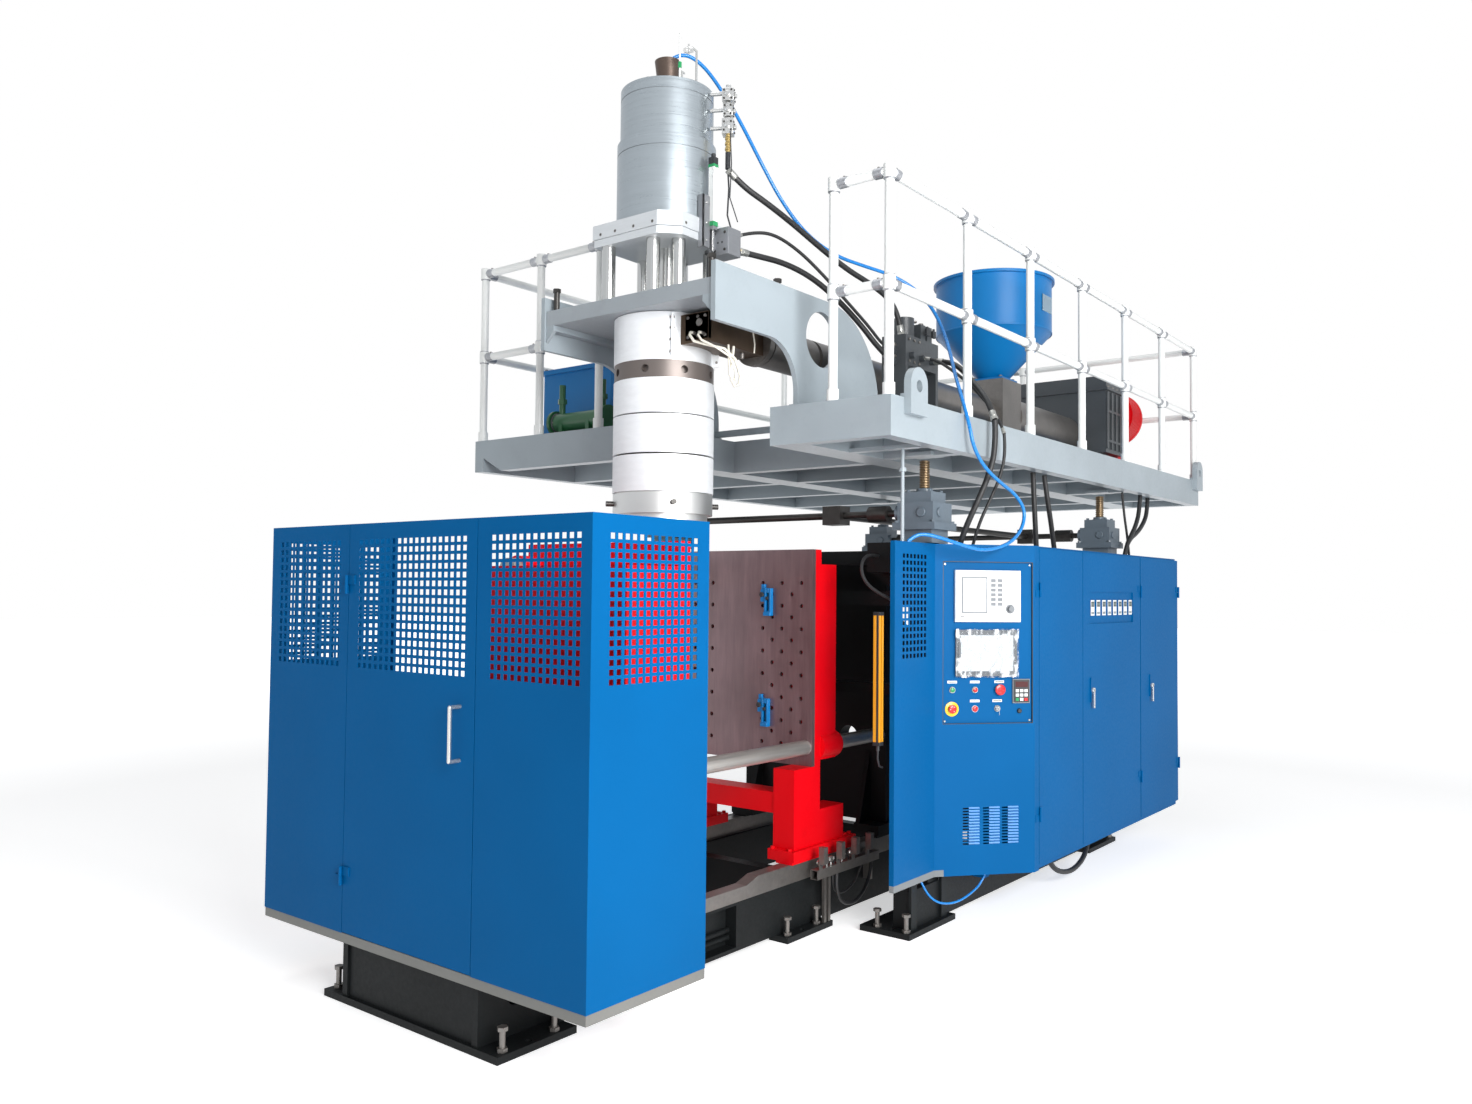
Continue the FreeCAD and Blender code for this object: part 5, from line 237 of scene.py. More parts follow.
paint("plate_steel", (148, 155, 160), 0.45, 0.08, coat=0.05, peel=0.12, grime=0.12, zones=(
    (3.3005, None, None, (200, 200, 198), 0.18, 1.0),))
paint("white_pipe", (232, 234, 232), 0.35, 0.03, coat=0.2, grime=0.06)
paint("amber_paint", (222, 150, 30), 0.35, 0.08, coat=0.2)
paint("green_paint", (40, 96, 58), 0.35, 0.12, coat=0.2, grime=0.15)
paint("white_plastic", (226, 228, 226), 0.4, 0.02, peel=0.03)
paint("grey_plastic", (120, 124, 128), 0.45, 0.04, peel=0.05)
paint("dark_plastic", (38, 40, 43), 0.45, 0.1, peel=0.05)
paint("red_plastic", (200, 24, 28), 0.25, 0.05, coat=0.4, peel=0.0)
paint("green_plastic", (20, 140, 80), 0.25, 0.05, coat=0.4, peel=0.0)
paint("yellow_plastic", (235, 190, 30), 0.3, 0.05, coat=0.2)
paint("lead_white", (222, 218, 205), 0.6, 0.04)
paint("hose_rubber", (34, 34, 35), 0.5, 0.25, peel=0.15, grime=0.2)
paint("air_tube_blue", (6, 122, 200), 0.28, 0.08, coat=0.3)
paint("sight_glass", (120, 150, 170), 0.1, 0.05, coat=0.5)
paint("screen_grey", (196, 200, 202), 0.12, 0.04, coat=0.6, peel=0.0)
paint("display_red", (70, 14, 16), 0.15, 0.1, coat=0.5, peel=0.0)
# painted glare: the operator panel's screen glows pale in place of the light reflected off it
glow("screen_pale", (222, 228, 232), 0.25)
glow("digits_pale", (96, 112, 104), 0.1)
film()
brushed("fitting_steel", (170, 170, 165), 0.3, (1, 1, 60), 40.0)
brushed("turned_steel", (168, 176, 181), 0.3, (1, 1, 40), 3.0, depth=0.02, vary=0.05, zones=(
    (4.436, None, None, (92, 78, 70), 0.4, 0.6), (4.377, 4.3795, None, (96, 92, 90), 0.5, 0.8),
    (4.078, 4.0805, None, (96, 92, 90), 0.5, 0.8)))
brushed("band_steel", (240, 242, 244), 0.42, (1, 1, 4), 9.0, depth=0.04, vary=0.04, stain=0.06, metal=0.4)
brushed("body_steel", (238, 240, 242), 0.42, (1, 1, 4), 9.0, depth=0.05, vary=0.06, stain=0.1, metal=0.4,
        zones=((2.8825, 2.9728, None, (112, 104, 100), 0.4, 0.6),
               (2.492, 2.503, None, (58, 52, 48), 0.5, 0.5), (2.697, 2.706, None, (58, 52, 48), 0.5, 0.5),
               (2.1, 2.308, None, (214, 214, 212), 0.4, 1.0)))
brushed("chrome", (205, 205, 203), 0.16, (60, 1, 1), 4.0, depth=0.03, vary=0.06)
brushed("dull_steel", (132, 128, 124), 0.4, (3, 3, 3), 14.0, stain=0.35)
# the mould plate's vertical streaks and purple-brown tone are partly grinding marks and stain, partly painted
# reflections
brushed("mould_steel", (132, 112, 115), 0.34, (1, 6, 0.6), 3.0, depth=0.08, vary=0.22, stain=0.35, metal=0.7)
brushed("dark_steel", (74, 72, 70), 0.38, (3, 3, 3), 10.0, stain=0.5)
brushed("thread_steel", (138, 118, 92), 0.4, (1, 1, 1), 12.0, stain=0.5)
brushed("brown_steel", (96, 80, 66), 0.42, (2, 2, 2), 12.0, stain=0.5)
brushed("bar_steel", (196, 192, 186), 0.38, (1, 30, 30), 4.0, depth=0.04, vary=0.1, stain=0.15)
brushed("block_steel", (206, 210, 213), 0.45, (1, 1, 14), 9.0, depth=0.04, vary=0.05, metal=0.35)
brushed("bare_grey", (150, 152, 156), 0.42, (2, 2, 30), 10.0, depth=0.05, vary=0.08)
brushed("brass", (196, 170, 110), 0.28, (4, 4, 4), 20.0, depth=0.03, vary=0.1)
brushed("sleeve_grey", (176, 178, 182), 0.45, (4, 4, 4), 26.0, vary=0.25, stain=0.4)
brushed("neck_dark", (84, 76, 70), 0.42, (3, 3, 3), 12.0, vary=0.2, stain=0.4)

# each look's CAD nodes
FINISHES = {
    "black_weldment": "clamp_base machine_frame crosshead",
    "dull_steel": "leveling_bolts guide_rails switch_tray die_mandrel extruder_barrel extruder_screw",
    "grey_tube": "guard_frame",
    "blue_sheet": "guard_panels guard_door cabinet_shell cabinet_door_left cabinet_door_middle "
                  "cabinet_door_right",
    "chrome": "door_handle piston_rod key_switch shot_piston lock_handle_middle lock_handle_right",
    "red_part": "front_platen rear_platen drive_motor",
    "bar_steel": "tie_bars",
    "dark_paint": "clamp_cylinder gearbox valve_block",
    "mould_steel": "mould_plate",
    "blue_part": "mould_clamps extruder_base hopper oil_tank",
    "amber_paint": "light_curtain",
    "housing_blue": "control_housing",
    "grey_plastic": "operator_screens program_knob",
    "green_plastic": "start_button",
    "red_plastic": "stop_button mushroom_button emergency_stop",
    "jack_grey": "jack_housings",
    "thread_steel": "jack_screws",
    "dark_steel": "drive_shafts head_bolts",
    "grey_paint": "platform_frame head_brackets cylinder_block head_instruments",
    "white_pipe": "railing",
    "plate_steel": "head_plate",
    "turned_steel": "shot_cylinder",
    "body_steel": "head_body",
    "band_steel": "heater_bands",
    "brown_steel": "melt_neck",
    "green_paint": "oil_cooler",
    "hose_rubber": "upper_hoses lift_hoses lower_hoses"}
for look, nodes in FINISHES.items():
    for node in nodes.split():
        NODES[node].data.materials.clear()
        NODES[node].data.materials.append(LOOKS[look])


# ---------------------------------------------------------------- mesh helpers
UP = (0, 0, 1)
HEAD_X = 0.422          # axis of the head and the shot cylinder
HOPPER = (3.723, -0.33)
MOTOR = (-0.55, 3.325)  # Y and Z of the motor's axis
JACKS = tuple(itertools.product((1.56, 4.27), (-0.93, 0.93)))


def around(count, start=0.0):
    """Cosine and sine of evenly spaced turns."""
    return [(math.cos(a), math.sin(a)) for a in (2 * math.pi * (k + start) / count for k in range(count))]


def spoke(degrees):
    """Directions out from an upright axis, and round it."""
    a = math.radians(degrees)
    return Vector((math.cos(a), math.sin(a), 0)), Vector((-math.sin(a), math.cos(a), 0))


class Build:
    """Collects faces of one piece. Material indices follow the list given to done()."""

    def __init__(self):
        self.bm = bmesh.new()

    def faces(self, points, polygons, mat):
        verts = [self.bm.verts.new(p) for p in points]
        for polygon in polygons:
            face = self.bm.faces.new([verts[i] for i in polygon])
            face.material_index = mat
        return verts

    def box(self, x0, x1, y0, y1, z0, z1, mat=0):
        points = [(x, y, z) for x in (x0, x1) for y in (y0, y1) for z in (z0, z1)]
        sides = ((0, 1, 3, 2), (4, 6, 7, 5), (0, 4, 5, 1), (2, 3, 7, 6), (0, 2, 6, 4), (1, 5, 7, 3))
        return self.faces(points, sides, mat)

    def ring(self, centre, side, other, radius, segments):
        turns = [2 * math.pi * k / segments for k in range(segments)]
        return [self.bm.verts.new(centre + (side * math.cos(a) + other * math.sin(a)) * radius) for a in turns]

    def skin(self, rings, mat, caps):
        """Joins rings of vertices with quads. caps says whether the first and last are closed."""
        for low, high in zip(rings, rings[1:]):
            for k in range(len(low)):
                n = (k + 1) % len(low)
                self.bm.faces.new((low[k], low[n], high[n], high[k])).material_index = mat
        if caps[0]:
            self.bm.faces.new(list(reversed(rings[0]))).material_index = mat
        if caps[1]:
            self.bm.faces.new(rings[-1]).material_index = mat

    def turned(self, start, axis, profile, mat=0, segments=32, caps=(True, True)):
        """Turns (radius, height) pairs about an axis that starts at a point."""
        start = Vector(start)
        axis = Vector(axis).normalized()
        side = axis.orthogonal().normalized()
        other = axis.cross(side)
        rings = [self.ring(start + axis * height, side, other, radius, segments)
                 for radius, height in profile]
        self.skin(rings, mat, caps)

    def rod(self, start, end, radius, mat=0, segments=20, chamfer=0.0):
        start, end = Vector(start), Vector(end)
        length = (end - start).length
        c = min(chamfer, radius * 0.5, length * 0.4)
        profile = [(radius, 0.0), (radius, length)] if c == 0 else [
            (radius - c, 0.0), (radius, c), (radius, length - c), (radius - c, length)]
        self.turned(start, end - start, profile, mat, segments)

    def hexagon(self, start, end, radius, mat=0):
        self.rod(start, end, radius, mat, segments=6, chamfer=radius * 0.12)

    def post(self, x, y, z0, z1, radius, mat=0, segments=20, chamfer=0.0):
        """An upright rod."""
        self.rod((x, y, z0), (x, y, z1), radius, mat, segments, chamfer)

    def nut(self, x, y, z0, z1, radius, mat=0):
        """An upright hexagon."""
        self.hexagon((x, y, z0), (x, y, z1), radius, mat)

    def tube(self, path, radius, mat=0, segments=12):
        """A round tube along a list of points, with a frame carried along it."""
        path = [Vector(p) for p in path]
        side = (path[1] - path[0]).orthogonal().normalized()
        rings = []
        for i, p in enumerate(path):
            ahead = (path[min(i + 1, len(path) - 1)] - path[max(i - 1, 0)]).normalized()
            side = (side - ahead * side.dot(ahead)).normalized()
            rings.append(self.ring(p, side, ahead.cross(side), radius, segments))
        self.skin(rings, mat, (True, True))

    def done(self, name, body, looks, place=None, bevel=0.0, slot=None, ride=True):
        """Turns the faces into an object that rides a body. looks names its materials in order."""
        bmesh.ops.recalc_face_normals(self.bm, faces=self.bm.faces)
        if place is not None:
            self.bm.transform(place)
        mesh = bpy.data.meshes.new(name)
        self.bm.to_mesh(mesh)
        self.bm.free()
        for look in looks.split():
            mesh.materials.append(LOOKS[look])
        mesh.polygons.foreach_set("use_smooth", [True] * len(mesh.polygons))
        mesh.set_sharp_from_angle(angle=math.radians(38))
        piece = bpy.data.objects.new(name, mesh)
        scene.collection.objects.link(piece)
        if bevel:
            modifier = piece.modifiers.new("bevel", "BEVEL")
            modifier.width = bevel
            modifier.segments = 2
            modifier.limit_method = "ANGLE"
            modifier.angle_limit = math.radians(50)
        if ride:
            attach(piece, body)
        return piece


def face_place():
    """The control face's own frame: X along the face, Y out of it, Z up, in metres."""
    along = Vector((1.518 - 1.97, -1.019 + 1.398, 0)).normalized()
    out = Vector((-along.y, along.x, 0))
    return Matrix(((along.x, out.x, 0, 1.97), (along.y, out.y, 0, -1.398), (0, 0, 1, 0), (0, 0, 0, 1)))


FACE = face_place()


# ---------------------------------------------------------------- hoses
def metres(points):
    return [tuple(v / 1000 for v in p) for p in points]


def nurbs(name, points, radius=0.0):
    curve = bpy.data.curves.new(name, "CURVE")
    curve.dimensions = "3D"
    curve.resolution_u = 10
    spline = curve.splines.new("NURBS")
    spline.points.add(len(points) - 1)
    for point, place in zip(spline.points, points):
        point.co = (*place, 1.0)
    spline.order_u = 3
    spline.use_endpoint_u = True
    curve.bevel_depth = radius
    curve.bevel_resolution = 5
    curve.use_fill_caps = True
    piece = bpy.data.objects.new(name, curve)
    scene.collection.objects.link(piece)
    return piece


def spline_points(points):
    """Points of the route's own NURBS spline, read from Blender."""
    guide = nurbs("guide", points)
    bpy.context.view_layer.update()
    mesh = bpy.data.meshes.new_from_object(guide.evaluated_get(bpy.context.evaluated_depsgraph_get()))
    found = [v.co.copy() for v in mesh.vertices]
    bpy.data.meshes.remove(mesh)
    bpy.data.objects.remove(guide)
    return found


def ferrule(b, end, inward, r):
    """The crimped steel end of a hose: a nut and a sleeve, from the end inward."""
    inward = inward.normalized()
    nut = ((1.25, 0), (1.32, 0.15), (1.32, 1.2), (1.05, 1.35))
    sleeve = ((1.08, 1.3), (1.2, 1.45), (1.2, 3.6), (1.08, 3.8))
    for profile, segments in ((nut, 6), (sleeve, 20)):
        b.turned(end, inward, [(r * wide, r * high) for wide, high in profile], 0, segments)


AIR_ROUTE = (
    (422, 0, 4620), (468, -40, 4688), (575, -118, 4640), (695, -210, 4440), (765, -260, 4300),
    (840, -320, 4125), (960, -370, 3940), (1105, -430, 3790), (1300, -495, 3705), (1505, -570, 3680),
    (1670, -660, 3650), (1785, -760, 3570), (1800, -870, 3425), (1735, -980, 3225), (1608, -1090, 3010),
    (1503, -1190, 2840), (1465, -1250, 2690), (1480, -1262, 2590), (1560, -1280, 2490), (1720, -1300, 2415),
    (1900, -1315, 2360), (2005, -1325, 2280), (1970, -1330, 2180), (1845, -1325, 2095), (1705, -1300, 2050),
    (1580, -1260, 2035), (1490, -1200, 2060), (1400, -1140, 2090), (1320, -1080, 2115), (1262, -1035, 2110),
    (1235, -1008, 2073))
UPPER_ROUTES = (
    ("pressure_hose_high", 16, (
        (530, -330, 4000), (600, -372, 3925), (740, -425, 3865), (930, -465, 3795), (1130, -500, 3715),
        (1350, -545, 3630), (1550, -590, 3580), (1690, -628, 3520), (1765, -646, 3420),
        (1782, -652, 3320))),
    ("pressure_hose_low", 16, (
        (635, -328.5, 3595), (780, -350, 3600), (950, -390, 3600), (1140, -440, 3560), (1330, -490, 3470),
        (1500, -550, 3340), (1610, -600, 3220), (1710, -620, 3170))),
    ("pilot_hose_head", 9, (
        (575, -360, 3655), (680, -375, 3700), (820, -420, 3720), (1000, -465, 3660), (1180, -505, 3560),
        (1360, -556, 3432), (1520, -590, 3330), (1630, -612, 3245), (1710, -620, 3230))),
    ("drop_hose_platform", 16, (
        (2050, -730, 3200), (2045, -805, 3192), (2005, -905, 3150), (1930, -1020, 3050),
        (1850, -1130, 2950), (1775, -1215, 2860), (1740, -1265, 2760))),
    ("drop_hose_thin", 9, (
        (1930, -730, 3200), (1935, -800, 3185), (1960, -900, 3110), (1950, -1020, 3010),
        (1910, -1130, 2900), (1880, -1222, 2800), (1868, -1262, 2700))))
HANGING_ROUTES = (
    ("hanging_hose_1", 16, (
        (1740, -1265, 2760), (1744, -1270, 2602), (1710, -1240, 2440), (1665, -1190, 2290),
        (1670, -1120, 2155), (1690, -1080, 2073))),
    ("hanging_hose_2", 9, (
        (1868, -1262, 2700), (1875, -1268, 2590), (1840, -1250, 2450), (1800, -1210, 2325),
        (1775, -1150, 2185), (1790, -1110, 2073))),
    ("hanging_hose_3", 16, (
        (2645, -1100, 2560), (2638, -1110, 2400), (2662, -1108, 2228), (2700, -1100, 2073))),
    ("hanging_hose_4", 16, (
        (2820, -1100, 2560), (2850, -1110, 2400), (2930, -1105, 2230), (2990, -1100, 2073))),
    ("hanging_hose_5", 9, (
        (4265, -1100, 2560), (4290, -1105, 2400), (4350, -1110, 2230), (4420, -1100, 2073))),
    ("hanging_hose_6", 16, (
        (4575, -1130, 2560), (4540, -1135, 2430), (4440, -1140, 2320), (4330, -1145, 2245),
        (4235, -1142, 2170), (4200, -1138, 2073))),
    ("hanging_hose_7", 16, (
        (4855, -1095, 2560), (4830, -1100, 2440), (4725, -1100, 2345), (4590, -1100, 2275),
        (4455, -1095, 2228), (4370, -1092, 2158), (4332, -1090, 2073))))
LOWER_ROUTES = (
    ("valve_box_hose", 9, (
        (1300, -790, 2000), (1230, -785, 2010), (1160, -780, 1985), (1120, -790, 1920), (1110, -830, 1850),
        (1120, -900, 1800), (1140, -960, 1770), (1155, -992, 1750))),
    ("tray_hose_large", 9, (
        (1560, -600, 285), (1535, -605, 205), (1465, -612, 140), (1370, -618, 100), (1300, -618, 100),
        (1242, -614, 116), (1199, -609, 162), (1188, -604, 225), (1200, -600, 285))),
    ("tray_hose_small", 6, (
        (1480, -585, 285), (1450, -578, 215), (1380, -572, 165), (1290, -572, 150), (1215, -575, 180),
        (1189, -580, 232), (1180, -585, 285))),
    ("air_tube_low", 6, (
        (1395, -1005, 267), (1400, -1030, 215), (1440, -1065, 160), (1520, -1095, 135), (1620, -1120, 135),
        (1720, -1145, 165), (1800, -1165, 210), (1830, -1175, 267))),
    ("cabinet_hose_low", 16, (
        (2590, -1200, 267), (2625, -1205, 190), (2710, -1212, 115), (2830, -1218, 75), (2970, -1220, 60),
        (3110, -1218, 80), (3220, -1212, 120), (3285, -1206, 190), (3312, -1200, 267))))


def hose_look(name):
    return "air_tube_blue" if name.startswith("air_tube") else "hose_rubber"


def lay_hoses():
    """Lays every hose on its CAD route. Those that run from the lift down to the base are fixed tubes that
    ride neither body.
    """
    laid = []
    for body, routes in (("lift", UPPER_ROUTES), ("base", LOWER_ROUTES)):
        for name, r, route in routes:
            points = metres(route)
            piece = nurbs(name, points, r / 1000)
            piece.data.materials.append(LOOKS[hose_look(name)])
            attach(piece, body)
            laid.append((piece, points, r / 1000, body, None))
    for name, r, route in (("air_tube", 10, AIR_ROUTE), *HANGING_ROUTES):
        points = metres(route)
        path = spline_points(points)
        b = Build()
        b.tube(path, r / 1000, segments=14)
        piece = b.done(name, "lift", hose_look(name), ride=False)
        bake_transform(piece)
        laid.append((piece, points, r / 1000, "lift", path))
    for piece, points, r, body, path in laid:
        along = path or spline_points(points)
        if body == "lift" and path is None:
            b = Build()
            ferrule(b, along[0], along[1] - along[0], r)
            ferrule(b, along[-1], along[-2] - along[-1], r)
            b.done(piece.name + "_ends", body, "fitting_steel", slot="steel")
    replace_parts(bpy.data.objects["air_tube"], "upper_hoses", "lift_hoses")
    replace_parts(bpy.data.objects["cabinet_hose_low"], "lower_hoses")


lay_hoses()


# ---------------------------------------------------------------- light, floor and background
def make_floor():
    """A pale floor that is lit evenly, and whiter the further it is from the machine."""
    g = Look("floor")
    away = g.add("ShaderNodeVectorMath", {0: g.coords, 1: (2.0, 0.0, 0.0)}, operation="DISTANCE")
    g.surface({"Base Color": g.ramp(g.noise(0.35, detail=2.0), 0.3, 0.7, 0.8, 0.82),
               "Roughness": 0.9, "Specular IOR Level": 0.1, "Emission Color": (1.0, 1.0, 1.0, 1.0),
               "Emission Strength": g.ramp(away.outputs["Value"], 7.0, 16.0, 0.56, 1.1)})
    b = Build()
    b.faces([(-60, -60, 0), (60, -60, 0), (60, 60, 0), (-60, 60, 0)], [(0, 1, 2, 3)], 0)
    floor = b.done("floor", "base", "floor", ride=False)
    floor.location.z = -0.0005


def make_world():
    """White for the camera, softer as a light, brighter in reflections."""
    scene.world = bpy.data.worlds.new("studio")
    g = Tree(scene.world)
    g.nodes.clear()
    path = g.add("ShaderNodeLightPath").outputs
    direct = g.maths("MAXIMUM", path["Is Camera Ray"], path["Is Transmission Ray"])
    light = g.add("ShaderNodeBackground", {
        "Color": (0.93, 0.96, 1.0, 1.0), "Strength": g.ramp(path["Is Glossy Ray"], 0.0, 1.0, 0.24, 0.85)})
    white = g.add("ShaderNodeBackground", {"Color": (1.0, 1.0, 1.0, 1.0), "Strength": 1.0})
    mix = g.add("ShaderNodeMixShader", {0: direct, 1: light.outputs[0], 2: white.outputs[0]})
    g.add("ShaderNodeOutputWorld", {"Surface": mix.outputs[0]})


def make_lamp(name, place, target, size, energy):
    data = bpy.data.lights.new(name, "AREA")
    data.shape = "RECTANGLE"
    data.size, data.size_y = size
    data.energy = energy
    lamp = bpy.data.objects.new(name, data)
    lamp.location = place
    lamp.rotation_mode = "QUATERNION"
    lamp.rotation_quaternion = (Vector(target) - Vector(place)).to_track_quat("-Z", "Y")
    scene.collection.objects.link(lamp)


make_floor()
make_world()
make_lamp("key", (-2.6, -8.0, 3.8), (-0.2, -0.6, 1.5), (5.0, 4.0), 980)
make_lamp("top", (2.0, 2.0, 13.0), (2.0, 0.0, 1.5), (10.0, 8.0), 400)
make_lamp("front", (-12.0, -4.0, 5.0), (0.0, 0.0, 1.6), (7.0, 5.0), 12)
scene.view_settings.view_transform = "Standard"


# ---------------------------------------------------------------- control face
OUT = (0, 1, 0)
RECESS = -0.012
STEM_DEPTH = 0.033


def on_face(b, name, body, looks, **settings):
    return b.done(name, body, looks, place=FACE, **settings)


def slabs(b, *rows):
    """Boxes on the recess floor: from and to along the face, out of the floor and up, and the look."""
    for s0, s1, low, high, z0, z1, mat in rows:
        b.box(s0, s1, RECESS + low, RECESS + high, z0, z1, mat)


def controller():
    """White housing, grey bezel, screen, small keys and the knob's ring."""
    b = Build()
    slabs(b, (0.088, 0.474, 0, 0.02, 1.647, 1.931, 0), (0.094, 0.468, 0.02, 0.026, 1.653, 1.925, 0),
          (0.29, 0.44, 0.026, 0.0285, 1.695, 1.894, 1), (0.297, 0.433, 0.0285, 0.0292, 1.702, 1.887, 2))
    for k, s in itertools.product(range(6), (0.2, 0.24)):
        slabs(b, (s, s + 0.028, 0.026, 0.0275, 1.866 - k * 0.026, 1.884 - k * 0.026, 1))
    slabs(b, (0.425, 0.446, 0.026, 0.0275, 1.672, 1.677, 3))
    b.turned((0.154, RECESS + 0.026, 1.719), OUT, [(0.026, 0), (0.025, 0.0022)], 1, 32)
    piece = on_face(b, "controller", "base", "white_plastic grey_plastic screen_grey dark_plastic",
                    bevel=0.0012, slot="white_paint")
    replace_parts(piece, "operator_screens")


def operator_panel():
    """Grey frame and pale screen, whose glow is painted glare."""
    b = Build()
    slabs(b, (0.106, 0.467, 0, 0.014, 1.349, 1.602, 0), (0.118, 0.455, 0.014, 0.019, 1.361, 1.59, 0),
          (0.132, 0.441, 0.019, 0.0196, 1.377, 1.574, 1))
    on_face(b, "operator_panel", "base", "grey_plastic screen_pale", bevel=0.002, slot="gray_plastic")


def panel_film():
    """Crumpled protective film over the operator panel."""
    b = Build()
    columns, rows = 44, 32
    grid = []
    for i in range(columns + 1):
        line = []
        for j in range(rows + 1):
            s = 0.1 + 0.373 * i / columns
            z = 1.343 + 0.265 * j / rows
            edge = min(i, columns - i, j, rows - j)
            lift = 0.0008 + 0.0016 * random.random() + (0.0022 * random.random() if edge < 5 else 0.0)
            fold = 0.0012 * abs(math.sin(i * 0.9 + j * 0.35)) + 0.0009 * abs(math.sin(j * 1.3 - i * 0.28))
            out = RECESS + 0.0198 + lift + fold
            line.append(b.bm.verts.new((s, out, z + 0.003 * random.uniform(-1, 1))))
        grid.append(line)
    for i, j in itertools.product(range(columns), range(rows)):
        b.bm.faces.new((grid[i][j], grid[i + 1][j], grid[i + 1][j + 1], grid[i][j + 1]))
    on_face(b, "panel_film", "base", "film")


def keypad():
    """Grey case, small display, 3 x 3 keys."""
    b = Build()
    slabs(b, (0.028, 0.13, 0, 0.01, 1.199, 1.332, 0), (0.033, 0.125, 0.01, 0.014, 1.204, 1.327, 1),
          (0.042, 0.116, 0.014, 0.0145, 1.288, 1.318, 2))
    for i, j in itertools.product(range(3), range(3)):
        tone = {(2, 0): 4, (0, 0): 5}.get((i, j), 3)
        s, z = 0.044 + i * 0.026, 1.212 + j * 0.024
        slabs(b, (s, s + 0.019, 0.014, 0.0165, z, z + 0.016, tone))
    on_face(b, "keypad", "base",
            "grey_plastic dark_plastic display_red white_plastic green_plastic red_plastic",
            bevel=0.0008, slot="gray_plastic")


def button_collars():
    """Button collars, the emergency stop's plate, fixed lamps and legend plates."""
    b = Build()
    for s, z, r, hole in ((0.484, 1.274, 0.018, 0.0136), (0.351, 1.274, 0.018, 0.0136),
                          (0.219, 1.17, 0.018, 0.0136), (0.207, 1.274, 0.026, 0.009)):
        b.turned((s, RECESS, z), OUT,
                 [(r, 0), (r, 0.004), (r * 0.92, 0.006), (hole, 0.006), (hole, 0.0005)], 0, 36, (False, False))
    plate = [(0.04, 0), (0.04, 0.0022), (0.0385, 0.003), (0.0086, 0.003), (0.0086, 0)]
    b.turned((0.486, RECESS, 1.17), OUT, plate, 3, 48, (False, False))
    ringed = [(0.018, 0), (0.018, 0.004), (0.0165, 0.006), (0.013, 0.006), (0.0128, 0.011), (0.011, 0.012)]
    white = [(0.0185, 0), (0.0185, 0.0045), (0.017, 0.0055)]
    small = [(0.013, 0), (0.013, 0.008), (0.01, 0.012)]
    for s, z, profile, mat, segments in ((0.351, 1.17, ringed, 4, 36), (0.351, 1.17, white, 1, 36),
                                         (0.088, 1.156, small, 2, 32)):
        b.turned((s, RECESS, z), OUT, profile, mat, segments, (False, True))
    for s, z in ((0.484, 1.274), (0.351, 1.274), (0.207, 1.274), (0.351, 1.17), (0.219, 1.17)):
        z0 = z + 0.036
        slabs(b, (s - 0.028, s + 0.028, 0, 0.0016, z0, z0 + 0.014, 1),
              (s - 0.024, s + 0.024, 0.0016, 0.0019, z0 + 0.005, z0 + 0.009, 2))
    on_face(b, "button_collars", "base",
            "fitting_steel white_plastic dark_plastic yellow_plastic red_plastic",
            bevel=0.0006, slot="steel")


def recess_gasket():
    """Dark gasket round the recess, and screws in its corners."""
    b = Build()
    s0, s1, z0, z1, w = 0.01, 0.544, 1.088, 1.979, 0.0035
    for left, right, low, high in ((s0, s0 + w, z0, z1), (s1 - w, s1, z0, z1),
                                   (s0 + w, s1 - w, z0, z0 + w), (s0 + w, s1 - w, z1 - w, z1)):
        b.box(left, right, RECESS, -0.0006, low, high, 0)
    for s, z in itertools.product((0.026, 0.528), (1.104, 1.963)):
        b.rod((s, RECESS, z), (s, RECESS + 0.003, z), 0.006, 1, 18, 0.001)
    on_face(b, "recess_gasket", "base", "dark_plastic fitting_steel", slot="black_paint")


def button_caps():
    """Caps over the moving buttons' plain solids."""
    plain = [(0.0128, 0), (0.0128, 0.0052), (0.0112, 0.0064)]
    mushroom = [(0.012, 0), (0.027, 0.001), (0.0298, 0.004), (0.0292, 0.0085), (0.024, 0.011),
                (0.014, 0.0119)]
    domed = [(0.011, 0), (0.021, 0.001), (0.0238, 0.004), (0.0232, 0.0085), (0.018, 0.0112), (0.01, 0.0119)]
    for name, node, colour, s, z, lift, profile, segments, stem in (
            ("start_cap", "start_button", "green", 0.484, 1.274, 0.0053, plain, 36, 0.0385),
            ("stop_cap", "stop_button", "red", 0.351, 1.274, 0.0053, plain, 36, 0.0385),
            ("mushroom_cap", "mushroom_button", "red", 0.207, 1.274, 0.0113, mushroom, 40, 0.045),
            ("emergency_cap", "emergency_stop", "red", 0.486, 1.17, 0.0083, domed, 40, 0.042)):
        cap = Build()
        low = RECESS + lift
        looks = colour + "_plastic fitting_steel"
        cap.turned((s, low, z), OUT, profile, 0, segments, (False, True))
        cap.turned((s, RECESS - STEM_DEPTH, z), OUT, [(0.0079, 0), (0.0079, stem)], 1, 20)
        if node == "emergency_stop":
            looks += " white_plastic"
            for cos, sin in around(3):
                u, v = s + 0.015 * cos, z + 0.015 * sin
                cap.box(u - 0.003, u + 0.003, low + 0.01, low + 0.0117, v - 0.0012, v + 0.0012, 2)
        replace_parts(on_face(cap, name, node, looks, slot=colour + "_plastic"), node)


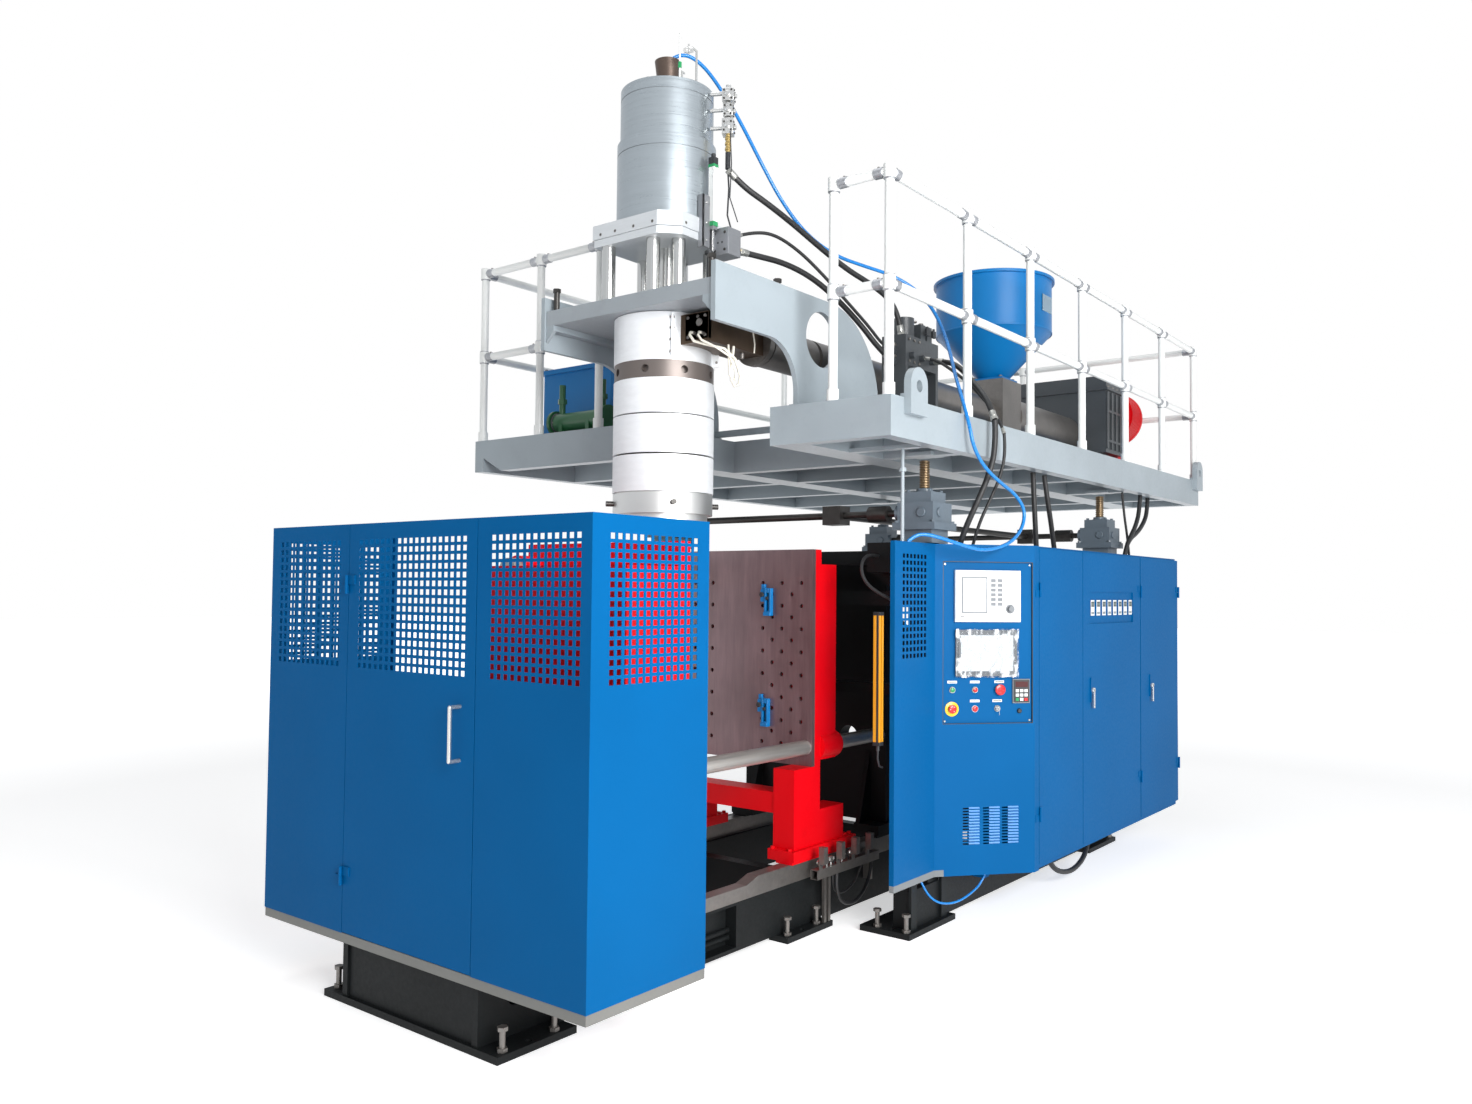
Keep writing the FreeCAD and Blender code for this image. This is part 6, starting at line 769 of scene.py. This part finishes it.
def louvre_lips():
    """Pressed lips over the louvre slots, painted a paler blue than the housing as a painted highlight where
    light falls on them.
    """
    b = Build()
    for s in (0.359, 0.24, 0.129):
        for k in range(13):
            z = 0.433 + 0.016 * k
            s0, s1 = s - 0.031, s + 0.031
            points = [(s0, 0.0, z + 0.011), (s1, 0.0, z + 0.011), (s1, 0.0045, z + 0.003),
                      (s0, 0.0045, z + 0.003), (s0, 0.0, z + 0.003), (s1, 0.0, z + 0.003)]
            b.faces(points, [(0, 1, 2, 3), (3, 2, 5, 4), (0, 3, 4), (1, 5, 2)], 0)
    on_face(b, "louvre_lips", "base", "painted_highlight_blue", slot="blue_paint")


def key_switch():
    """The key in its switch, with a second key hanging from a ring."""
    s, z = 0.219, 1.17
    b = Build()
    b.turned((s, RECESS + 0.0003, z), OUT, [(0.0125, 0), (0.0125, 0.009), (0.0105, 0.0117)], 0, 36)
    b.turned((s, RECESS - STEM_DEPTH, z), OUT, [(0.0079, 0), (0.0079, STEM_DEPTH)], 0, 20)
    b.box(s - 0.0012, s + 0.0012, 0, 0.008, z - 0.005, z + 0.005, 0)
    b.turned((s - 0.0011, 0.0135, z), (1, 0, 0), [(0.0064, 0), (0.0064, 0.0022)], 0, 24)
    ring = [(s + 0.0001 * k, 0.016 + 0.004 * cos, z - 0.007 + 0.008 * sin)
            for k, (cos, sin) in enumerate(around(18) + around(1))]
    b.tube(ring, 0.0006, 0, 6)
    b.box(s - 0.0009, s + 0.0009, 0.012, 0.0185, 1.135, 1.156, 0)
    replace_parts(on_face(b, "key_in_switch", "key_switch", "chrome", bevel=0.0003, slot="chrome"),
                "key_switch")


controller()
operator_panel()
panel_film()
keypad()
button_collars()
recess_gasket()
button_caps()
louvre_lips()
key_switch()


# ---------------------------------------------------------------- cabinet doors
def cabinet_details():
    """Displays in the window, lock levers, and keys left in one lock."""
    b = Build()
    window = 2.813
    pitch = (3.602 - window) / 8
    face = -1.398
    for k in range(8):
        x = window + pitch * (k + 0.5)
        b.box(x - 0.03, x + 0.03, face + 0.0012, face + 0.003, 1.6735, 1.7695, 0)
        b.box(x - 0.024, x + 0.024, face + 0.0002, face + 0.0014, 1.728, 1.76, 1)
        for j in range(2):
            b.box(x - 0.021 + j * 0.023, x - 0.003 + j * 0.023, face, face + 0.0014, 1.682, 1.697, 2)
            b.box(x - 0.018 + j * 0.02, x - 0.004 + j * 0.02, face - 0.0001, face + 0.0004, 1.736, 1.752, 3)
    b.done("window_displays", "cabinet_door_middle",
           "white_plastic dark_plastic grey_plastic digits_pale", bevel=0.0006, slot="white_paint")
    y0 = face - 0.0083
    for node, x, z in (("lock_handle_middle", 2.827, 1.217), ("lock_handle_right", 3.95, 1.18)):
        b = Build()
        b.turned((x, y0, z), (0, -1, 0), [(0.0165, 0), (0.0165, 0.01), (0.0145, 0.0155)], 0, 32)
        b.box(x - 0.0085, x + 0.0085, y0 - 0.0155, y0 - 0.005, z - 0.109, z + 0.008, 0)
        b.box(x - 0.007, x + 0.007, y0 - 0.016, y0 - 0.003, z - 0.11, z - 0.092, 0)
        b.rod((x, y0, z), (x, face + 0.011, z), 0.00895, 0, 24)
        b.box(x - 0.009, x + 0.009, face + 0.0033, face + 0.011, z - 0.027, z + 0.009, 0)
        b.rod((x, y0 - 0.0155, z), (x, y0 - 0.016, z), 0.006, 1, 20)
        piece = b.done(node + "_lever", LOCK_BODY[node], "chrome dark_plastic", bevel=0.0012, slot="chrome")
        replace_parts(piece, node)
    # keys left hanging in the right-hand lock
    b = Build()
    x, z, y = 3.965, 1.166, face - 0.0105
    b.box(x - 0.001, x + 0.001, y - 0.004, y, z - 0.022, z + 0.009, 0)
    b.tube([(x + 0.001 * cos, y - 0.003 + 0.003 * cos, z - 0.028 + 0.008 * sin)
            for cos, sin in around(16) + around(1)], 0.0006, 0, 6)
    b.box(x - 0.006, x + 0.006, y - 0.0042, y - 0.0025, z - 0.07, z - 0.034, 0)
    b.done("lock_keys", LOCK_BODY["lock_handle_right"], "chrome", slot="chrome")


BODIES = frame["record"]["behaviour"]["bodies"]
LOCK_BODY = {node: body for body, members in BODIES.items() for node in members}
cabinet_details()


# ---------------------------------------------------------------- head
def head_instruments():
    """Transducer, bracket, manifold and valve stack beside the shot cylinder."""
    b = Build()
    x, y = 0.442, -0.305
    b.box(x - 0.017, x + 0.017, y - 0.017, y + 0.017, 3.704, 3.988, 0)
    for x0 in (x - 0.0185, x + 0.01):
        b.box(x0, x0 + 0.0085, y - 0.0185, y - 0.01, 3.704, 3.988, 0)
    for z0, z1 in ((3.68, 3.704), (3.988, 4.003)):
        b.box(x - 0.019, x + 0.019, y - 0.019, y + 0.019, z0, z1, 1)
    b.box(x - 0.018, x + 0.018, y - 0.018, y + 0.018, 4.003, 4.04, 2)
    b.post(x, y, 4.04, 4.062, 0.012, 2, 20, 0.003)
    b.post(x, y, 3.3, 3.68, 0.005, 4, 12)
    b.post(x, y, 3.3, 3.33, 0.011, 4, 16, 0.002)
    b.box(0.372, 0.4235, -0.3, -0.292, 3.565, 3.835, 3)
    b.box(0.372, 0.38, -0.3, -0.262, 3.565, 3.835, 3)
    for z in (3.6, 3.69, 3.795):
        b.rod((0.395, -0.3, z), (0.395, -0.306, z), 0.007, 4, 12, 0.001)
    b.box(0.425, 0.459, y - 0.017, -0.274, 3.662, 3.68, 3)
    b.box(0.47, 0.575, -0.385, -0.272, 3.535, 3.675, 3)
    b.box(0.44, 0.47, -0.3, -0.272, 3.56, 3.66, 3)
    for dy, dz in itertools.product((-0.362, -0.298), (3.56, 3.65)):
        b.rod((0.4665, dy, dz), (0.4705, dy, dz), 0.0075, 6, 14, 0.0015)
    for dy in (-0.345, -0.318):
        b.rod((0.469, dy, 3.6), (0.4704, dy, 3.6), 0.006, 2, 14)
    b.hexagon((0.575, -0.329, 3.597), (0.597, -0.329, 3.597), 0.016, 4)
    b.rod((0.59, -0.329, 3.597), (0.64, -0.329, 3.602), 0.01, 5, 16)
    b.hexagon((0.6, -0.329, 3.598), (0.616, -0.329, 3.6), 0.014, 5)
    # pins beside the bracket
    b.post(0.398, -0.318, 3.3, 3.52, 0.012, 2, 18)
    b.post(0.398, -0.318, 3.52, 3.54, 0.022, 2, 22, 0.004)
    # small rods and valve on top of the shot cylinder
    b.post(0.428, -0.195, 4.433, 4.628, 0.006, 4, 12)
    b.rod((0.43, -0.195, 4.626), (0.39, -0.195, 4.632), 0.006, 4, 12)
    b.rod((0.392, -0.195, 4.618), (0.335, -0.195, 4.596), 0.014, 4, 16, 0.003)
    b.hexagon((0.372, -0.195, 4.61), (0.352, -0.195, 4.602), 0.019, 4)
    b.post(0.365, -0.195, 4.606, 4.64, 0.005, 4, 10)
    b.post(0.284, -0.205, 4.433, 4.66, 0.0045, 0, 12)
    b.post(0.284, -0.205, 4.48, 4.512, 0.01, 1, 16, 0.002)
    b.rod((0.284, -0.205, 4.468), (0.322, -0.205, 4.466), 0.005, 4, 10)
    b.post(0.3, -0.205, 4.433, 4.47, 0.007, 4, 12)
    # valve stack: brass joint, sleeve and wires below it
    cx, cy = 0.53, -0.33
    b.post(cx, cy, 4.09, 4.188, 0.0125, 5, 20)
    for z in (4.1, 4.128, 4.156):
        b.nut(cx, cy, z, z + 0.014, 0.018, 5)
    b.post(cx, cy, 4.0, 4.092, 0.0135, 2, 20, 0.003)
    for z in (4.221, 4.317, 4.404):
        b.rod((0.487, -0.246, z), (0.53, -0.33, z), 0.011, 4, 14)
    b.tube([(cx, cy, 4.005), (cx + 0.006, cy - 0.004, 3.9), (cx + 0.004, cy + 0.003, 3.76),
            (cx + 0.03, cy, 3.7)], 0.0045, 2, 8)
    b.tube([(cx - 0.02, cy - 0.03, 4.19), (cx - 0.012, cy - 0.034, 4.02), (cx - 0.018, cy - 0.03, 3.84),
            (cx + 0.05, cy - 0.03, 3.73)], 0.003, 2, 8)
    piece = b.done("instruments", "lift",
                   "white_plastic green_plastic dark_plastic bare_grey chrome brass dark_steel",
                   bevel=0.0012, slot="white_paint")
    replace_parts(piece, "head_instruments")
    # the valves themselves, turned on their stem
    turn = Matrix.Translation((cx, cy, 0)) @ Matrix.Rotation(math.radians(31), 4, "Z")
    b = Build()
    for z0, z1, wide in ((4.18, 4.262, 0.03), (4.276, 4.34, 0.025), (4.356, 4.42, 0.031)):
        b.box(-wide, wide, -wide, wide, z0, z1, 0)
        b.turned((0, 0, z1), UP, [(0.02, 0), (0.02, 0.008), (0.014, 0.012)], 0, 24, caps=(False, True))
        middle = (z0 + z1) / 2
        for way, rise in itertools.product((-wide * 0.62, wide * 0.62), (middle - 0.022, middle + 0.022)):
            b.rod((-wide, way, rise), (-wide - 0.005, way, rise), 0.0055, 1, 12)
            b.rod((way, -wide, rise), (way, -wide - 0.005, rise), 0.0055, 1, 12)
        b.rod((-wide, 0, middle), (-wide - 0.016, 0, middle), 0.013, 0, 20, 0.003)
        b.rod((0, -wide, middle), (0, -wide - 0.014, middle), 0.012, 0, 20, 0.003)
    b.rod((0.031, 0.008, 4.392), (0.048, 0.008, 4.392), 0.007, 2, 16, 0.002)
    b.post(0, 0, 4.42, 4.448, 0.014, 0, 20, 0.003)
    b.done("valve_stack", "lift", "chrome dark_steel red_plastic", place=turn, bevel=0.002, slot="chrome")


def cylinder_block():
    """Two machined plates with countersunk screws; a flat dark hexagon on each head is painted shade for its
    socket.
    """
    def plate(b, half, corner, z0, z1, mat):
        x0, x1 = HEAD_X - half, HEAD_X + half
        ring = [(x0 + corner, -half), (x1 - corner, -half), (x1, -half + corner), (x1, half), (x0, half),
                (x0, -half + corner)]
        points = [(x, y, z0) for x, y in ring] + [(x, y, z1) for x, y in ring]
        n = len(ring)
        sides = [(i, (i + 1) % n, n + (i + 1) % n, n + i) for i in range(n)]
        b.faces(points, [tuple(reversed(range(n))), tuple(range(n, 2 * n)), *sides], mat)
    b = Build()
    plate(b, 0.272, 0.09, 3.64, 3.715, 0)
    plate(b, 0.266, 0.092, 3.6, 3.6385, 0)
    # each screw's socket is a flat dark hexagon: painted shade in place of the hollow
    for y in (-0.15, -0.02, 0.11, 0.215):
        b.rod((0.15, y, 3.662), (0.1494, y, 3.662), 0.0085, 1, 20)
        b.rod((0.1499, y, 3.662), (0.149, y, 3.662), 0.0045, 2, 6)
    for x in (0.27, 0.42, 0.575):
        b.rod((x, -0.272, 3.662), (x, -0.2726, 3.662), 0.0085, 1, 20)
        b.rod((x, -0.2719, 3.662), (x, -0.273, 3.662), 0.0045, 2, 6)
    piece = b.done("block_plates", "lift", "block_steel dull_steel dark_plastic", bevel=0.0025, slot="steel")
    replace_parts(piece, "cylinder_block")


def shot_cylinder_fittings():
    """Flange screws on the shot cylinder's top."""
    b = Build()
    for cos, sin in around(12, 0.5):
        x, y = HEAD_X + 0.222 * cos, 0.222 * sin
        b.post(x, y, 4.4345, 4.4445, 0.012, 0, 18, 0.002)
        # a flat dark hexagon on each head is painted shade for its socket
        b.post(x, y, 4.444, 4.445, 0.006, 1, 6)
    b.done("top_screws", "lift", "dull_steel dark_plastic", slot="steel")


def heater_fittings():
    """Clamp bars and screws of the heater bands, on the side away from the clamp."""
    b = Build()
    out, along = spoke(62)
    base = Vector((HEAD_X, 0, 0)) + out * 0.2655
    for z0, z1 in ((2.307, 2.493), (2.502, 2.698), (2.705, 2.882)):
        for j in range(3):
            middle = base + Vector((0, 0, z0 + (z1 - z0) * (0.2 + 0.3 * j)))
            p = middle + along * 0.018 + out * 0.006
            q = middle - along * 0.018 + out * 0.006
            b.rod(p, q, 0.004, 1, 10)
            b.hexagon(p, p + along * 0.005, 0.0075, 1)
            for side in (-1, 1):
                c = middle + along * 0.011 * side
                b.box(c.x - 0.005, c.x + 0.005, c.y - 0.005, c.y + 0.005, c.z - 0.013, c.z + 0.013, 0)
    b.done("band_clamps", "lift", "band_steel dull_steel", slot="steel")


def jack_threads():
    """The jack screws' threads."""
    b = Build()
    profile = [(0.0245, 0.0)]
    for z in (0.004 + 0.014 * k for k in range(56)):
        profile += [(0.0295, z), (0.0295, z + 0.005), (0.0245, z + 0.008), (0.0245, z + 0.01)]
    for x, y in JACKS:
        b.turned((x, y, 1.754), UP, profile, 0, 24)
    piece = b.done("screw_threads", "lift", "thread_steel", slot="steel")
    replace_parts(piece, "jack_screws")


head_instruments()
cylinder_block()
shot_cylinder_fittings()
heater_fittings()
jack_threads()


# ---------------------------------------------------------------- clamp
def mould_clamps():
    """Two clamps on the rear mould face, with their screws."""
    b = Build()
    for y, z in ((-0.217, 1.756), (-0.203, 1.143)):
        x0, x1 = 1.044, 1.07
        y0, y1 = y - 0.036, y + 0.01
        b.box(x0, x1, y0, y0 + 0.013, z - 0.088, z + 0.066, 0)
        b.box(x0, x1, y1 - 0.013, y1, z - 0.088, z + 0.066, 0)
        b.box(x0, x1, y0 + 0.013, y1 - 0.013, z + 0.04, z + 0.066, 0)
        b.box(x0, x1, y0 + 0.013, y1 - 0.013, z - 0.088, z - 0.06, 0)
        b.box(1.0355, x0, y0, y1, z - 0.088, z - 0.066, 0)
        b.box(x0 + 0.004, x1, y1, y + 0.038, z - 0.01, z + 0.06, 0)
        b.box(x0 + 0.01, x1, y + 0.012, y + 0.036, z + 0.06, z + 0.088, 0)
        b.rod((x1, y + 0.024, z + 0.03), (1.0405, y + 0.024, z + 0.03), 0.013, 1, 24, 0.003)
        b.hexagon((1.0405, y + 0.024, z + 0.03), (1.0355, y + 0.024, z + 0.03), 0.016, 1)
        b.hexagon((1.052, y - 0.013, z + 0.01), (1.0385, y - 0.013, z + 0.01), 0.011, 1)
        b.rod((x1, y - 0.013, z + 0.01), (1.04, y - 0.013, z + 0.01), 0.007, 1, 16)
    piece = b.done("clamp_pieces", "rear_carriage", "blue_part dark_plastic", bevel=0.002, slot="blue_paint")
    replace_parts(piece, "mould_clamps")


def light_curtain():
    """Amber post with a dark slit, end caps and a lead."""
    b = Build()
    x0, x1, y0, y1, z0, z1 = 1.032, 1.072, -0.96, -0.922, 1.016, 1.702
    b.box(x0, x1, y0 + 0.024, y1, z0, z1, 0)
    b.box(x0, x0 + 0.014, y0, y0 + 0.024, z0, z1, 0)
    b.box(x1 - 0.014, x1, y0, y0 + 0.024, z0, z1, 0)
    b.box(x0 + 0.014, x1 - 0.014, y0 + 0.008, y0 + 0.024, z0, z1, 1)
    b.box(x0, x0 - 0.0018, y0 + 0.006, y1 - 0.02, z0 + 0.01, z1 - 0.01, 1)
    for low, high in ((z0 - 0.0005, z0 + 0.018), (z1 - 0.018, z1 + 0.0005)):
        b.box(x0 - 0.001, x1 + 0.001, y0 - 0.001, y1 + 0.001, low, high, 1)
    b.post(1.052, -0.94, z0, z0 - 0.03, 0.009, 1, 18, 0.002)
    b.tube([(1.052, -0.94, z0 - 0.028), (1.054, -0.938, z0 - 0.07), (1.075, -0.935, z0 - 0.11),
            (1.11, -0.935, z0 - 0.12)], 0.005, 1, 8)
    piece = b.done("curtain_post", "base", "amber_paint dark_plastic", bevel=0.0015, slot="yellow_paint")
    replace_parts(piece, "light_curtain")


def tray_switches():
    """Proximity switches on their posts with leads gathered into the tray."""
    b = Build()
    for k, x in enumerate((1.05, 1.11, 1.15, 1.26, 1.36)):
        b.post(x, -0.592, 0.335, 0.372, 0.006, 0, 12)
        b.box(x - 0.014, x + 0.014, -0.6, -0.584, 0.352, 0.382, 2)
        b.rod((x - 0.03, -0.592, 0.368), (x + 0.03, -0.592, 0.368), 0.007, 0, 14, 0.001)
        for start in (x - 0.02, x + 0.014):
            b.hexagon((start, -0.592, 0.368), (start + 0.006, -0.592, 0.368), 0.011, 0)
        b.tube([(x + 0.03, -0.592, 0.368), (x + 0.048, -0.592, 0.366), (x + 0.062, -0.594, 0.352),
                (x + 0.075, -0.594, 0.318)], 0.0032, 1, 8)
    b.done("tray_switches", "base", "chrome dark_plastic dull_steel", bevel=0.001, slot="steel")


mould_clamps()
light_curtain()
tray_switches()


# ---------------------------------------------------------------- platform
def railing_sleeves():
    """Pressed clamp sleeves where rails meet posts, and sockets at the posts' feet."""
    step = (5.782 - 0.734) / 6
    near = [(0.734 + step * k, -1.18) for k in range(7)]
    far = [(0.734 + step * 2 * k, 1.853) for k in range(4)]
    runs = [near, far, [(0.734, -1.18), (0.734, -0.857)], [(0.734, 0.799), (0.734, 1.318), (0.734, 1.853)],
            [(5.782, -1.18), (5.782, 0.3365), (5.782, 1.853)]]
    rails = (3.312, 3.862)
    b = Build()
    posts = []
    for run in runs:
        for place in run:
            if place not in posts:
                posts.append(place)
        for first, last in zip(run, run[1:]):
            for z in rails:
                start, end = Vector((*first, z)), Vector((*last, z))
                along = (end - start).normalized()
                for spot, way in ((start, along), (end, -along)):
                    low, high = spot + way * 0.03, spot + way * 0.085
                    b.rod(low, high, 0.0275, 0, 20, 0.004)
                    side = spot + way * 0.062
                    b.post(side.x, side.y, side.z + 0.024, side.z + 0.033, 0.007, 1, 10, 0.001)
    for x, y in posts:
        b.post(x, y, 2.762, 2.822, 0.0309, 0, 22, 0.003)
        for z in rails:
            top = min(z + 0.042, 3.884)
            b.post(x, y, z - 0.042, top, 0.0305, 0, 22, 0.004)
    b.done("rail_sleeves", "lift", "sleeve_grey dull_steel", slot="steel")


def melt_neck():
    """Neck with end plate, side rails, screws, terminals and pale leads."""
    b = Build()
    x0, x1, y0, y1, z0, z1 = 0.3, 0.76, -0.4, -0.2675, 3.052, 3.202
    b.box(x0, x0 + 0.024, y0, y1 + 0.02, z0 + 0.012, z1 - 0.002, 1)
    b.box(x0 + 0.024, x1, y0 + 0.01, y1, z0 + 0.02, z1 - 0.012, 0)
    for z in (z0 + 0.012, z1 - 0.02):
        b.box(x0 + 0.024, x1, y0 + 0.002, y0 + 0.012, z, z + 0.01, 2)
    for k in range(6):
        x = x0 + 0.06 + 0.075 * k
        b.box(x, x + 0.008, y0 + 0.001, y0 + 0.01, z0 + 0.022, z1 - 0.022, 2)
        for z in (z0 + 0.036, z1 - 0.034):
            b.hexagon((x + 0.036, y0 + 0.008, z), (x + 0.036, y0 + 0.0005, z), 0.009, 3)
    for y in (y0 + 0.018, y0 + 0.066, y1 - 0.002):
        for z in (z0 + 0.03, z1 - 0.022):
            b.hexagon((x0, y, z), (x0 - 0.008, y, z), 0.009, 3)
    b.rod((x0, -0.345, 3.15), (x0 - 0.01, -0.345, 3.15), 0.02, 3, 24, 0.003)
    for y, z in ((-0.318, 3.096), (-0.372, 3.09)):
        b.rod((x0, y, z), (x0 - 0.026, y, z), 0.009, 3, 16, 0.002)
        b.rod((x0 - 0.022, y, z), (x0 - 0.04, y, z), 0.0065, 4, 14)
    b.tube([(x0 - 0.038, -0.318, 3.096), (x0 - 0.052, -0.322, 3.08), (x0 - 0.04, -0.34, 3.048),
            (x0 + 0.02, -0.372, 3.038), (x0 + 0.12, -0.408, 3.03), (x0 + 0.19, -0.424, 2.985),
            (x0 + 0.228, -0.428, 2.905), (x0 + 0.222, -0.424, 2.862), (x0 + 0.19, -0.42, 2.848),
            (x0 + 0.168, -0.416, 2.878), (x0 + 0.176, -0.412, 2.96), (x0 + 0.195, -0.408, 3.055)], 0.0075,
            4, 10)
    b.tube([(x0 - 0.038, -0.372, 3.09), (x0 - 0.05, -0.376, 3.074), (x0 - 0.036, -0.384, 3.05),
            (x0 + 0.06, -0.398, 3.03), (x0 + 0.15, -0.418, 2.995), (x0 + 0.196, -0.424, 2.92),
            (x0 + 0.19, -0.42, 2.88), (x0 + 0.16, -0.412, 2.9), (x0 + 0.156, -0.404, 3.058)], 0.006, 4, 10)
    b.tube([(x0 + 0.33, y0 + 0.004, 3.182), (x0 + 0.352, y0 - 0.012, 3.16), (x0 + 0.366, y0 - 0.014, 3.095),
            (x0 + 0.372, y0 - 0.006, 3.05)], 0.004, 4, 8)
    for x in (x0 + 0.25, x0 + 0.34):
        b.post(x, -0.35, z0 + 0.02, z0 - 0.03, 0.012, 3, 16, 0.002)
    b.done("neck_fittings", "lift", "neck_dark brown_steel dark_steel dull_steel lead_white",
           bevel=0.0015, slot="steel")


def top_band():
    """Flanges and screws of the split top band."""
    b = Build()
    for turn in (229.5, 312):
        out, along = spoke(turn)
        p = Vector((HEAD_X, 0, 0)) + out * 0.262
        q = p + out * 0.026
        w = along * 0.006
        points = [tuple(v + Vector((0, 0, z))) for z in (2.99, 3.2) for v in (p - w, q - w, q + w, p + w)]
        sides = [(k, (k + 1) % 4, (k + 1) % 4 + 4, k + 4) for k in range(4)]
        b.faces(points, [(0, 1, 2, 3), (4, 5, 6, 7), *sides], 0)
        for z in (3.012, 3.072, 3.132, 3.186):
            c = p + out * 0.014 + Vector((0, 0, z))
            b.rod(c - along * 0.012, c + along * 0.012, 0.0065, 1, 12, 0.001)
    b.done("band_flanges", "lift", "band_steel dull_steel", bevel=0.001, slot="steel")


def drive_details():
    """Bolts, ribs, covers and eyes on gearbox, motor, hopper and lantern."""
    b = Build()
    for y in (-0.69, -0.56, -0.43, -0.3, -0.17, -0.04):
        b.nut(5.06, y, 3.5, 3.514, 0.014, 1)
    for x in (5.06, 5.16, 5.26, 5.36, 5.415):
        b.nut(x, -0.7135, 3.5, 3.513, 0.014, 1)
        b.box(x - 0.011, x + 0.011, -0.716, -0.704, 3.0, 3.47, 0)
    for z in (3.055, 3.3):
        b.box(5.075, 5.4, -0.7145, -0.704, z, z + 0.02, 0)
    b.post(5.24, -0.33, 3.6, 3.622, 0.034, 0, 26, 0.005)
    for cos, sin in around(10):
        y, z = HOPPER[1] + 0.2 * cos, 3.127 + 0.145 * sin
        b.hexagon((5.043, y, z), (5.03, y, z), 0.013, 1)
    b.done("gearbox_details", "lift", "dark_paint dull_steel", bevel=0.002, slot="gray_paint")
    b = Build()
    cover = [(0.224, 0), (0.226, 0.03), (0.216, 0.058), (0.15, 0.068), (0.06, 0.07)]
    b.turned((5.7, *MOTOR), (1, 0, 0), cover, 0, 48)
    for cos, sin in around(8):
        y, z = MOTOR[0] + 0.19 * cos, MOTOR[1] + 0.19 * sin
        b.rod((5.765, y, z), (5.771, y, z), 0.008, 1, 12, 0.001)
    for ring in (0.055, 0.085, 0.115):
        edge = [(ring - 0.006, 0), (ring - 0.006, 0.004), (ring + 0.006, 0.004), (ring + 0.006, 0)]
        b.turned((5.7695, *MOTOR), (1, 0, 0), edge, 2, 40, caps=(False, False))
    b.box(5.585, 5.652, -0.628, -0.472, 3.584, 3.592, 0)
    for x, y in itertools.product((5.592, 5.645), (-0.618, -0.482)):
        b.post(x, y, 3.591, 3.597, 0.006, 1, 10, 0.001)
    b.done("motor_details", "lift", "red_part dull_steel dark_plastic", bevel=0.0015, slot="red_paint")
    b = Build()
    for dx, dy in itertools.product((-0.105, 0.0, 0.105), (-0.105, 0.105)):
        b.nut(HOPPER[0] + dx, HOPPER[1] + dy, 3.39, 3.404, 0.013, 1)
    for z, profile in ((4.088, [(0.42, 0), (0.4245, 0.004), (0.4245, 0.018), (0.42, 0.022)]),
                       (3.712, [(0.4195, 0), (0.4225, 0.003), (0.4225, 0.011), (0.4195, 0.014)])):
        b.turned((*HOPPER, z), UP, profile, 0, 72, caps=(False, False))
    b.box(3.64, 3.8, -0.7515, -0.745, 3.84, 3.96, 2)
    b.done("hopper_details", "lift", "blue_part dull_steel sight_glass", bevel=0.001, slot="blue_paint")


def deck_details():
    """Tank lid and filler, cooler heads, valve coils and nuts."""
    b = Build()
    b.box(1.086, 1.714, 1.046, 1.694, 3.25, 3.262, 0)
    b.post(1.22, 1.2, 3.262, 3.33, 0.045, 1, 28, 0.006)
    b.post(1.22, 1.2, 3.33, 3.345, 0.036, 1, 28, 0.005)
    for x, y in itertools.product((1.11, 1.4, 1.69), (1.07, 1.67)):
        b.nut(x, y, 3.262, 3.274, 0.012, 1)
    b.post(1.56, 1.24, 3.262, 3.42, 0.085, 2, 32, 0.008)
    b.done("tank_details", "lift", "blue_part dull_steel dark_plastic", bevel=0.002, slot="blue_paint")
    b = Build()
    for y in (0.87, 1.29):
        b.rod((0.88, y, 2.85), (0.88, y + 0.016, 2.85), 0.066, 0, 30, 0.003)
        for cos, sin in around(6):
            x, z = 0.88 + 0.056 * cos, 2.85 + 0.056 * sin
            b.hexagon((x, y - 0.006, z), (x, y + 0.022, z), 0.007, 1)
    b.done("cooler_details", "lift", "dark_paint dull_steel", slot="green_paint")
    b = Build()
    for x in (1.996, 2.076):
        b.post(x, -0.62, 3.44, 3.452, 0.016, 1, 20, 0.003)
        b.box(x - 0.018, x + 0.018, -0.716, -0.7, 3.35, 3.392, 0)
        b.post(x, -0.708, 3.392, 3.406, 0.008, 0, 14, 0.002)
    for x, z in itertools.product((1.79, 1.85, 1.91), (3.165, 3.295)):
        b.rod((x, -0.7005, z), (x, -0.7075, z), 0.0085, 1, 14, 0.001)
    for z in (3.19, 3.26):
        b.hexagon((1.75, -0.62, z), (1.722, -0.62, z), 0.022, 1)
    b.done("valve_details", "lift", "dark_plastic dull_steel", bevel=0.001, slot="steel")


def base_details():
    """Bolts and covers of the jack housings."""
    b = Build()
    for x, y in JACKS:
        for half, low, high, r in ((0.1, 2.19, 2.206, 0.013), (0.066, 2.36, 2.373, 0.011)):
            for dx, dy in itertools.product((-half, half), (-half, half)):
                b.nut(x + dx, y + dy, low, high, r, 0)
        b.rod((x - 0.11, y - 0.04, 2.245), (x - 0.121, y - 0.04, 2.245), 0.026, 0, 24, 0.003)
        b.rod((x - 0.04, y - 0.11, 2.245), (x - 0.04, y - 0.119, 2.245), 0.026, 0, 24, 0.003)
        b.post(x, y, 2.36, 2.382, 0.046, 0, 28, 0.004)
    b.done("jack_bolts", "base", "jack_grey", bevel=0.001, slot="gray_paint")


railing_sleeves()
melt_neck()
top_band()
drive_details()
deck_details()
base_details()
